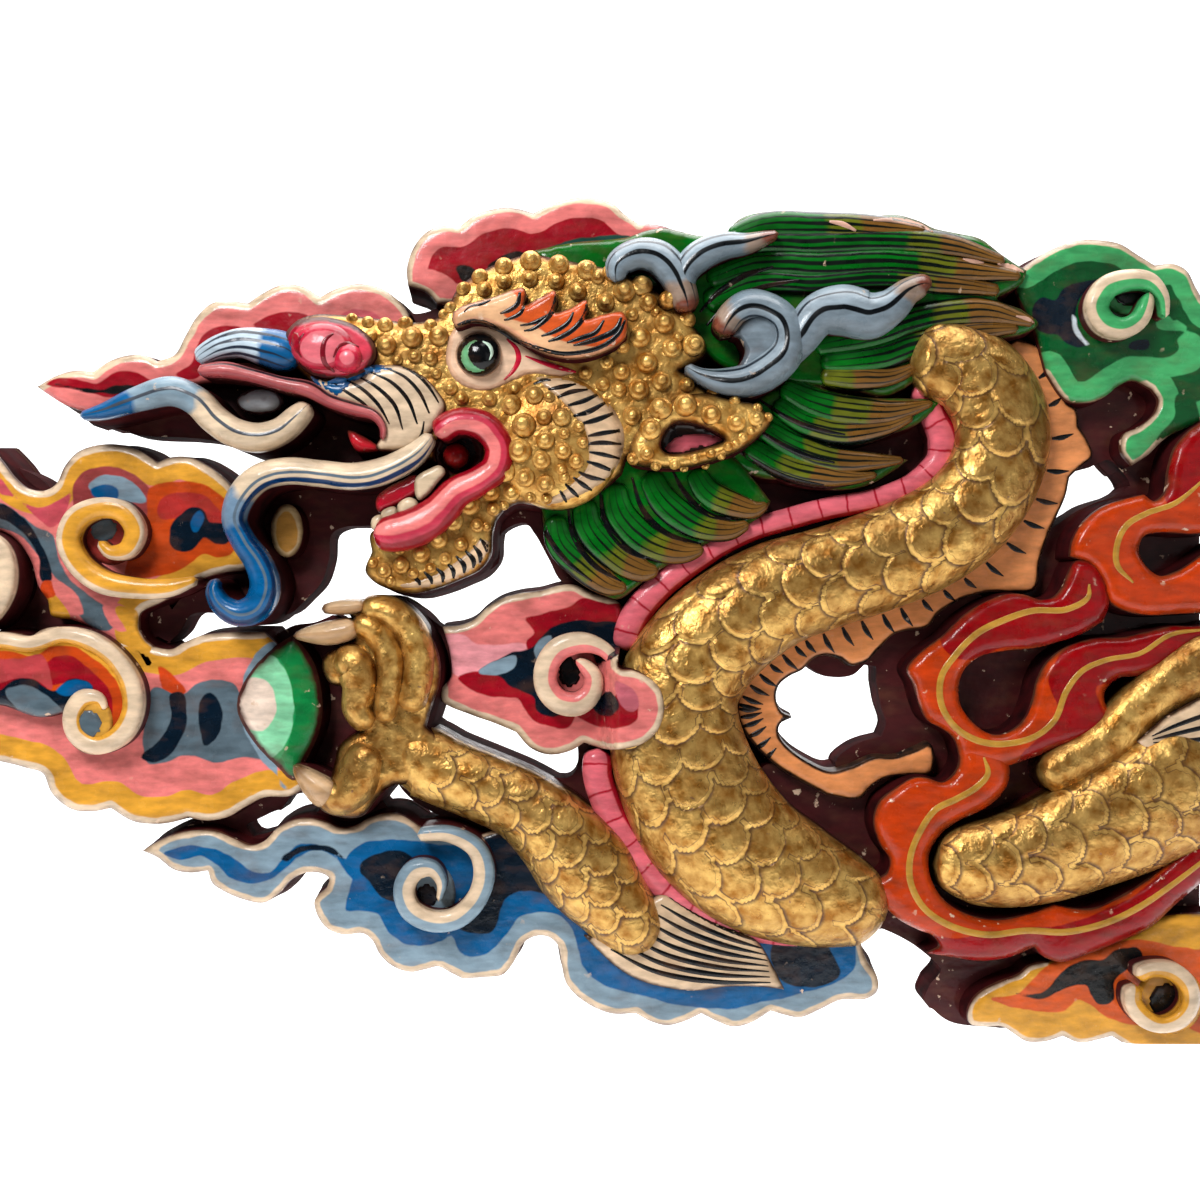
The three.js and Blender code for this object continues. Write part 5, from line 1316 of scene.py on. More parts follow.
# The claw and its pearl. A palm with three knuckled fingers and a thumb, each ending in a horn
# nail, closes on a flat striped disc; all are carved out of the same step in front of the leg.
PALM = [
  [[-190, -8], [-168, 0], [-150, -5], [-136, -14], [-126, -28], [-120, -44], [-120, -62], [-126, -80]],
  [[-130, -95], [-112, -112], [-104, -140], [-122, -142]],
  [[-142, -138], [-158, -140], [-168, -150], [-178, -162], [-194, -163], [-210, -156], [-204, -140],
    [-199, -122], [-196, -110], [-186, -101]],
  [[-178, -97], [-188, -88], [-191, -76], [-190, -66], [-202, -63], [-208, -52], [-207, -42], [-196, -35]],
  [[-186, -30], [-184, -18]],
]
FINGERS = [
  [[-186, -16, 7], [-170, -22, 9], [-160, -36, 9], [-157, -54, 9], [-160, -74, 8], [-163, -92, 6]],
  [[-180, -6, 7], [-160, -9, 10], [-144, -22, 10], [-137, -40, 10], [-138, -60, 10], [-144, -84, 9]],
  [[-200, -48, 7], [-186, -48, 12], [-180, -64, 11], [-182, -82, 9], [-172, -96, 7]],
]
THUMB = [[-212, -142, 8], [-196, -148, 14], [-184, -138, 17], [-178, -122, 16], [-170, -108, 12]]
NAILS = [
  [[-230, -27, 2], [-219, -26, 6], [-205, -25, 9], [-190, -22, 9], [-182, -18, 7]],
  [[-209, -7, 3], [-200, -6, 5], [-188, -5, 6], [-176, -4, 5]],
  [[-230, -124, 2], [-222, -132, 7], [-211, -142, 11], [-200, -150, 11]],
]
PEARL = [
  [[-230, -26], [-247, -37], [-260, -50], [-270, -66], [-273, -80], [-268, -95], [-256, -112], [-243, -125],
    [-230, -136]],
  [[-218, -116], [-211, -100], [-208, -82], [-210, -62], [-216, -44]],
]

FINGER_SPREAD = 1.25
PALM_SWELL = [-150, -112, 34, 26]
carve("palm", [tile(PALM, 72, foot=2.1, roll=12, drop=9)], gold_paint)
wide_fingers = [[[x, z, half * FINGER_SPREAD] for x, z, half in stations] for stations in FINGERS]
carve("fingers", [rope(stations, 88, 70, foot=20) for stations in wide_fingers], gold_paint)
carve("thumb", [rope(THUMB, 86, 64, foot=20, sides=20)], gold_paint)
carve("nails", [rope(stations, 86, 66, foot=20) for stations in NAILS],
      roped("nail_horn", [((186, 148, 108), 0.2), ((206, 172, 134), 1)], ends=[("along", 6, (120, 84, 56))]))

PEARL_DARK = [[-252, -36], [-240, -46], [-232, -62], [-229, -82], [-232, -102], [-240, -118], [-250, -128],
              [-225, -145], [-200, -100], [-205, -50], [-228, -20]]
PEARL_WHITE = [[-273, -77], [-270, -65], [-261, -59], [-249, -62], [-243, -74], [-244, -88], [-252, -98],
               [-263, -97], [-271, -89]]
PEARL_MINT = [[-276, -80], [-270, -62], [-258, -46], [-246, -41], [-237, -50], [-231, -66], [-229, -82],
              [-233, -102], [-242, -116], [-254, -120], [-268, -104]]
carve("pearl", [tile(PEARL, 60, foot=2.3, roll=24, drop=9,
                     fields={"dark": [PEARL_DARK], "mint": [PEARL_MINT], "white": [PEARL_WHITE]})],
      lacquer("pearl_paint", [((30, 150, 84), 30), ((30, 150, 84), 60)],
              [("mint", (132, 206, 160)), ("dark", (14, 122, 60)), ("white", (226, 204, 186))]))

# The mane and beard. Long flat locks that sweep back from the head, each tip cut free to a point,
# green with black brush lines along the hair and brown at the tips.
MANE_TOP_LEVEL = 60
MANE_GREEN = (0, 96, 18)
MANE_OLIVE = (96, 102, 22)
MANE_BROWN = (118, 80, 32)

MANE_TOP = [
  [[93, 274], [105, 286], [122, 291], [145, 291.5], [165, 290], [185, 287], [205, 288], [222, 289],
    [240, 284], [250, 279]],
  [[268, 275], [285, 271], [300, 260], [310, 253]],
  [[320, 247], [317, 238], [308, 232], [298, 226]],
  [[316, 218], [329, 207], [318, 200]],
  [[298, 196], [278, 190], [258, 182], [242, 170], [230, 160], [212, 153]],
  [[190, 158], [165, 160], [120, 165], [85, 180], [60, 215], [64, 250]],
]
MANE_CROWN = [
  [[-50, 262], [-20, 268], [20, 272], [35, 277], [48, 279], [62, 276], [76, 273], [94, 275]],
  [[100, 262], [80, 240], [20, 236], [-40, 248]],
]
MANE_LOW = [
  [[150, 168], [170, 158], [200, 152], [232, 151], [254, 150]],
  [[250, 141], [236, 131], [215, 124], [190, 117], [172, 115]],
  [[158, 115], [130, 112], [108, 128], [118, 150]],
]
MANE_TAIL = [
  [[120, 132], [145, 118], [170, 111], [200, 110], [218, 108]],
  [[231, 105], [220, 97], [205, 88], [186, 83], [165, 84], [142, 90], [120, 92]],
  [[100, 100], [98, 118]],
]
BEARD = [
  [[-44, 71], [-42, 55], [-36, 40], [-26, 27], [-14, 15], [0, 5], [14, 1]],
  [[30, 12], [50, 26], [80, 42], [110, 56], [124, 66]],
  [[128, 74], [122, 82], [114, 92], [98, 108], [60, 112], [20, 112], [0, 90]],
]
MANE_LOCKS = [
  [[96, 272, 6], [125, 281, 9], [165, 281, 9], [205, 280, 8], [245, 277, 3]],
  [[80, 256, 6], [120, 268, 8], [165, 268, 9], [215, 270, 9], [262, 266, 8], [304, 254, 3]],
  [[80, 240, 7], [120, 252, 9], [170, 252, 10], [220, 254, 10], [270, 248, 9], [316, 243, 3]],
  [[78, 222, 8], [115, 238, 9], [160, 238, 8], [205, 242, 8], [255, 238, 8], [300, 232, 4]],
  [[160, 190, 7], [200, 198, 10], [245, 212, 10], [290, 216, 9], [326, 208, 3]],
  [[165, 178, 7], [205, 182, 10], [245, 194, 9], [285, 202, 7], [314, 204, 3]],
  [[165, 168, 6], [195, 166, 8], [220, 168, 6], [240, 176, 3]],
  [[135, 160, 7], [165, 146, 10], [200, 140, 10], [230, 143, 6], [250, 148, 2]],
  [[130, 148, 7], [155, 133, 9], [185, 126, 9], [215, 130, 6], [235, 138, 3]],
  [[120, 130, 7], [145, 115, 9], [175, 105, 9], [205, 104, 6], [228, 105, 2]],
  [[110, 116, 7], [135, 102, 9], [165, 94, 9], [190, 92, 5], [208, 94, 2]],
]
BEARD_LOCKS = [
  [[-34, 64, 7], [-30, 44, 10], [-14, 26, 10], [6, 12, 8], [20, 8, 3]],
  [[-12, 76, 8], [-8, 54, 10], [10, 34, 10], [32, 22, 8], [44, 22, 3]],
  [[10, 88, 8], [16, 64, 10], [36, 44, 11], [62, 36, 8], [78, 38, 3]],
  [[36, 96, 8], [48, 74, 10], [70, 58, 10], [96, 52, 7], [112, 57, 3]],
  [[70, 98, 7], [80, 82, 9], [98, 72, 9], [116, 68, 6], [126, 72, 2]],
]

HAIR_BLACK = (6, 16, 10)
HAIR_LINES = [(-0.94, 2.6, HAIR_BLACK), (-0.42, 1.1, HAIR_BLACK), (0.08, 1.6, HAIR_BLACK),
              (0.52, 0.9, HAIR_BLACK), (0.92, 1.4, HAIR_BLACK)]
mane_paint = lacquer("mane_paint", [(MANE_GREEN, 30), (MANE_GREEN, 60)])
mane_rope = roped("mane_rope", [(MANE_GREEN, 1)], lines=HAIR_LINES, fade=70,
                  ends=[("left", 76, MANE_OLIVE), ("left", 50, MANE_BROWN)])
beard_rope = roped("beard_rope", [(MANE_GREEN, 1)], lines=HAIR_LINES, fade=70,
                   ends=[("left", 42, MANE_OLIVE), ("left", 28, MANE_BROWN)])
carve("mane_top", [tile(MANE_TOP, MANE_TOP_LEVEL, foot=2.5)], mane_paint)
carve("mane_crown", [tile(MANE_CROWN, MANE_TOP_LEVEL, foot=2.7)], mane_paint)
carve("mane_low", [tile(MANE_LOW, MANE_TOP_LEVEL, foot=2.9)], mane_paint)
carve("mane_tail", [tile(MANE_TAIL, MANE_TOP_LEVEL - 4, foot=3.1)], mane_paint)
carve("beard", [tile(BEARD, MANE_TOP_LEVEL, foot=3.3)], mane_paint)
carve("mane_locks", [rope([[x, z, half * 1.12] for x, z, half in stations], 67, 60, foot=30)
                     for stations in MANE_LOCKS], mane_rope)
carve("beard_locks", [rope([[x, z, half * 1.12] for x, z, half in stations], 66, 61, foot=30)
                      for stations in BEARD_LOCKS], beard_rope)

# The brush lines and chips of the mane. Black strokes fill the flat wood between the locks, and
# bare pinkish wood shows where the points of the upper locks are knocked off.
MANE_STROKES = [
    [[75, 216, 1], [88, 230, 2.4], [108, 243, 2.6], [130, 250, 1]],
    [[80, 206, 1], [96, 222, 2.6], [120, 234, 2.6], [150, 240, 1]],
    [[150, 206, 1], [176, 214, 2.2], [200, 222, 2], [226, 226, 0.8]],
    [[120, 150, 1], [142, 136, 2.2], [164, 128, 2.2], [184, 124, 0.8]],
    [[112, 132, 1], [134, 118, 2.4], [156, 108, 2.2], [176, 103, 0.8]],
    [[96, 118, 1], [116, 104, 2.4], [140, 92, 2.4], [168, 86, 0.8]],
    [[-46, 74, 1], [-40, 50, 2.4], [-26, 30, 2.6], [-6, 14, 0.8]],
    [[-24, 70, 1], [-20, 48, 2.4], [-4, 26, 2.6], [16, 14, 0.8]],
    [[0, 82, 1], [4, 58, 2.4], [20, 38, 2.6], [46, 28, 0.8]],
    [[24, 92, 1], [32, 68, 2.4], [50, 50, 2.6], [76, 42, 0.8]],
    [[54, 98, 1], [64, 80, 2.4], [82, 64, 2.4], [104, 60, 0.8]],
]
CHIPS = [
    [[172, 284, 1], [182, 282, 2.4], [192, 277, 1]],
    [[205, 285, 0.8], [222, 285, 2.2], [240, 281, 2], [250, 276, 0.6]],
    [[272, 256, 0.6], [280, 254, 1.8], [288, 253, 0.6]],
    [[298, 252, 0.8], [308, 250, 2.4], [318, 246, 0.8]],
    [[312, 213, 0.6], [320, 211, 1.8], [326, 208, 0.6]],
]
mane_surface = surface_of("mane_top", "mane_crown", "mane_low", "mane_tail", "beard", "mane_locks", "beard_locks")
carve("mane_strokes", [stroke(mane_surface, line) for line in MANE_STROKES], black_hair)
carve("mane_chips", [stroke(mane_surface, line) for line in CHIPS],
      lacquer("chipped_wood", [((206, 160, 138), 30), ((206, 160, 138), 60)], wall=None, rough=0.6))

# The head. The highest step: a skull with a swelling cheek and a lower jaw, hollowed for the
# mouth and the ear, gilded all over.
HEAD_TOP = 76
LIP_TOP = 84
MOUTH_HOLE = [[-88, 110], [-93, 123], [-106, 128], [-119, 123], [-124, 110], [-119, 97], [-106, 92], [-93, 97]]
EAR_HOLE = [[46, 114], [48, 125], [57, 133], [71, 132], [83, 128], [94, 120], [79, 114], [62, 110], [51, 110]]

HEAD = [
  [[-198, 214], [-175, 212], [-160, 210], [-143, 208], [-124, 211]],
  [[-113, 221], [-107, 233], [-90, 246], [-72, 254], [-52, 259], [-33, 256], [-12, 252], [15, 246],
    [38, 234], [58, 218], [72, 203], [80, 188], [72, 178]],
  [[60, 172], [80, 158], [100, 150], [118, 146], [128, 134], [120, 124], [105, 113], [88, 106], [65, 100],
    [42, 100], [22, 108]],
  [[16, 95], [4, 84], [-15, 75], [-40, 70], [-62, 72], [-76, 66]],
  [[-86, 84], [-104, 92], [-124, 104], [-140, 108], [-158, 118], [-166, 134], [-184, 142], [-205, 154],
    [-218, 164], [-232, 180], [-236, 198], [-228, 209], [-214, 214]],
]
JAW = [
  [[-171, 36], [-176, 22], [-170, 14], [-158, 8], [-140, 5], [-122, 9], [-104, 16], [-90, 23], [-82, 34],
    [-81, 48], [-78, 60]],
  [[-68, 72], [-80, 90], [-100, 96], [-122, 88]],
  [[-134, 74], [-150, 60], [-172, 50]],
]


def boss(oval, crest, edge, foot=40, around=48, levels=14):
    """A round swelling of the carving on a straight-sided oval foot."""
    x, z, radius_x, radius_z = oval
    turns = np.linspace(0, 2 * math.pi, around, endpoint=False)
    seen, heights, rims = [], [], []
    for level in range(levels):
        bend = math.pi / 2 * level / levels
        reach = math.cos(bend)
        seen.append(np.column_stack([x + radius_x * reach * np.cos(turns), z + radius_z * reach * np.sin(turns)]))
        heights.append(np.full(around, edge + math.sin(bend) * (crest - edge)))
        rims.append(np.full(around, (1 - reach) * radius_x))
    seen = np.vstack(seen + [np.array([[x, z]])])
    heights = np.concatenate(heights + [np.array([crest])])
    rims = np.concatenate(rims + [np.array([radius_x])])
    top = to_panel(seen, heights)
    base = top[:around].copy()
    base[:, 1] = -foot
    points = np.vstack([top, base])
    faces = []
    for level in range(levels - 1):
        for k in range(around):
            a, b = level * around + k, level * around + (k + 1) % around
            faces.append((a, b, b + around, a + around))
    tip = levels * around
    last = (levels - 1) * around
    faces += [(last + k, last + (k + 1) % around, tip) for k in range(around)]
    faces += [((k + 1) % around, k, tip + 1 + k, tip + 1 + (k + 1) % around) for k in range(around)]
    faces.append(tuple(tip + 1 + k for k in reversed(range(around))))
    layers = {
        "rim": np.concatenate([rims, np.zeros(around)]),
        "deep": np.concatenate([np.zeros(len(top)), np.full(around, edge - foot)]),
        "groove": np.full(len(points), 20.0),
    }
    return points, faces, layers


HEAD_GOLD = (178, 114, 30)
HEAD_PALE_GOLD = (248, 202, 112)
head_gold = gilded("head_gold", 0.6, tones=(HEAD_GOLD, HEAD_PALE_GOLD))
carve("skull", [tile(HEAD, HEAD_TOP, foot=2.8, roll=12, drop=8, holes=[MOUTH_HOLE, EAR_HOLE])], head_gold)
carve("jaw", [tile(JAW, HEAD_TOP, foot=3.0, roll=10, drop=7)], head_gold)
CHEEK_SHOWN = [-32, 118, 47, 50]
carve("cheek", [boss(CHEEK_SHOWN, 92, HEAD_TOP, around=72, levels=20)], head_gold)

# The ear. A leaf of wood lying back from the skull, hollowed to a dark slit with a pink lining.
EAR_TOP = 88
EAR_LINING = [[48, 112], [54, 121], [66, 125], [82, 125], [93, 121], [79, 114], [62, 110]]

EAR = [
  [[24, 104], [23, 116], [30, 130], [42, 142], [57, 151], [76, 155], [100, 150], [118, 146], [128, 134],
    [120, 124], [105, 113], [88, 106], [65, 100], [42, 100]],
]

carve("ear", [tile(EAR, EAR_TOP, foot=3.9, roll=9, drop=7, holes=[EAR_HOLE])], head_gold)
carve("ear_floor", [tile([EAR_HOLE], 70, foot=45, lean=-2, roll=8, drop=-3)],
      lacquer("ear_dark", [((30, 20, 20), 30), ((30, 20, 20), 60)], wall=None))
carve("ear_lining", [daub(surface_of("ear_floor"), [EAR_LINING])],
      lacquer("ear_pink", [((214, 96, 110), 30), ((214, 96, 110), 60)], wall=None))

# The mouth. A pink lip that runs from the jaw round the corner of the mouth, a dark pocket with a
# red ball in it, gums, and cream teeth along the lower lip.
LIP_CREST = 96
MOUTH_BALL = [-108, 108, 10, 10]
LOWER_GUM = [[-168, 76], [-160, 84], [-148, 90], [-138, 94], [-132, 86], [-142, 76], [-154, 70], [-166, 66]]
TEETH = [
    [[-138, 92], [-129, 98], [-120, 101], [-116, 96], [-122, 88], [-129, 79], [-136, 75], [-139, 81]],
    [[-152, 71], [-144, 77], [-138, 75], [-136, 70], [-142, 66], [-149, 61]],
    [[-164, 66], [-154, 70], [-151, 62], [-153, 56], [-162, 55]],
    [[-171, 61], [-165, 64], [-163, 58], [-165, 53], [-171, 53]],
]
TONGUE = [[-189, 127], [-180, 124], [-170, 118], [-165, 113], [-174, 111], [-183, 112]]

LIP_RING = [
  [-124, 124, 8], [-108, 134, 8], [-88, 131, 9], [-76, 116, 9], [-78, 100, 9], [-90, 90, 9], [-108, 80, 10],
  [-121, 66, 11], [-137, 53, 10], [-156, 46, 7], [-171, 43, 4],
]

carve("mouth_pocket", [tile([MOUTH_HOLE], 58, foot=45, lean=-2, roll=9, drop=-5)],
      lacquer("mouth_dark", [((70, 14, 18), 5), ((34, 8, 10), 60)], wall=None, rough=0.2))
carve("mouth_ball", [boss(MOUTH_BALL, 72, 62, foot=50, around=32, levels=10)],
      lacquer("ball_red", [((150, 10, 20), 30), ((150, 10, 20), 60)], wall=None, rough=0.2))
wide_lip = [[x, z, half * 1.22] for x, z, half in LIP_RING[:-3]]
wide_lip += [[-138, 55, 15], [-156, 50, 14], [-170, 50, 11]]
carve("lips", [rope(wide_lip, LIP_CREST, LIP_TOP, sides=24)],
      roped("lip_paint", [(CRIMSON, -0.72), (PINK, 0.1), ((196, 54, 76), 0.5), (CRIMSON, 1)], wobble=0.2))
carve("gum", [tile([LOWER_GUM], 82, foot=30, roll=5, drop=4)],
      lacquer("gum_red", [((176, 16, 40), 30), ((176, 16, 40), 60)]))
carve("teeth", [tile([tooth], 86, foot=40, roll=4, drop=3, lean=1, pitch=2) for tooth in TEETH],
      lacquer("tooth_cream", [((216, 192, 160), 30), ((216, 192, 160), 60)], wall=GOLD_SHADE))
carve("tongue", [tile([TONGUE], 70, foot=20, roll=5, drop=4)], lacquer("tongue_red", [((206, 24, 46), 30),
                                                                                    ((206, 24, 46), 60)]))

# The nose and muzzle. A pink nose with a slit nostril and a pale bulb, dark crimson strokes of painted shade
# in its folds, over a cream muzzle that is combed with black lines and washed with blue next to the nose.
NOSE_BULB = [-190, 182, 12, 12]
NOSE_SWELL = [-208, 190, 24, 18]
NOSTRIL = [[-230, 202], [-226, 200], [-224, 192], [-226, 184], [-231, 188], [-232, 196]]
NOSE_FOLD_SHADOWS = [
    [[-200, 200, 0.8], [-206, 195, 2], [-208, 186, 2.4], [-206, 177, 2.2], [-199, 171, 1]],
    [[-222, 200, 0.6], [-226, 195, 1.6], [-227, 188, 1.4], [-224, 182, 0.6]],
    [[-200, 182, 0.6], [-196, 190, 1.4], [-189, 193, 1.4], [-181, 190, 0.6]],
]
MUZZLE_BLUE = [[-217, 168], [-205, 164], [-190, 172], [-174, 176], [-160, 176], [-150, 173], [-165, 170],
               [-180, 166], [-190, 158], [-197, 152], [-209, 158]]
MUZZLE_LINES = [
    [[-200, 163, 0.6], [-190, 156, 1.4], [-178, 148, 1.4], [-170, 140, 0.6]],
    [[-192, 166, 0.6], [-178, 158, 1.6], [-166, 146, 1.6], [-158, 132, 0.6]],
    [[-182, 168, 0.6], [-168, 160, 1.6], [-154, 146, 1.8], [-148, 128, 0.6]],
    [[-172, 171, 0.6], [-156, 163, 1.6], [-144, 150, 1.8], [-137, 132, 0.8]],
    [[-160, 174, 0.6], [-146, 167, 1.4], [-135, 155, 1.6], [-128, 140, 0.8]],
    [[-148, 175, 0.6], [-136, 168, 1.4], [-127, 158, 1.4], [-121, 148, 0.6]],
    [[-150, 112, 0.8], [-140, 116, 1.2], [-134, 124, 1.2], [-132, 134, 0.6]],
]

MUZZLE = [
  [[-216, 168], [-200, 164], [-180, 168], [-168, 175], [-150, 176], [-134, 169], [-123, 158], [-116, 146],
    [-120, 134], [-130, 122]],
  [[-140, 112], [-158, 112], [-168, 114]],
  [[-163, 124], [-165, 136], [-178, 142], [-196, 148], [-208, 155]],
]
NOSE = [
  [[-236, 198], [-230, 207], [-215, 212], [-198, 211], [-182, 205], [-171, 195], [-168, 184], [-174, 174],
    [-186, 167], [-202, 166], [-218, 170], [-230, 181]],
]

carve("muzzle", [tile(MUZZLE, LIP_TOP, foot=3.5, roll=9, drop=6)],
      lacquer("muzzle_paint", [(CREAM, 30), (CREAM, 60)]))
carve("muzzle_blue", [daub(surface_of("muzzle"), [MUZZLE_BLUE])],
      lacquer("blue_wash", [(STRONG_BLUE, 30), (STRONG_BLUE, 60)], wall=None))
black_line = lacquer("black_line", [((10, 12, 14), 30), ((10, 12, 14), 60)], wall=None, rough=0.25)
carve("muzzle_lines", [stroke(surface_of("muzzle"), line) for line in MUZZLE_LINES], black_line)
carve("nose", [tile(NOSE, 90, foot=3.7, roll=12, drop=9)],
      lacquer("nose_paint", [((150, 12, 38), 4), ((206, 62, 82), 60)], wobble=3))
carve("nose_swell", [boss(NOSE_SWELL, 98, 86), boss(NOSE_BULB, 100, 86)],
      lacquer("nose_swell_paint", [((190, 34, 62), 7), ((222, 110, 120), 60)], wobble=3))
carve("nostril", [daub(surface_of("nose", "nose_swell"), [NOSTRIL], pitch=1.5)],
      lacquer("nostril_red", [((150, 14, 36), 30), ((150, 14, 36), 60)], wall=None))
# Dark crimson strokes of painted shade in the folds of the nose.
carve("nose_folds", [stroke(surface_of("nose", "nose_swell"), line) for line in NOSE_FOLD_SHADOWS],
      lacquer("nose_fold_shade", [((120, 8, 28), 30), ((120, 8, 28), 60)], wall=None))

# The eye and brow. A black ball with a green ring in a cream socket, under a brow carved as a row
# of flames in cream and orange with black lines.
BROW_TOP = 97
BROW_FLAME = [
    [[-110, 216], [-102, 221], [-81, 227], [-57, 234]],
    [[-55, 229], [-57, 221]],
    [[-47, 226], [-34, 232]],
    [[-32, 226], [-34, 216]],
    [[-22, 219], [-10, 225]],
    [[-9, 218], [-11, 211]],
    [[1, 214], [17, 216]],
    [[21, 210], [19, 197], [3, 186], [-18, 181], [-39, 184], [-56, 192], [-66, 199], [-75, 204], [-93, 209],
     [-108, 205], [-111, 210]],
]
LID_LINE = [[-107, 206, 1.2], [-98, 209, 2], [-87, 208, 2.2], [-75, 202, 2.2], [-64, 195, 2.2],
            [-47, 189, 2], [-30, 185, 2], [-13, 186, 2], [3, 191, 2.2], [14, 200, 2], [19, 210, 1]]
BROW_LINES = [
    [[-60, 231, 1.2], [-62, 222, 2.2], [-69, 217, 2], [-75, 215, 0.7]],
    [[-56, 222, 0.9], [-60, 215, 2], [-68, 211, 1.4], [-72, 210, 0.7]],
    [[-33, 230, 0.9], [-35, 218, 2.3], [-41, 210, 2.3], [-51, 203, 1.4], [-57, 202, 0.7]],
    [[-39, 214, 0.9], [-45, 210, 2], [-53, 207, 1.4], [-60, 206, 0.7]],
    [[-10, 222, 0.9], [-11, 214, 2.3], [-20, 203, 2.3], [-30, 197, 2.2], [-39, 194, 0.7]],
    [[-20, 216, 0.9], [-24, 208, 2], [-35, 201, 2], [-44, 198, 0.7]],
    [[16, 212, 1.2], [12, 203, 2.6], [1, 197, 2.6], [-11, 193, 2.2], [-20, 191, 0.7]],
    [[3, 210, 0.9], [-3, 201, 2.2], [-16, 196, 2], [-25, 193, 0.7]],
    [[-82, 225, 0.7], [-89, 222, 1.4], [-98, 220, 0.7], [-102, 216, 0.7]],
]
BROW_ORANGE = [[-66, 236], [-60, 222], [-72, 214], [-50, 206], [-40, 200], [-24, 193], [0, 190], [24, 196],
               [24, 222], [-10, 230], [-34, 238]]
SOCKET = [
    [[-114, 197], [-107, 206], [-75, 204], [-56, 192], [-39, 180], [-17, 171]],
    [[-30, 167], [-53, 169], [-70, 162], [-83, 157], [-100, 159], [-111, 167], [-116, 180]],
]
EYE_BALL = [-91, 184, 18, 17.5]
EYE_RED = [[-70, 196, 0.8], [-63, 189, 2], [-61, 181, 2.5], [-65, 172, 1.8], [-72, 165, 0.6]]
EYE_PINK = [[-56, 183, 0.6], [-43, 178, 1.8], [-30, 174, 2.2], [-18, 171, 1]]
EYE_CRESCENT = [
    [[-88, 196], [-97, 195], [-104, 188], [-105, 179], [-99, 171], [-90, 170]],
    [[-83, 173], [-91, 175], [-97, 181], [-97, 189]],
]
EYE_GLINT = [[-88, 194, 0.6], [-83, 191, 1.6], [-81, 185, 1.4], [-83, 180, 0.5]]

carve("eye_socket", [daub(surface_of("skull"), SOCKET, body=2)],
      lacquer("socket_cream", [((216, 172, 140), 4), ((226, 190, 160), 60)], wall=None))
carve("eye_ball", [boss(EYE_BALL, 92, 74, foot=60)],
      lacquer("eye_paint", [((210, 170, 140), 1.2), (LAMP_BLACK, 60)], wall=(170, 110, 80), wobble=0.5,
              rough=0.12))
carve("eye_ring", [daub(surface_of("eye_ball"), EYE_CRESCENT, body=0.3, pitch=1.5)],
      lacquer("eye_green", [((104, 172, 122), 30), ((104, 172, 122), 60)], wall=None, rough=0.12))
carve("eye_glint", [stroke(surface_of("eye_ball"), EYE_GLINT)],
      lacquer("glint_green", [((200, 226, 206), 30), ((200, 226, 206), 60)], wall=None, rough=0.15))
carve("brow_flame", [tile(BROW_FLAME, BROW_TOP, foot=50, roll=6, drop=5, lean=1, pitch=2,
                          fields={"orange": [BROW_ORANGE]})],
      lacquer("brow_paint", [((222, 160, 120), 4), ((226, 176, 132), 60)], [("orange", (206, 84, 34))],
              wall=GOLD_SHADE))
carve("brow_lines", [stroke(surface_of("brow_flame", "skull"), line) for line in BROW_LINES + [LID_LINE]],
      black_line)
crimson_line = lacquer("crimson_line", [((190, 20, 50), 30), ((190, 20, 50), 60)], wall=None)
carve("eye_red", [stroke(surface_of("eye_socket", "skull"), line) for line in (EYE_RED, EYE_PINK)], crimson_line)

# The cheek fan and the jaw band. Cream strips combed with short black lines behind the cheek and
# along the jaw.
FAN = [
    [[-50, 167], [-39, 157], [-28, 148], [-18, 136], [-11, 125], [-9, 113], [-10, 100], [-18, 91], [-28, 82],
     [-42, 74]],
    [[-39, 70], [-20, 76], [0, 86], [13, 100], [19, 119], [15, 136], [4, 150], [-12, 161], [-30, 167],
     [-41, 168]],
]
FAN_LINES = [
    [[-50, 162, 1], [-43, 165, 1.7], [-37, 165, 0.8]],
    [[-39, 158, 1], [-28, 160, 2.2], [-18, 162, 0.8]],
    [[-32, 152, 1], [-22, 156, 2.2], [-9, 158, 0.8]],
    [[-24, 146, 1], [-13, 149, 2.2], [-2, 154, 1.4]],
    [[-20, 138, 1], [-9, 141, 2.5], [4, 148, 1.4]],
    [[-15, 132, 1], [-3, 135, 2.5], [10, 140, 1.4]],
    [[-9, 123, 1], [1, 125, 2.2], [15, 127, 1.4]],
    [[-10, 117, 1], [1, 118, 2.2], [16, 117, 0.8]],
    [[-8, 111, 1], [3, 109, 2], [15, 106, 0.8]],
    [[-10, 104, 1], [-1, 101, 2.2], [9, 97, 1.4]],
    [[-16, 96, 1], [-7, 92, 2.2], [4, 90, 0.8]],
    [[-20, 92, 1], [-12, 86, 2.2], [-6, 82, 0.8]],
    [[-26, 87, 1], [-20, 81, 2], [-16, 77, 0.8]],
    [[-30, 82, 1], [-27, 77, 1.7], [-25, 73, 0.8]],
]
JAW_BAND = [
    [[-85, 46], [-82, 42], [-84, 33], [-92, 24], [-105, 16], [-124, 9.5], [-141, 8.5], [-152, 9.5]],
    [[-149, 12.5], [-133, 16], [-119, 22], [-106, 31], [-96, 39], [-91, 46]],
]
JAW_LINES = [
    [[-90, 46, 0.9], [-86, 41, 2.2], [-85, 36, 1]],
    [[-95, 41, 0.9], [-90, 34, 2.4], [-90, 28, 1]],
    [[-101, 37, 0.9], [-95, 30, 2.4], [-95, 24, 1]],
    [[-108, 33, 0.9], [-102, 26, 2.4], [-102, 20, 1]],
    [[-115, 28, 0.9], [-110, 22, 2.2], [-110, 16, 1]],
    [[-123, 24, 0.9], [-118, 19, 2.2], [-118, 13, 1]],
    [[-132, 21, 0.9], [-127, 16, 2], [-126, 12, 1]],
    [[-141, 18, 0.9], [-136, 14, 2], [-135, 11, 1]],
]

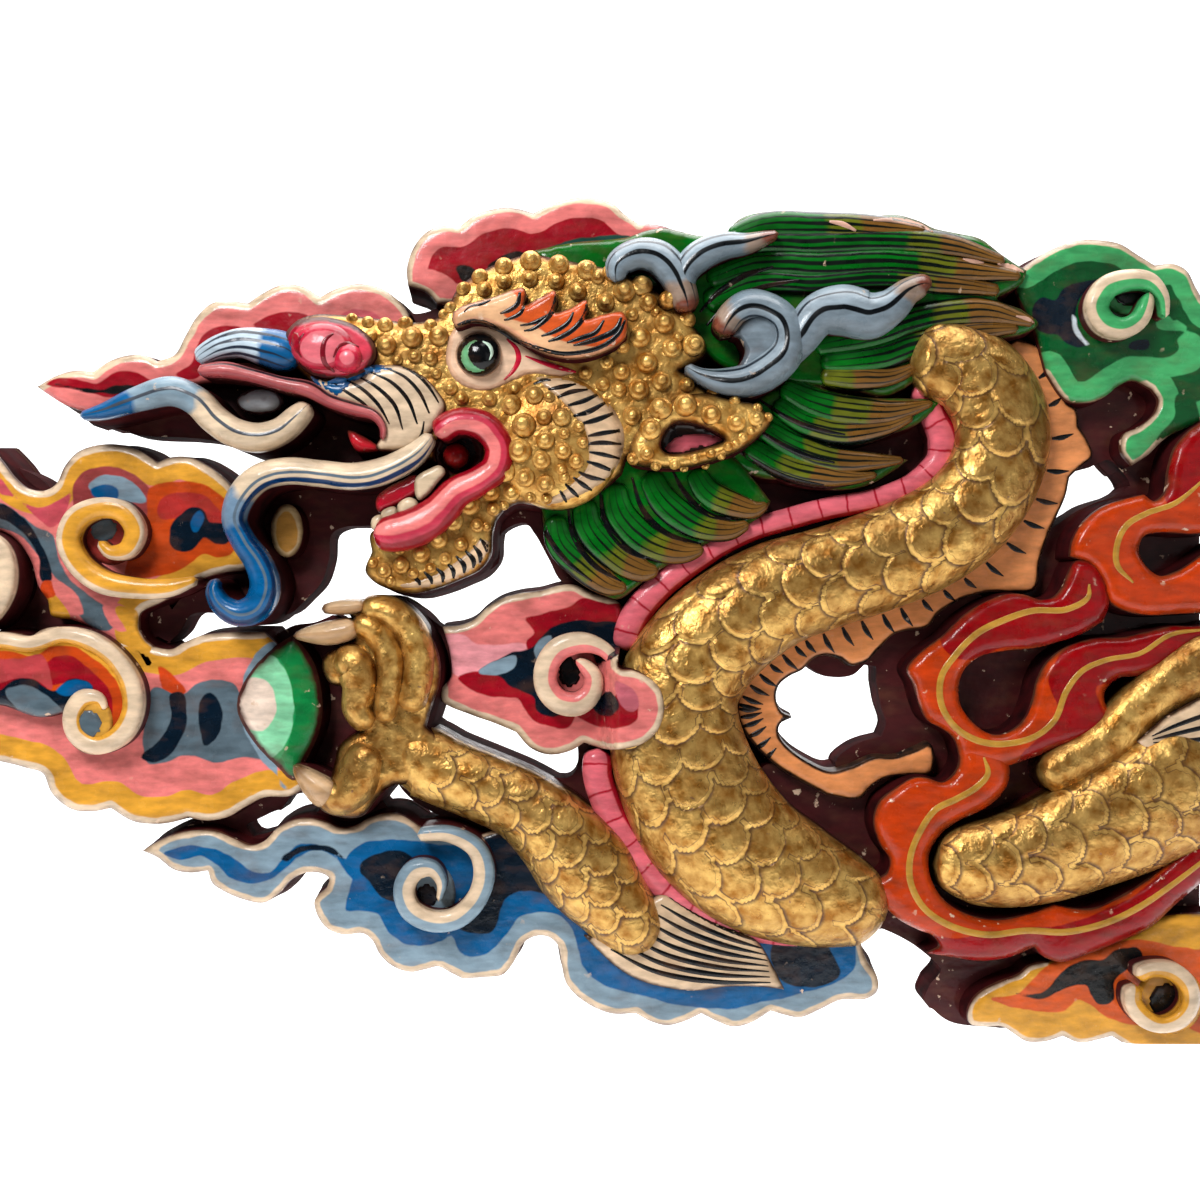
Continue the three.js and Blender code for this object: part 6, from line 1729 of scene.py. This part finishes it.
fan_cream = lacquer("fan_cream", [((206, 172, 136), 3), ((220, 186, 150), 60)], wall=None)
carve("cheek_fan", [daub(surface_of("cheek", "skull"), FAN, body=1.2)], fan_cream)
carve("cheek_lines", [stroke(surface_of("cheek_fan", "cheek", "skull"), line) for line in FAN_LINES], black_line)
carve("jaw_band", [daub(surface_of("jaw"), JAW_BAND, body=1)], fan_cream)
carve("jaw_lines", [stroke(surface_of("jaw_band", "jaw"), line) for line in JAW_LINES], black_line)

# The beads. Small turned bosses left standing all over the skull, ear, cheek and jaw, each a
# flat ring with a round tip, gilded like the ground that they stand on, with painted shade at the foot and a painted
# highlight on the tip.
BEADS = {
    "crest": [[-90, 242, 6], [-72, 250, 6.5], [-52, 254, 7.5], [-31, 251, 7.5], [-10, 247, 7.5], [9, 245, 7],
              [18, 232, 8], [31, 235, 8], [36, 223, 6.5], [51, 225, 6.5], [65, 210, 6.5], [70, 191, 8],
              [48, 208, 7.5], [54, 189, 7], [24, 214, 4.5], [-17, 231, 6.5], [-33, 239, 6], [-53, 241, 6],
              [-72, 239, 5.5], [-87, 233, 5.5], [-102, 233, 5.5], [-112, 219, 4.5], [-2, 242, 5],
              [58, 197, 4], [42, 216, 4]],
    "temple": [[4, 223, 6.5], [30, 197, 7.5], [17, 190, 5], [35, 178, 7.5], [5, 178, 5], [16, 171, 6],
               [-11, 170, 5], [2, 162, 5], [14, 158, 5.5], [29, 158, 7.5], [46, 164, 7], [24, 138, 6.5],
               [38, 128, 7.5]],
    "ear": [[46, 143, 8.5], [64, 146, 8], [83, 139, 7], [102, 133, 6.5], [117, 136, 5.5], [65, 161, 5.5],
            [85, 157, 4.5], [101, 149, 4], [118, 144, 3.5], [126, 137, 3.5], [25, 106, 4.5], [35, 110, 5],
            [42, 101, 4], [56, 102, 4], [63, 99, 3], [71, 106, 3.5], [79, 101, 3], [83, 110, 3.5],
            [91, 108, 3], [96, 115, 3.5], [102, 117, 3], [107, 122, 3.5], [113, 127, 3], [119, 131, 2.5]],
    "cheek": [[-64, 158, 5.5], [-49, 153, 6.5], [-38, 152, 4], [-66, 146, 7.5], [-83, 151, 5.5],
              [-57, 131, 8.5], [-42, 137, 5.5], [-29, 137, 6.5], [-41, 120, 6.5], [-60, 112, 8.5],
              [-27, 125, 4], [-28, 112, 6], [-44, 105, 6.5], [-16, 130, 4], [-13, 118, 4],
              [-18, 104, 5.5], [-29, 98, 4], [-71, 97, 8], [-56, 92, 7], [-41, 87, 6.5], [-27, 92, 4],
              [-66, 81, 6.5], [-40, 76, 4], [-52, 77, 4]],
    "bridge": [[-160, 191, 7], [-141, 197, 7.5], [-139, 183, 5], [-121, 198, 7], [-127, 181, 5],
               [-161, 206, 5.5], [-146, 207, 5.5], [-127, 206, 4.5], [-152, 180, 4], [-112, 159, 5],
               [-104, 151, 5], [-123, 170, 4], [-117, 214, 4], [-186, 211, 4], [-174, 208, 4.5],
               [-172, 198, 4.5]],
    "jaw": [[-82, 81, 7], [-98, 72, 8], [-110, 59, 7], [-121, 46, 7], [-134, 35, 6.5], [-149, 26, 6],
            [-162, 22, 5.5], [-92, 56, 5], [-104, 42, 5], [-116, 31, 4.5], [-80, 68, 5], [-72, 71, 3.5],
            [-85, 55, 3.5], [-140, 20, 4], [-127, 24, 4], [-157, 14, 4], [-170, 28, 4], [-150, 38, 4]],
}
BEAD_PROFILE = [(1, -0.6), (1, 0.15), (0.92, 0.36), (0.78, 0.48), (0.66, 0.54), (0.58, 0.72), (0.42, 1.0),
                (0.2, 1.14)]
# Per ring from foot to tip: small values paint shade at the foot and under the dome, negative values paint a highlight
# on the tip.
BEAD_LIGHT_AND_SHADE = [0.5, 1.4, 20, 20, 1.7, 20, -2.4, -3, -3]
BEAD_SIDES = 14
BEAD_SIZE = 1.08


def turned_bead():
    """One bead of unit radius, its axis along Z, as if turned on a lathe."""
    turns = [2 * math.pi * k / BEAD_SIDES for k in range(BEAD_SIDES)]
    points = [(radius * math.cos(t), radius * math.sin(t), rise) for radius, rise in BEAD_PROFILE for t in turns]
    faces = []
    for level in range(len(BEAD_PROFILE) - 1):
        for k in range(BEAD_SIDES):
            a, b = level * BEAD_SIDES + k, level * BEAD_SIDES + (k + 1) % BEAD_SIDES
            faces.append((a, b, b + BEAD_SIDES, a + BEAD_SIDES))
    faces.append(tuple(reversed(range(BEAD_SIDES))))
    top = len(points) - BEAD_SIDES
    points.append((0, 0, 1.18))
    faces += [(top + k, top + (k + 1) % BEAD_SIDES, len(points) - 1) for k in range(BEAD_SIDES)]
    mesh = bpy.data.meshes.new("turned_bead")
    mesh.from_pydata(points, [], faces)
    mesh.shade_smooth()
    return bpy.data.objects.new("turned_bead", mesh)


def bead_tree(bead):
    """Sets a bead on every point, turned to the carving's own lean and scaled by its radius."""
    tree = bpy.data.node_groups.new("set_beads", "GeometryNodeTree")
    for label, kind, way in (("Points", "NodeSocketGeometry", "INPUT"), ("Size", "NodeSocketFloat", "INPUT"),
                             ("Finish", "NodeSocketMaterial", "INPUT"), ("Beads", "NodeSocketGeometry", "OUTPUT")):
        tree.interface.new_socket(label, in_out=way, socket_type=kind)
    start = tree.nodes.new("NodeGroupInput")
    end = tree.nodes.new("NodeGroupOutput")
    stamp = tree.nodes.new("GeometryNodeInstanceOnPoints")
    source = tree.nodes.new("GeometryNodeObjectInfo")
    source.inputs["Object"].default_value = bead
    radius = add_node(tree, "GeometryNodeInputNamedAttribute", data_type="FLOAT", in_Name="radius")
    lean = add_node(tree, "GeometryNodeInputNamedAttribute", data_type="FLOAT_VECTOR", in_Name="lean")
    turn = add_node(tree, "FunctionNodeAlignRotationToVector", axis="Z")
    real = tree.nodes.new("GeometryNodeRealizeInstances")
    finish = tree.nodes.new("GeometryNodeSetMaterial")
    wire(tree, start.outputs["Points"], stamp.inputs["Points"])
    wire(tree, source.outputs["Geometry"], stamp.inputs["Instance"])
    wire(tree, lean.outputs["Attribute"], turn.inputs["Vector"])
    wire(tree, turn.outputs["Rotation"], stamp.inputs["Rotation"])
    wire(tree, sum_node(tree, "MULTIPLY", radius.outputs["Attribute"], start.outputs["Size"]),
         stamp.inputs["Scale"])
    wire(tree, stamp.outputs["Instances"], real.inputs["Geometry"])
    wire(tree, real.outputs["Geometry"], finish.inputs["Geometry"])
    wire(tree, start.outputs["Finish"], finish.inputs["Material"])
    wire(tree, finish.outputs["Geometry"], end.inputs["Beads"])
    return tree


def set_beads(name, beads, surface, tree, size, paint):
    """A cluster of beads on the carving, made with the tree and kept as a plain mesh."""
    spots = touch(surface, [bead[:2] for bead in beads], [0] * len(beads)) * MM
    leans = []
    for spot in spots:
        way = surface.find_nearest(Vector(spot))[1]
        leans.append((way + Vector((0, -1.2, 0))).normalized())
    points = bpy.data.meshes.new(name + "_points")
    points.from_pydata(spots.tolist(), [], [])
    points.attributes.new("radius", "FLOAT", "POINT").data.foreach_set("value", [bead[2] for bead in beads])
    points.attributes.new("lean", "FLOAT_VECTOR", "POINT").data.foreach_set(
        "vector", [share for lean in leans for share in lean])
    seed = bpy.data.objects.new(name + "_points", points)
    bpy.context.collection.objects.link(seed)
    grow = seed.modifiers.new("beads", "NODES")
    grow.node_group = tree
    sockets = {item.name: item.identifier for item in tree.interface.items_tree if item.in_out == "INPUT"}
    grow[sockets["Size"]] = size
    grow[sockets["Finish"]] = paint
    evaluated = seed.evaluated_get(bpy.context.evaluated_depsgraph_get())
    mesh = bpy.data.meshes.new_from_object(evaluated)
    mesh.name = name
    seed.modifiers.remove(grow)
    bpy.data.objects.remove(seed)
    # The beads' painted shade and painted highlight, ring by ring, in the groove field that the gilding reads.
    bead_light_and_shade = [level for level in BEAD_LIGHT_AND_SHADE[:-1] for side in range(BEAD_SIDES)] + [BEAD_LIGHT_AND_SHADE[-1]]
    mesh.attributes.new("groove", "FLOAT", "POINT").data.foreach_set("value", bead_light_and_shade * len(beads))
    for layer, value in (("deep", 0.0), ("rim", 40.0)):
        mesh.attributes.new(layer, "FLOAT", "POINT").data.foreach_set("value", [value] * len(mesh.vertices))
    piece = bpy.data.objects.new(name, mesh)
    bpy.context.collection.objects.link(piece)
    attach(piece, "root")
    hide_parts("dragon_relief")


bead = turned_bead()
beads_tree = bead_tree(bead)
head_surface = surface_of("skull", "jaw", "cheek", "ear", "cheek_fan", "brow_flame", "muzzle", "eye_socket")
for cluster, beads in BEADS.items():
    set_beads("beads_" + cluster, beads, head_surface, beads_tree, BEAD_SIZE * MM, head_gold)
bpy.data.objects.remove(bead)

# The whiskers and lips of the snout. Free-standing curls of wood, undercut and rounded, that
# start at the nose and the corner of the mouth and end in a tight hook.
UPPER_LIP = [
  [-302, 172, 4], [-282, 173, 6], [-262, 169, 5], [-240, 163, 5], [-218, 158, 6], [-204, 150, 5],
  [-186, 144, 5], [-170, 139, 4], [-163, 130, 3], [-163, 120, 2],
]
MOUSTACHE = [
  [-303, 180, 7], [-288, 189, 9], [-270, 193, 11], [-252, 190, 14], [-238, 186, 15], [-226, 178, 10],
]
SNOUT_WHISKER = [
  [-390, 138, 3], [-372, 142, 6], [-348, 151, 9], [-322, 157, 11], [-304, 150, 11], [-290, 136, 11],
  [-275, 126, 11], [-257, 122, 11], [-240, 127, 10], [-227, 138, 9], [-218, 147, 6],
]
LONG_WHISKER = [
  [-126, 124, 5], [-140, 109, 9], [-160, 98, 10], [-185, 93, 10], [-210, 95, 10], [-235, 97, 10],
  [-256, 92, 10], [-270, 78, 10], [-275, 60, 9], [-268, 44, 9], [-257, 28, 10], [-252, 10, 11],
  [-258, -5, 11], [-271, -10, 10], [-284, -4, 8], [-290, 7, 6], [-288, 16, 3],
]

WHISKER_CREAM = (214, 190, 160)
WHISKER_LINE = (30, 40, 56)
carve("upper_lip", [rope(UPPER_LIP, 90, 82, foot=20)], roped("lip_rope", [((150, 62, 66), -0.2), ((176, 92, 92), 1)], lines=[(0.7, 0.9, (40, 20, 24))]))
carve("moustache", [rope(MOUSTACHE, 88, 74, foot=3.1)],
      roped("moustache_paint", [((176, 192, 204), 1)], ends=[("left", 34, STRONG_BLUE)],
            lines=[(-0.7, 1.1, WHISKER_LINE), (-0.25, 1.2, WHISKER_LINE), (0.25, 1.2, WHISKER_LINE),
                   (0.7, 1.1, WHISKER_LINE)]))
carve("snout_whisker", [rope(SNOUT_WHISKER, 88, 74, foot=3.3)],
      roped("snout_whisker_paint", [(WHISKER_CREAM, 1)],
            ends=[("along", 92, GREY_BLUE), ("along", 40, STRONG_BLUE)], lines=[(0.15, 1.3, (60, 66, 76))]))
carve("long_whisker", [rope(LONG_WHISKER, 96, 80, foot=3.5)],
      roped("long_whisker_paint", [(WHISKER_CREAM, 1)],
            ends=[("left", 142, (110, 136, 160)), ("left", 122, STRONG_BLUE)],
            lines=[(0.1, 1.1, (90, 106, 120)), (0.66, 1.8, (0, 46, 90))]))

# The horns. Two grey-blue horns that curl at the root and lie back over the mane to a point.
HORN_CURL = [
  [12, 238, 5], [14, 252, 8], [28, 260, 9], [43, 258, 10], [54, 248, 10], [61, 234, 9], [66, 216, 8],
]
HORN_TIP = [
  [62, 226, 7], [64, 246, 8], [74, 258, 9], [92, 266, 8], [110, 268, 6], [124, 272, 4], [134, 275, 2],
]
HORN_BACK_TIP = [
  [136, 178, 8], [150, 196, 11], [164, 214, 13], [182, 218, 15], [203, 214, 14], [218, 220, 11],
  [232, 232, 8], [244, 237, 6], [249, 236, 2],
]
HORN_BACK = [
    [64, 175, 3], [76, 168, 5], [92, 164, 8], [110, 165, 10], [127, 173, 11], [140, 186, 10.5], [142, 201, 9],
    [137, 213, 8.5], [124, 221, 8.5], [112, 222, 9], [101, 216, 8.5], [94, 206, 8], [91, 198, 5],
]
HORN_HOLLOW = [
    [[100, 198], [106, 208], [117, 214], [129, 212], [135, 203], [136, 191], [129, 180], [117, 173], [107, 172]],
    [[104, 176], [108, 182], [109, 188], [107, 193], [104, 197]],
]

horn_paint = roped("horn_paint", [((118, 132, 142), 0.2), ((138, 152, 162), 1)],
                   lines=[(0.1, 1.9, (8, 12, 16)), (0.75, 0.8, (30, 40, 50))],
                   ends=[("left", 24, (150, 128, 112)), ("left", 10, (120, 64, 48))])
HORN_SPREAD = 1.25


def spread(stations):
    return [[x, z, half * HORN_SPREAD] for x, z, half in stations]


carve("horn_curl", [rope(spread(HORN_CURL), 92, 74, foot=3.7)], horn_paint)
carve("horn_tip", [rope(spread(HORN_TIP), 90, 74, foot=3.9)], horn_paint)
carve("horn_back", [rope(spread(HORN_BACK), 98, 76, foot=4.1)], horn_paint)
carve("horn_hollow", [tile(HORN_HOLLOW, 84, foot=40, roll=5, drop=4, pitch=2)],
      lacquer("hollow_grey", [((92, 106, 116), 3), ((128, 142, 152), 60)], wall=(52, 58, 62)))
carve("horn_back_tip", [rope(spread(HORN_BACK_TIP), 92, 74, foot=40)], horn_paint)

# The board. What is left of the plank behind the carving: a sunk ground painted dark maroon, and
# the flat sawn back, where the wood is bare and grey-brown with age.
GROUND_TOP = 30
BACK_SKIN = 7
SMALLEST_GAP = 60

GROUND = [
  [[[-170, 226], [-150, 222], [-140, 215], [-124, 218], [-100, 230], [-100, 190], [-160, 190]]],
  [[[0, 20], [30, 30], [70, 60], [130, 75], [180, 40], [120, 0], [60, -40], [20, -50], [0, -20]]],
  [[[-396, 150], [-380, 131], [-362, 128], [-335, 120], [-300, 118], [-282, 116], [-262, 110], [-246, 104]],
    [[-262, 92], [-290, 70], [-298, 30], [-320, -6], [-334, -24], [-318, -32], [-306, -24], [-296, -10]],
    [[-262, -16], [-240, -14], [-224, -9], [-213, 1], [-203, 12], [-197, 30], [-195, 48], [-186, 53],
      [-168, 54]],
    [[-130, 60], [-90, 110], [-120, 160], [-200, 180], [-300, 170], [-350, 160]]],
  [[[-100, 12], [-74, 27], [-73, 46], [-66, 53], [-54, 56], [-49, 50]],
    [[-38, 30], [-29, 14], [0, 0], [30, 40], [0, 100], [-80, 100], [-130, 50]]],
  [[[100, 120], [90, 60], [110, 40], [170, 50], [230, 66], [270, 95], [278, 130], [262, 165], [200, 170],
    [130, 160]]],
  [[[340, 150], [345, 110], [353, 96]],
    [[361, 99], [370, 102], [377, 96], [384, 87]],
    [[386, 81], [400, 70], [440, 80], [475, 120], [475, 200], [380, 200]]],
  [[[390, 84], [372, 75], [358, 70], [344, 63]],
    [[326, 50], [310, 24], [310, -10], [360, -20], [475, -20], [475, 80]]],
  [[[55, 200], [60, 155], [115, 155], [120, 200]]],
  [[[-355, -2], [-313, -4], [-313, -22], [-355, -28]]],
  [[[-200, -84], [-176, -84], [-176, -106], [-200, -106]]],
  [[[296, 236], [320, 236], [320, 218], [296, 218]]],
  [[[270, 10], [200, -20], [145, -40], [154, -50], [165, -56], [178, -58], [190, -56], [200, -48]],
    [[201, -60], [204, -76], [208, -90]],
    [[205, -99], [193, -102], [182, -107], [171, -118]],
    [[180, -135], [200, -150], [215, -160], [260, -140], [320, -90], [330, -20]]],
  [[[120, -120], [150, -128], [175, -132], [200, -130], [240, -125], [280, -110], [320, -150], [320, -240], [215, -245], [150, -230],
    [110, -180]]],
  [[[195, -240], [222, -251], [236, -259], [248, -268]],
    [[240, -279], [236, -291], [246, -303], [262, -316]],
    [[300, -321], [380, -320], [475, -335], [475, -150], [400, -200], [300, -225], [240, -235]]],
  [[[262, -40], [380, 12], [475, 60], [475, -240], [300, -230], [250, -200], [290, -140], [255, -90]]],
  [[[-475, 126], [-440, 104], [-408, 89], [-398, 80], [-350, 40], [-330, -20], [-335, -60], [-330, -110],
    [-400, -120], [-475, -100]]],
  [[[-318, -177], [-304, -166], [-290, -160], [-262, -145], [-225, -140]],
    [[-232, -153], [-247, -159], [-257, -164]],
    [[-252, -172], [-238, -168], [-222, -161], [-210, -157]],
    [[-200, -150], [-160, -152], [-160, -166], [-200, -178], [-250, -190], [-300, -185]]],
  [[[-190, -165], [-172, -140], [-158, -146], [-152, -153], [-140, -156], [-126, -159], [-113, -154]],
    [[-104, -142], [-70, -150], [-40, -165], [-60, -200], [-110, -185], [-160, -170]]],
  [[[-17, -96], [-17, -122], [-23, -129], [-42, -127], [-62, -122]],
    [[-80, -112], [-104, -102], [-118, -96], [-126, -86], [-124, -74]],
    [[-150, -74], [-150, -140], [-70, -175], [30, -160], [30, -100]]],
  [[[-145, -4], [-128, -10], [-113, -20], [-100, -19], [-90, -40], [-100, -80], [-124, -74], [-160, -60]]],
  [[[-232, -20], [-215, -17], [-190, -12], [-180, -60], [-180, -160], [-205, -158], [-222, -142],
    [-250, -120], [-255, -40]]],
  [[[-80, -170], [20, -215], [170, -240], [170, -290], [20, -290], [-20, -240]]],
]


def pinholes(spots, faces, kept):
    """The triangles of the gaps that are too small for a saw, which stay filled."""
    beside = {}
    for index in np.flatnonzero(~kept):
        for k in range(3):
            beside.setdefault(frozenset((faces[index][k], faces[index][(k + 1) % 3])), []).append(index)
    a, b, c = (spots[faces[:, k]] for k in range(3))
    areas = np.abs((b - a)[:, 0] * (c - a)[:, 1] - (b - a)[:, 1] * (c - a)[:, 0]) / 2
    neighbours = {}
    for pair in beside.values():
        if len(pair) == 2:
            neighbours.setdefault(pair[0], []).append(pair[1])
            neighbours.setdefault(pair[1], []).append(pair[0])
    filled = np.zeros(len(faces), bool)
    seen_before = set()
    for index in np.flatnonzero(~kept):
        if index in seen_before:
            continue
        group = [index]
        seen_before.add(index)
        for member in group:
            for other in neighbours.get(member, []):
                if other not in seen_before:
                    seen_before.add(other)
                    group.append(other)
        filled[group] = areas[group].sum() < SMALLEST_GAP
    return filled


def crossing_shape(rings, low, high):
    """One sheet of triangles over everything that the rings cover, inside the panel's square cuts."""
    box = np.array([[low[0], low[1]], [high[0], low[1]], [high[0], high[1]], [low[0], high[1]]], float)
    corners = []
    edges = []
    for ring in [box] + rings:
        first = len(corners)
        corners += [Vector(point) for point in ring]
        edges += [(first + k, first + (k + 1) % len(ring)) for k in range(len(ring))]
    spots, _, faces = flat.delaunay_2d_cdt(corners, edges, [], 0, 1e-3)[:3]
    spots = np.array([spot[:] for spot in spots])
    faces = np.array(faces)
    middle = spots[faces].mean(axis=1)
    kept = np.zeros(len(faces), bool)
    for ring in rings:
        near = ~kept
        kept[near] |= inside(middle[near], ring)
    kept &= (middle > box[0]).all(axis=1) & (middle < box[2]).all(axis=1)
    kept |= pinholes(spots, faces, kept)
    faces = faces[kept]
    a, b, c = (spots[faces[:, k]] for k in range(3))
    turn = (b - a)[:, 0] * (c - a)[:, 1] - (b - a)[:, 1] * (c - a)[:, 0]
    faces[turn < 0] = faces[turn < 0][:, ::-1]
    faces = faces[np.abs(turn) > 1e-6]
    used, renumbered = np.unique(faces, return_inverse=True)
    return spots[used], renumbered.reshape(-1, 3)


def plate(rings, front, back):
    """A flat plate of wood between two depths, cut to the outline of everything it carries."""
    spots, faces = crossing_shape(rings, (-470, -340), (470, 320))
    count = len(spots)
    front_points = np.column_stack([spots[:, 0], np.full(count, -front), spots[:, 1]])
    back_points = front_points.copy()
    back_points[:, 1] = -back
    solid = [tuple(face) for face in faces] + [tuple(face[::-1] + count) for face in faces]
    solid += [(b, a, a + count, b + count) for a, b in open_edges(faces)]
    layers = {
        "rim": np.full(2 * count, 40.0),
        "deep": np.concatenate([np.full(count, 20.0), np.full(count, 60.0)]),
    }
    return np.vstack([front_points, back_points]), solid, layers


def seen_at_foot(stretches, height):
    """The outline of sunk ground: its foot shows where a wall looks back at the eye's axis."""
    ring = trace(stretches, 4)
    ways = outward_normals(ring)
    ring = to_panel(ring, height)[:, [0, 2]]
    inward = -np.sum(ways * ring, axis=1) / np.maximum(np.linalg.norm(ring, axis=1), 1)
    share = np.clip(inward * 3 + 0.5, 0, 1)
    foot_scale = EYE_DISTANCE / (EYE_DISTANCE - height)
    return ring * (1 + (foot_scale - 1) * share)[:, None]


ground_rings = [seen_at_foot(stretches, GROUND_TOP) for stretches in GROUND]
ground_paint = lacquer("ground_paint", [(MAROON, 30), (MAROON, 60)], rough=0.3)
carve("ground", [plate(ground_rings, GROUND_TOP, 2)], ground_paint, smooth=False)
carve("back_board", [plate(back_outlines + ground_rings, BACK_SKIN, 0)], sawn_wood, smooth=False)

# The marks on the ground. A yellow stub of a strut left between the cloud and the jaw, and a low
# knob in the recess under the snout, whose pale bluish paint is a painted highlight.
STUB = [-235, 52, 12, 20]
HIGHLIGHT_KNOB = [-255, 149, 18, 10]
carve("stub", [tile([oval_ring(*STUB)], 50, foot=20, lean=2, roll=5, drop=3)],
      lacquer("stub_paint", [((206, 176, 128), 4), ((190, 136, 62), 60)], wobble=3))
# The knob's pale bluish paint is a painted highlight in the dark recess.
carve("knob", [boss(HIGHLIGHT_KNOB, 66, 54, foot=20)],
      lacquer("knob_painted_highlight", [((90, 70, 76), 3), ((176, 184, 192), 60)], rough=0.15, wobble=6))
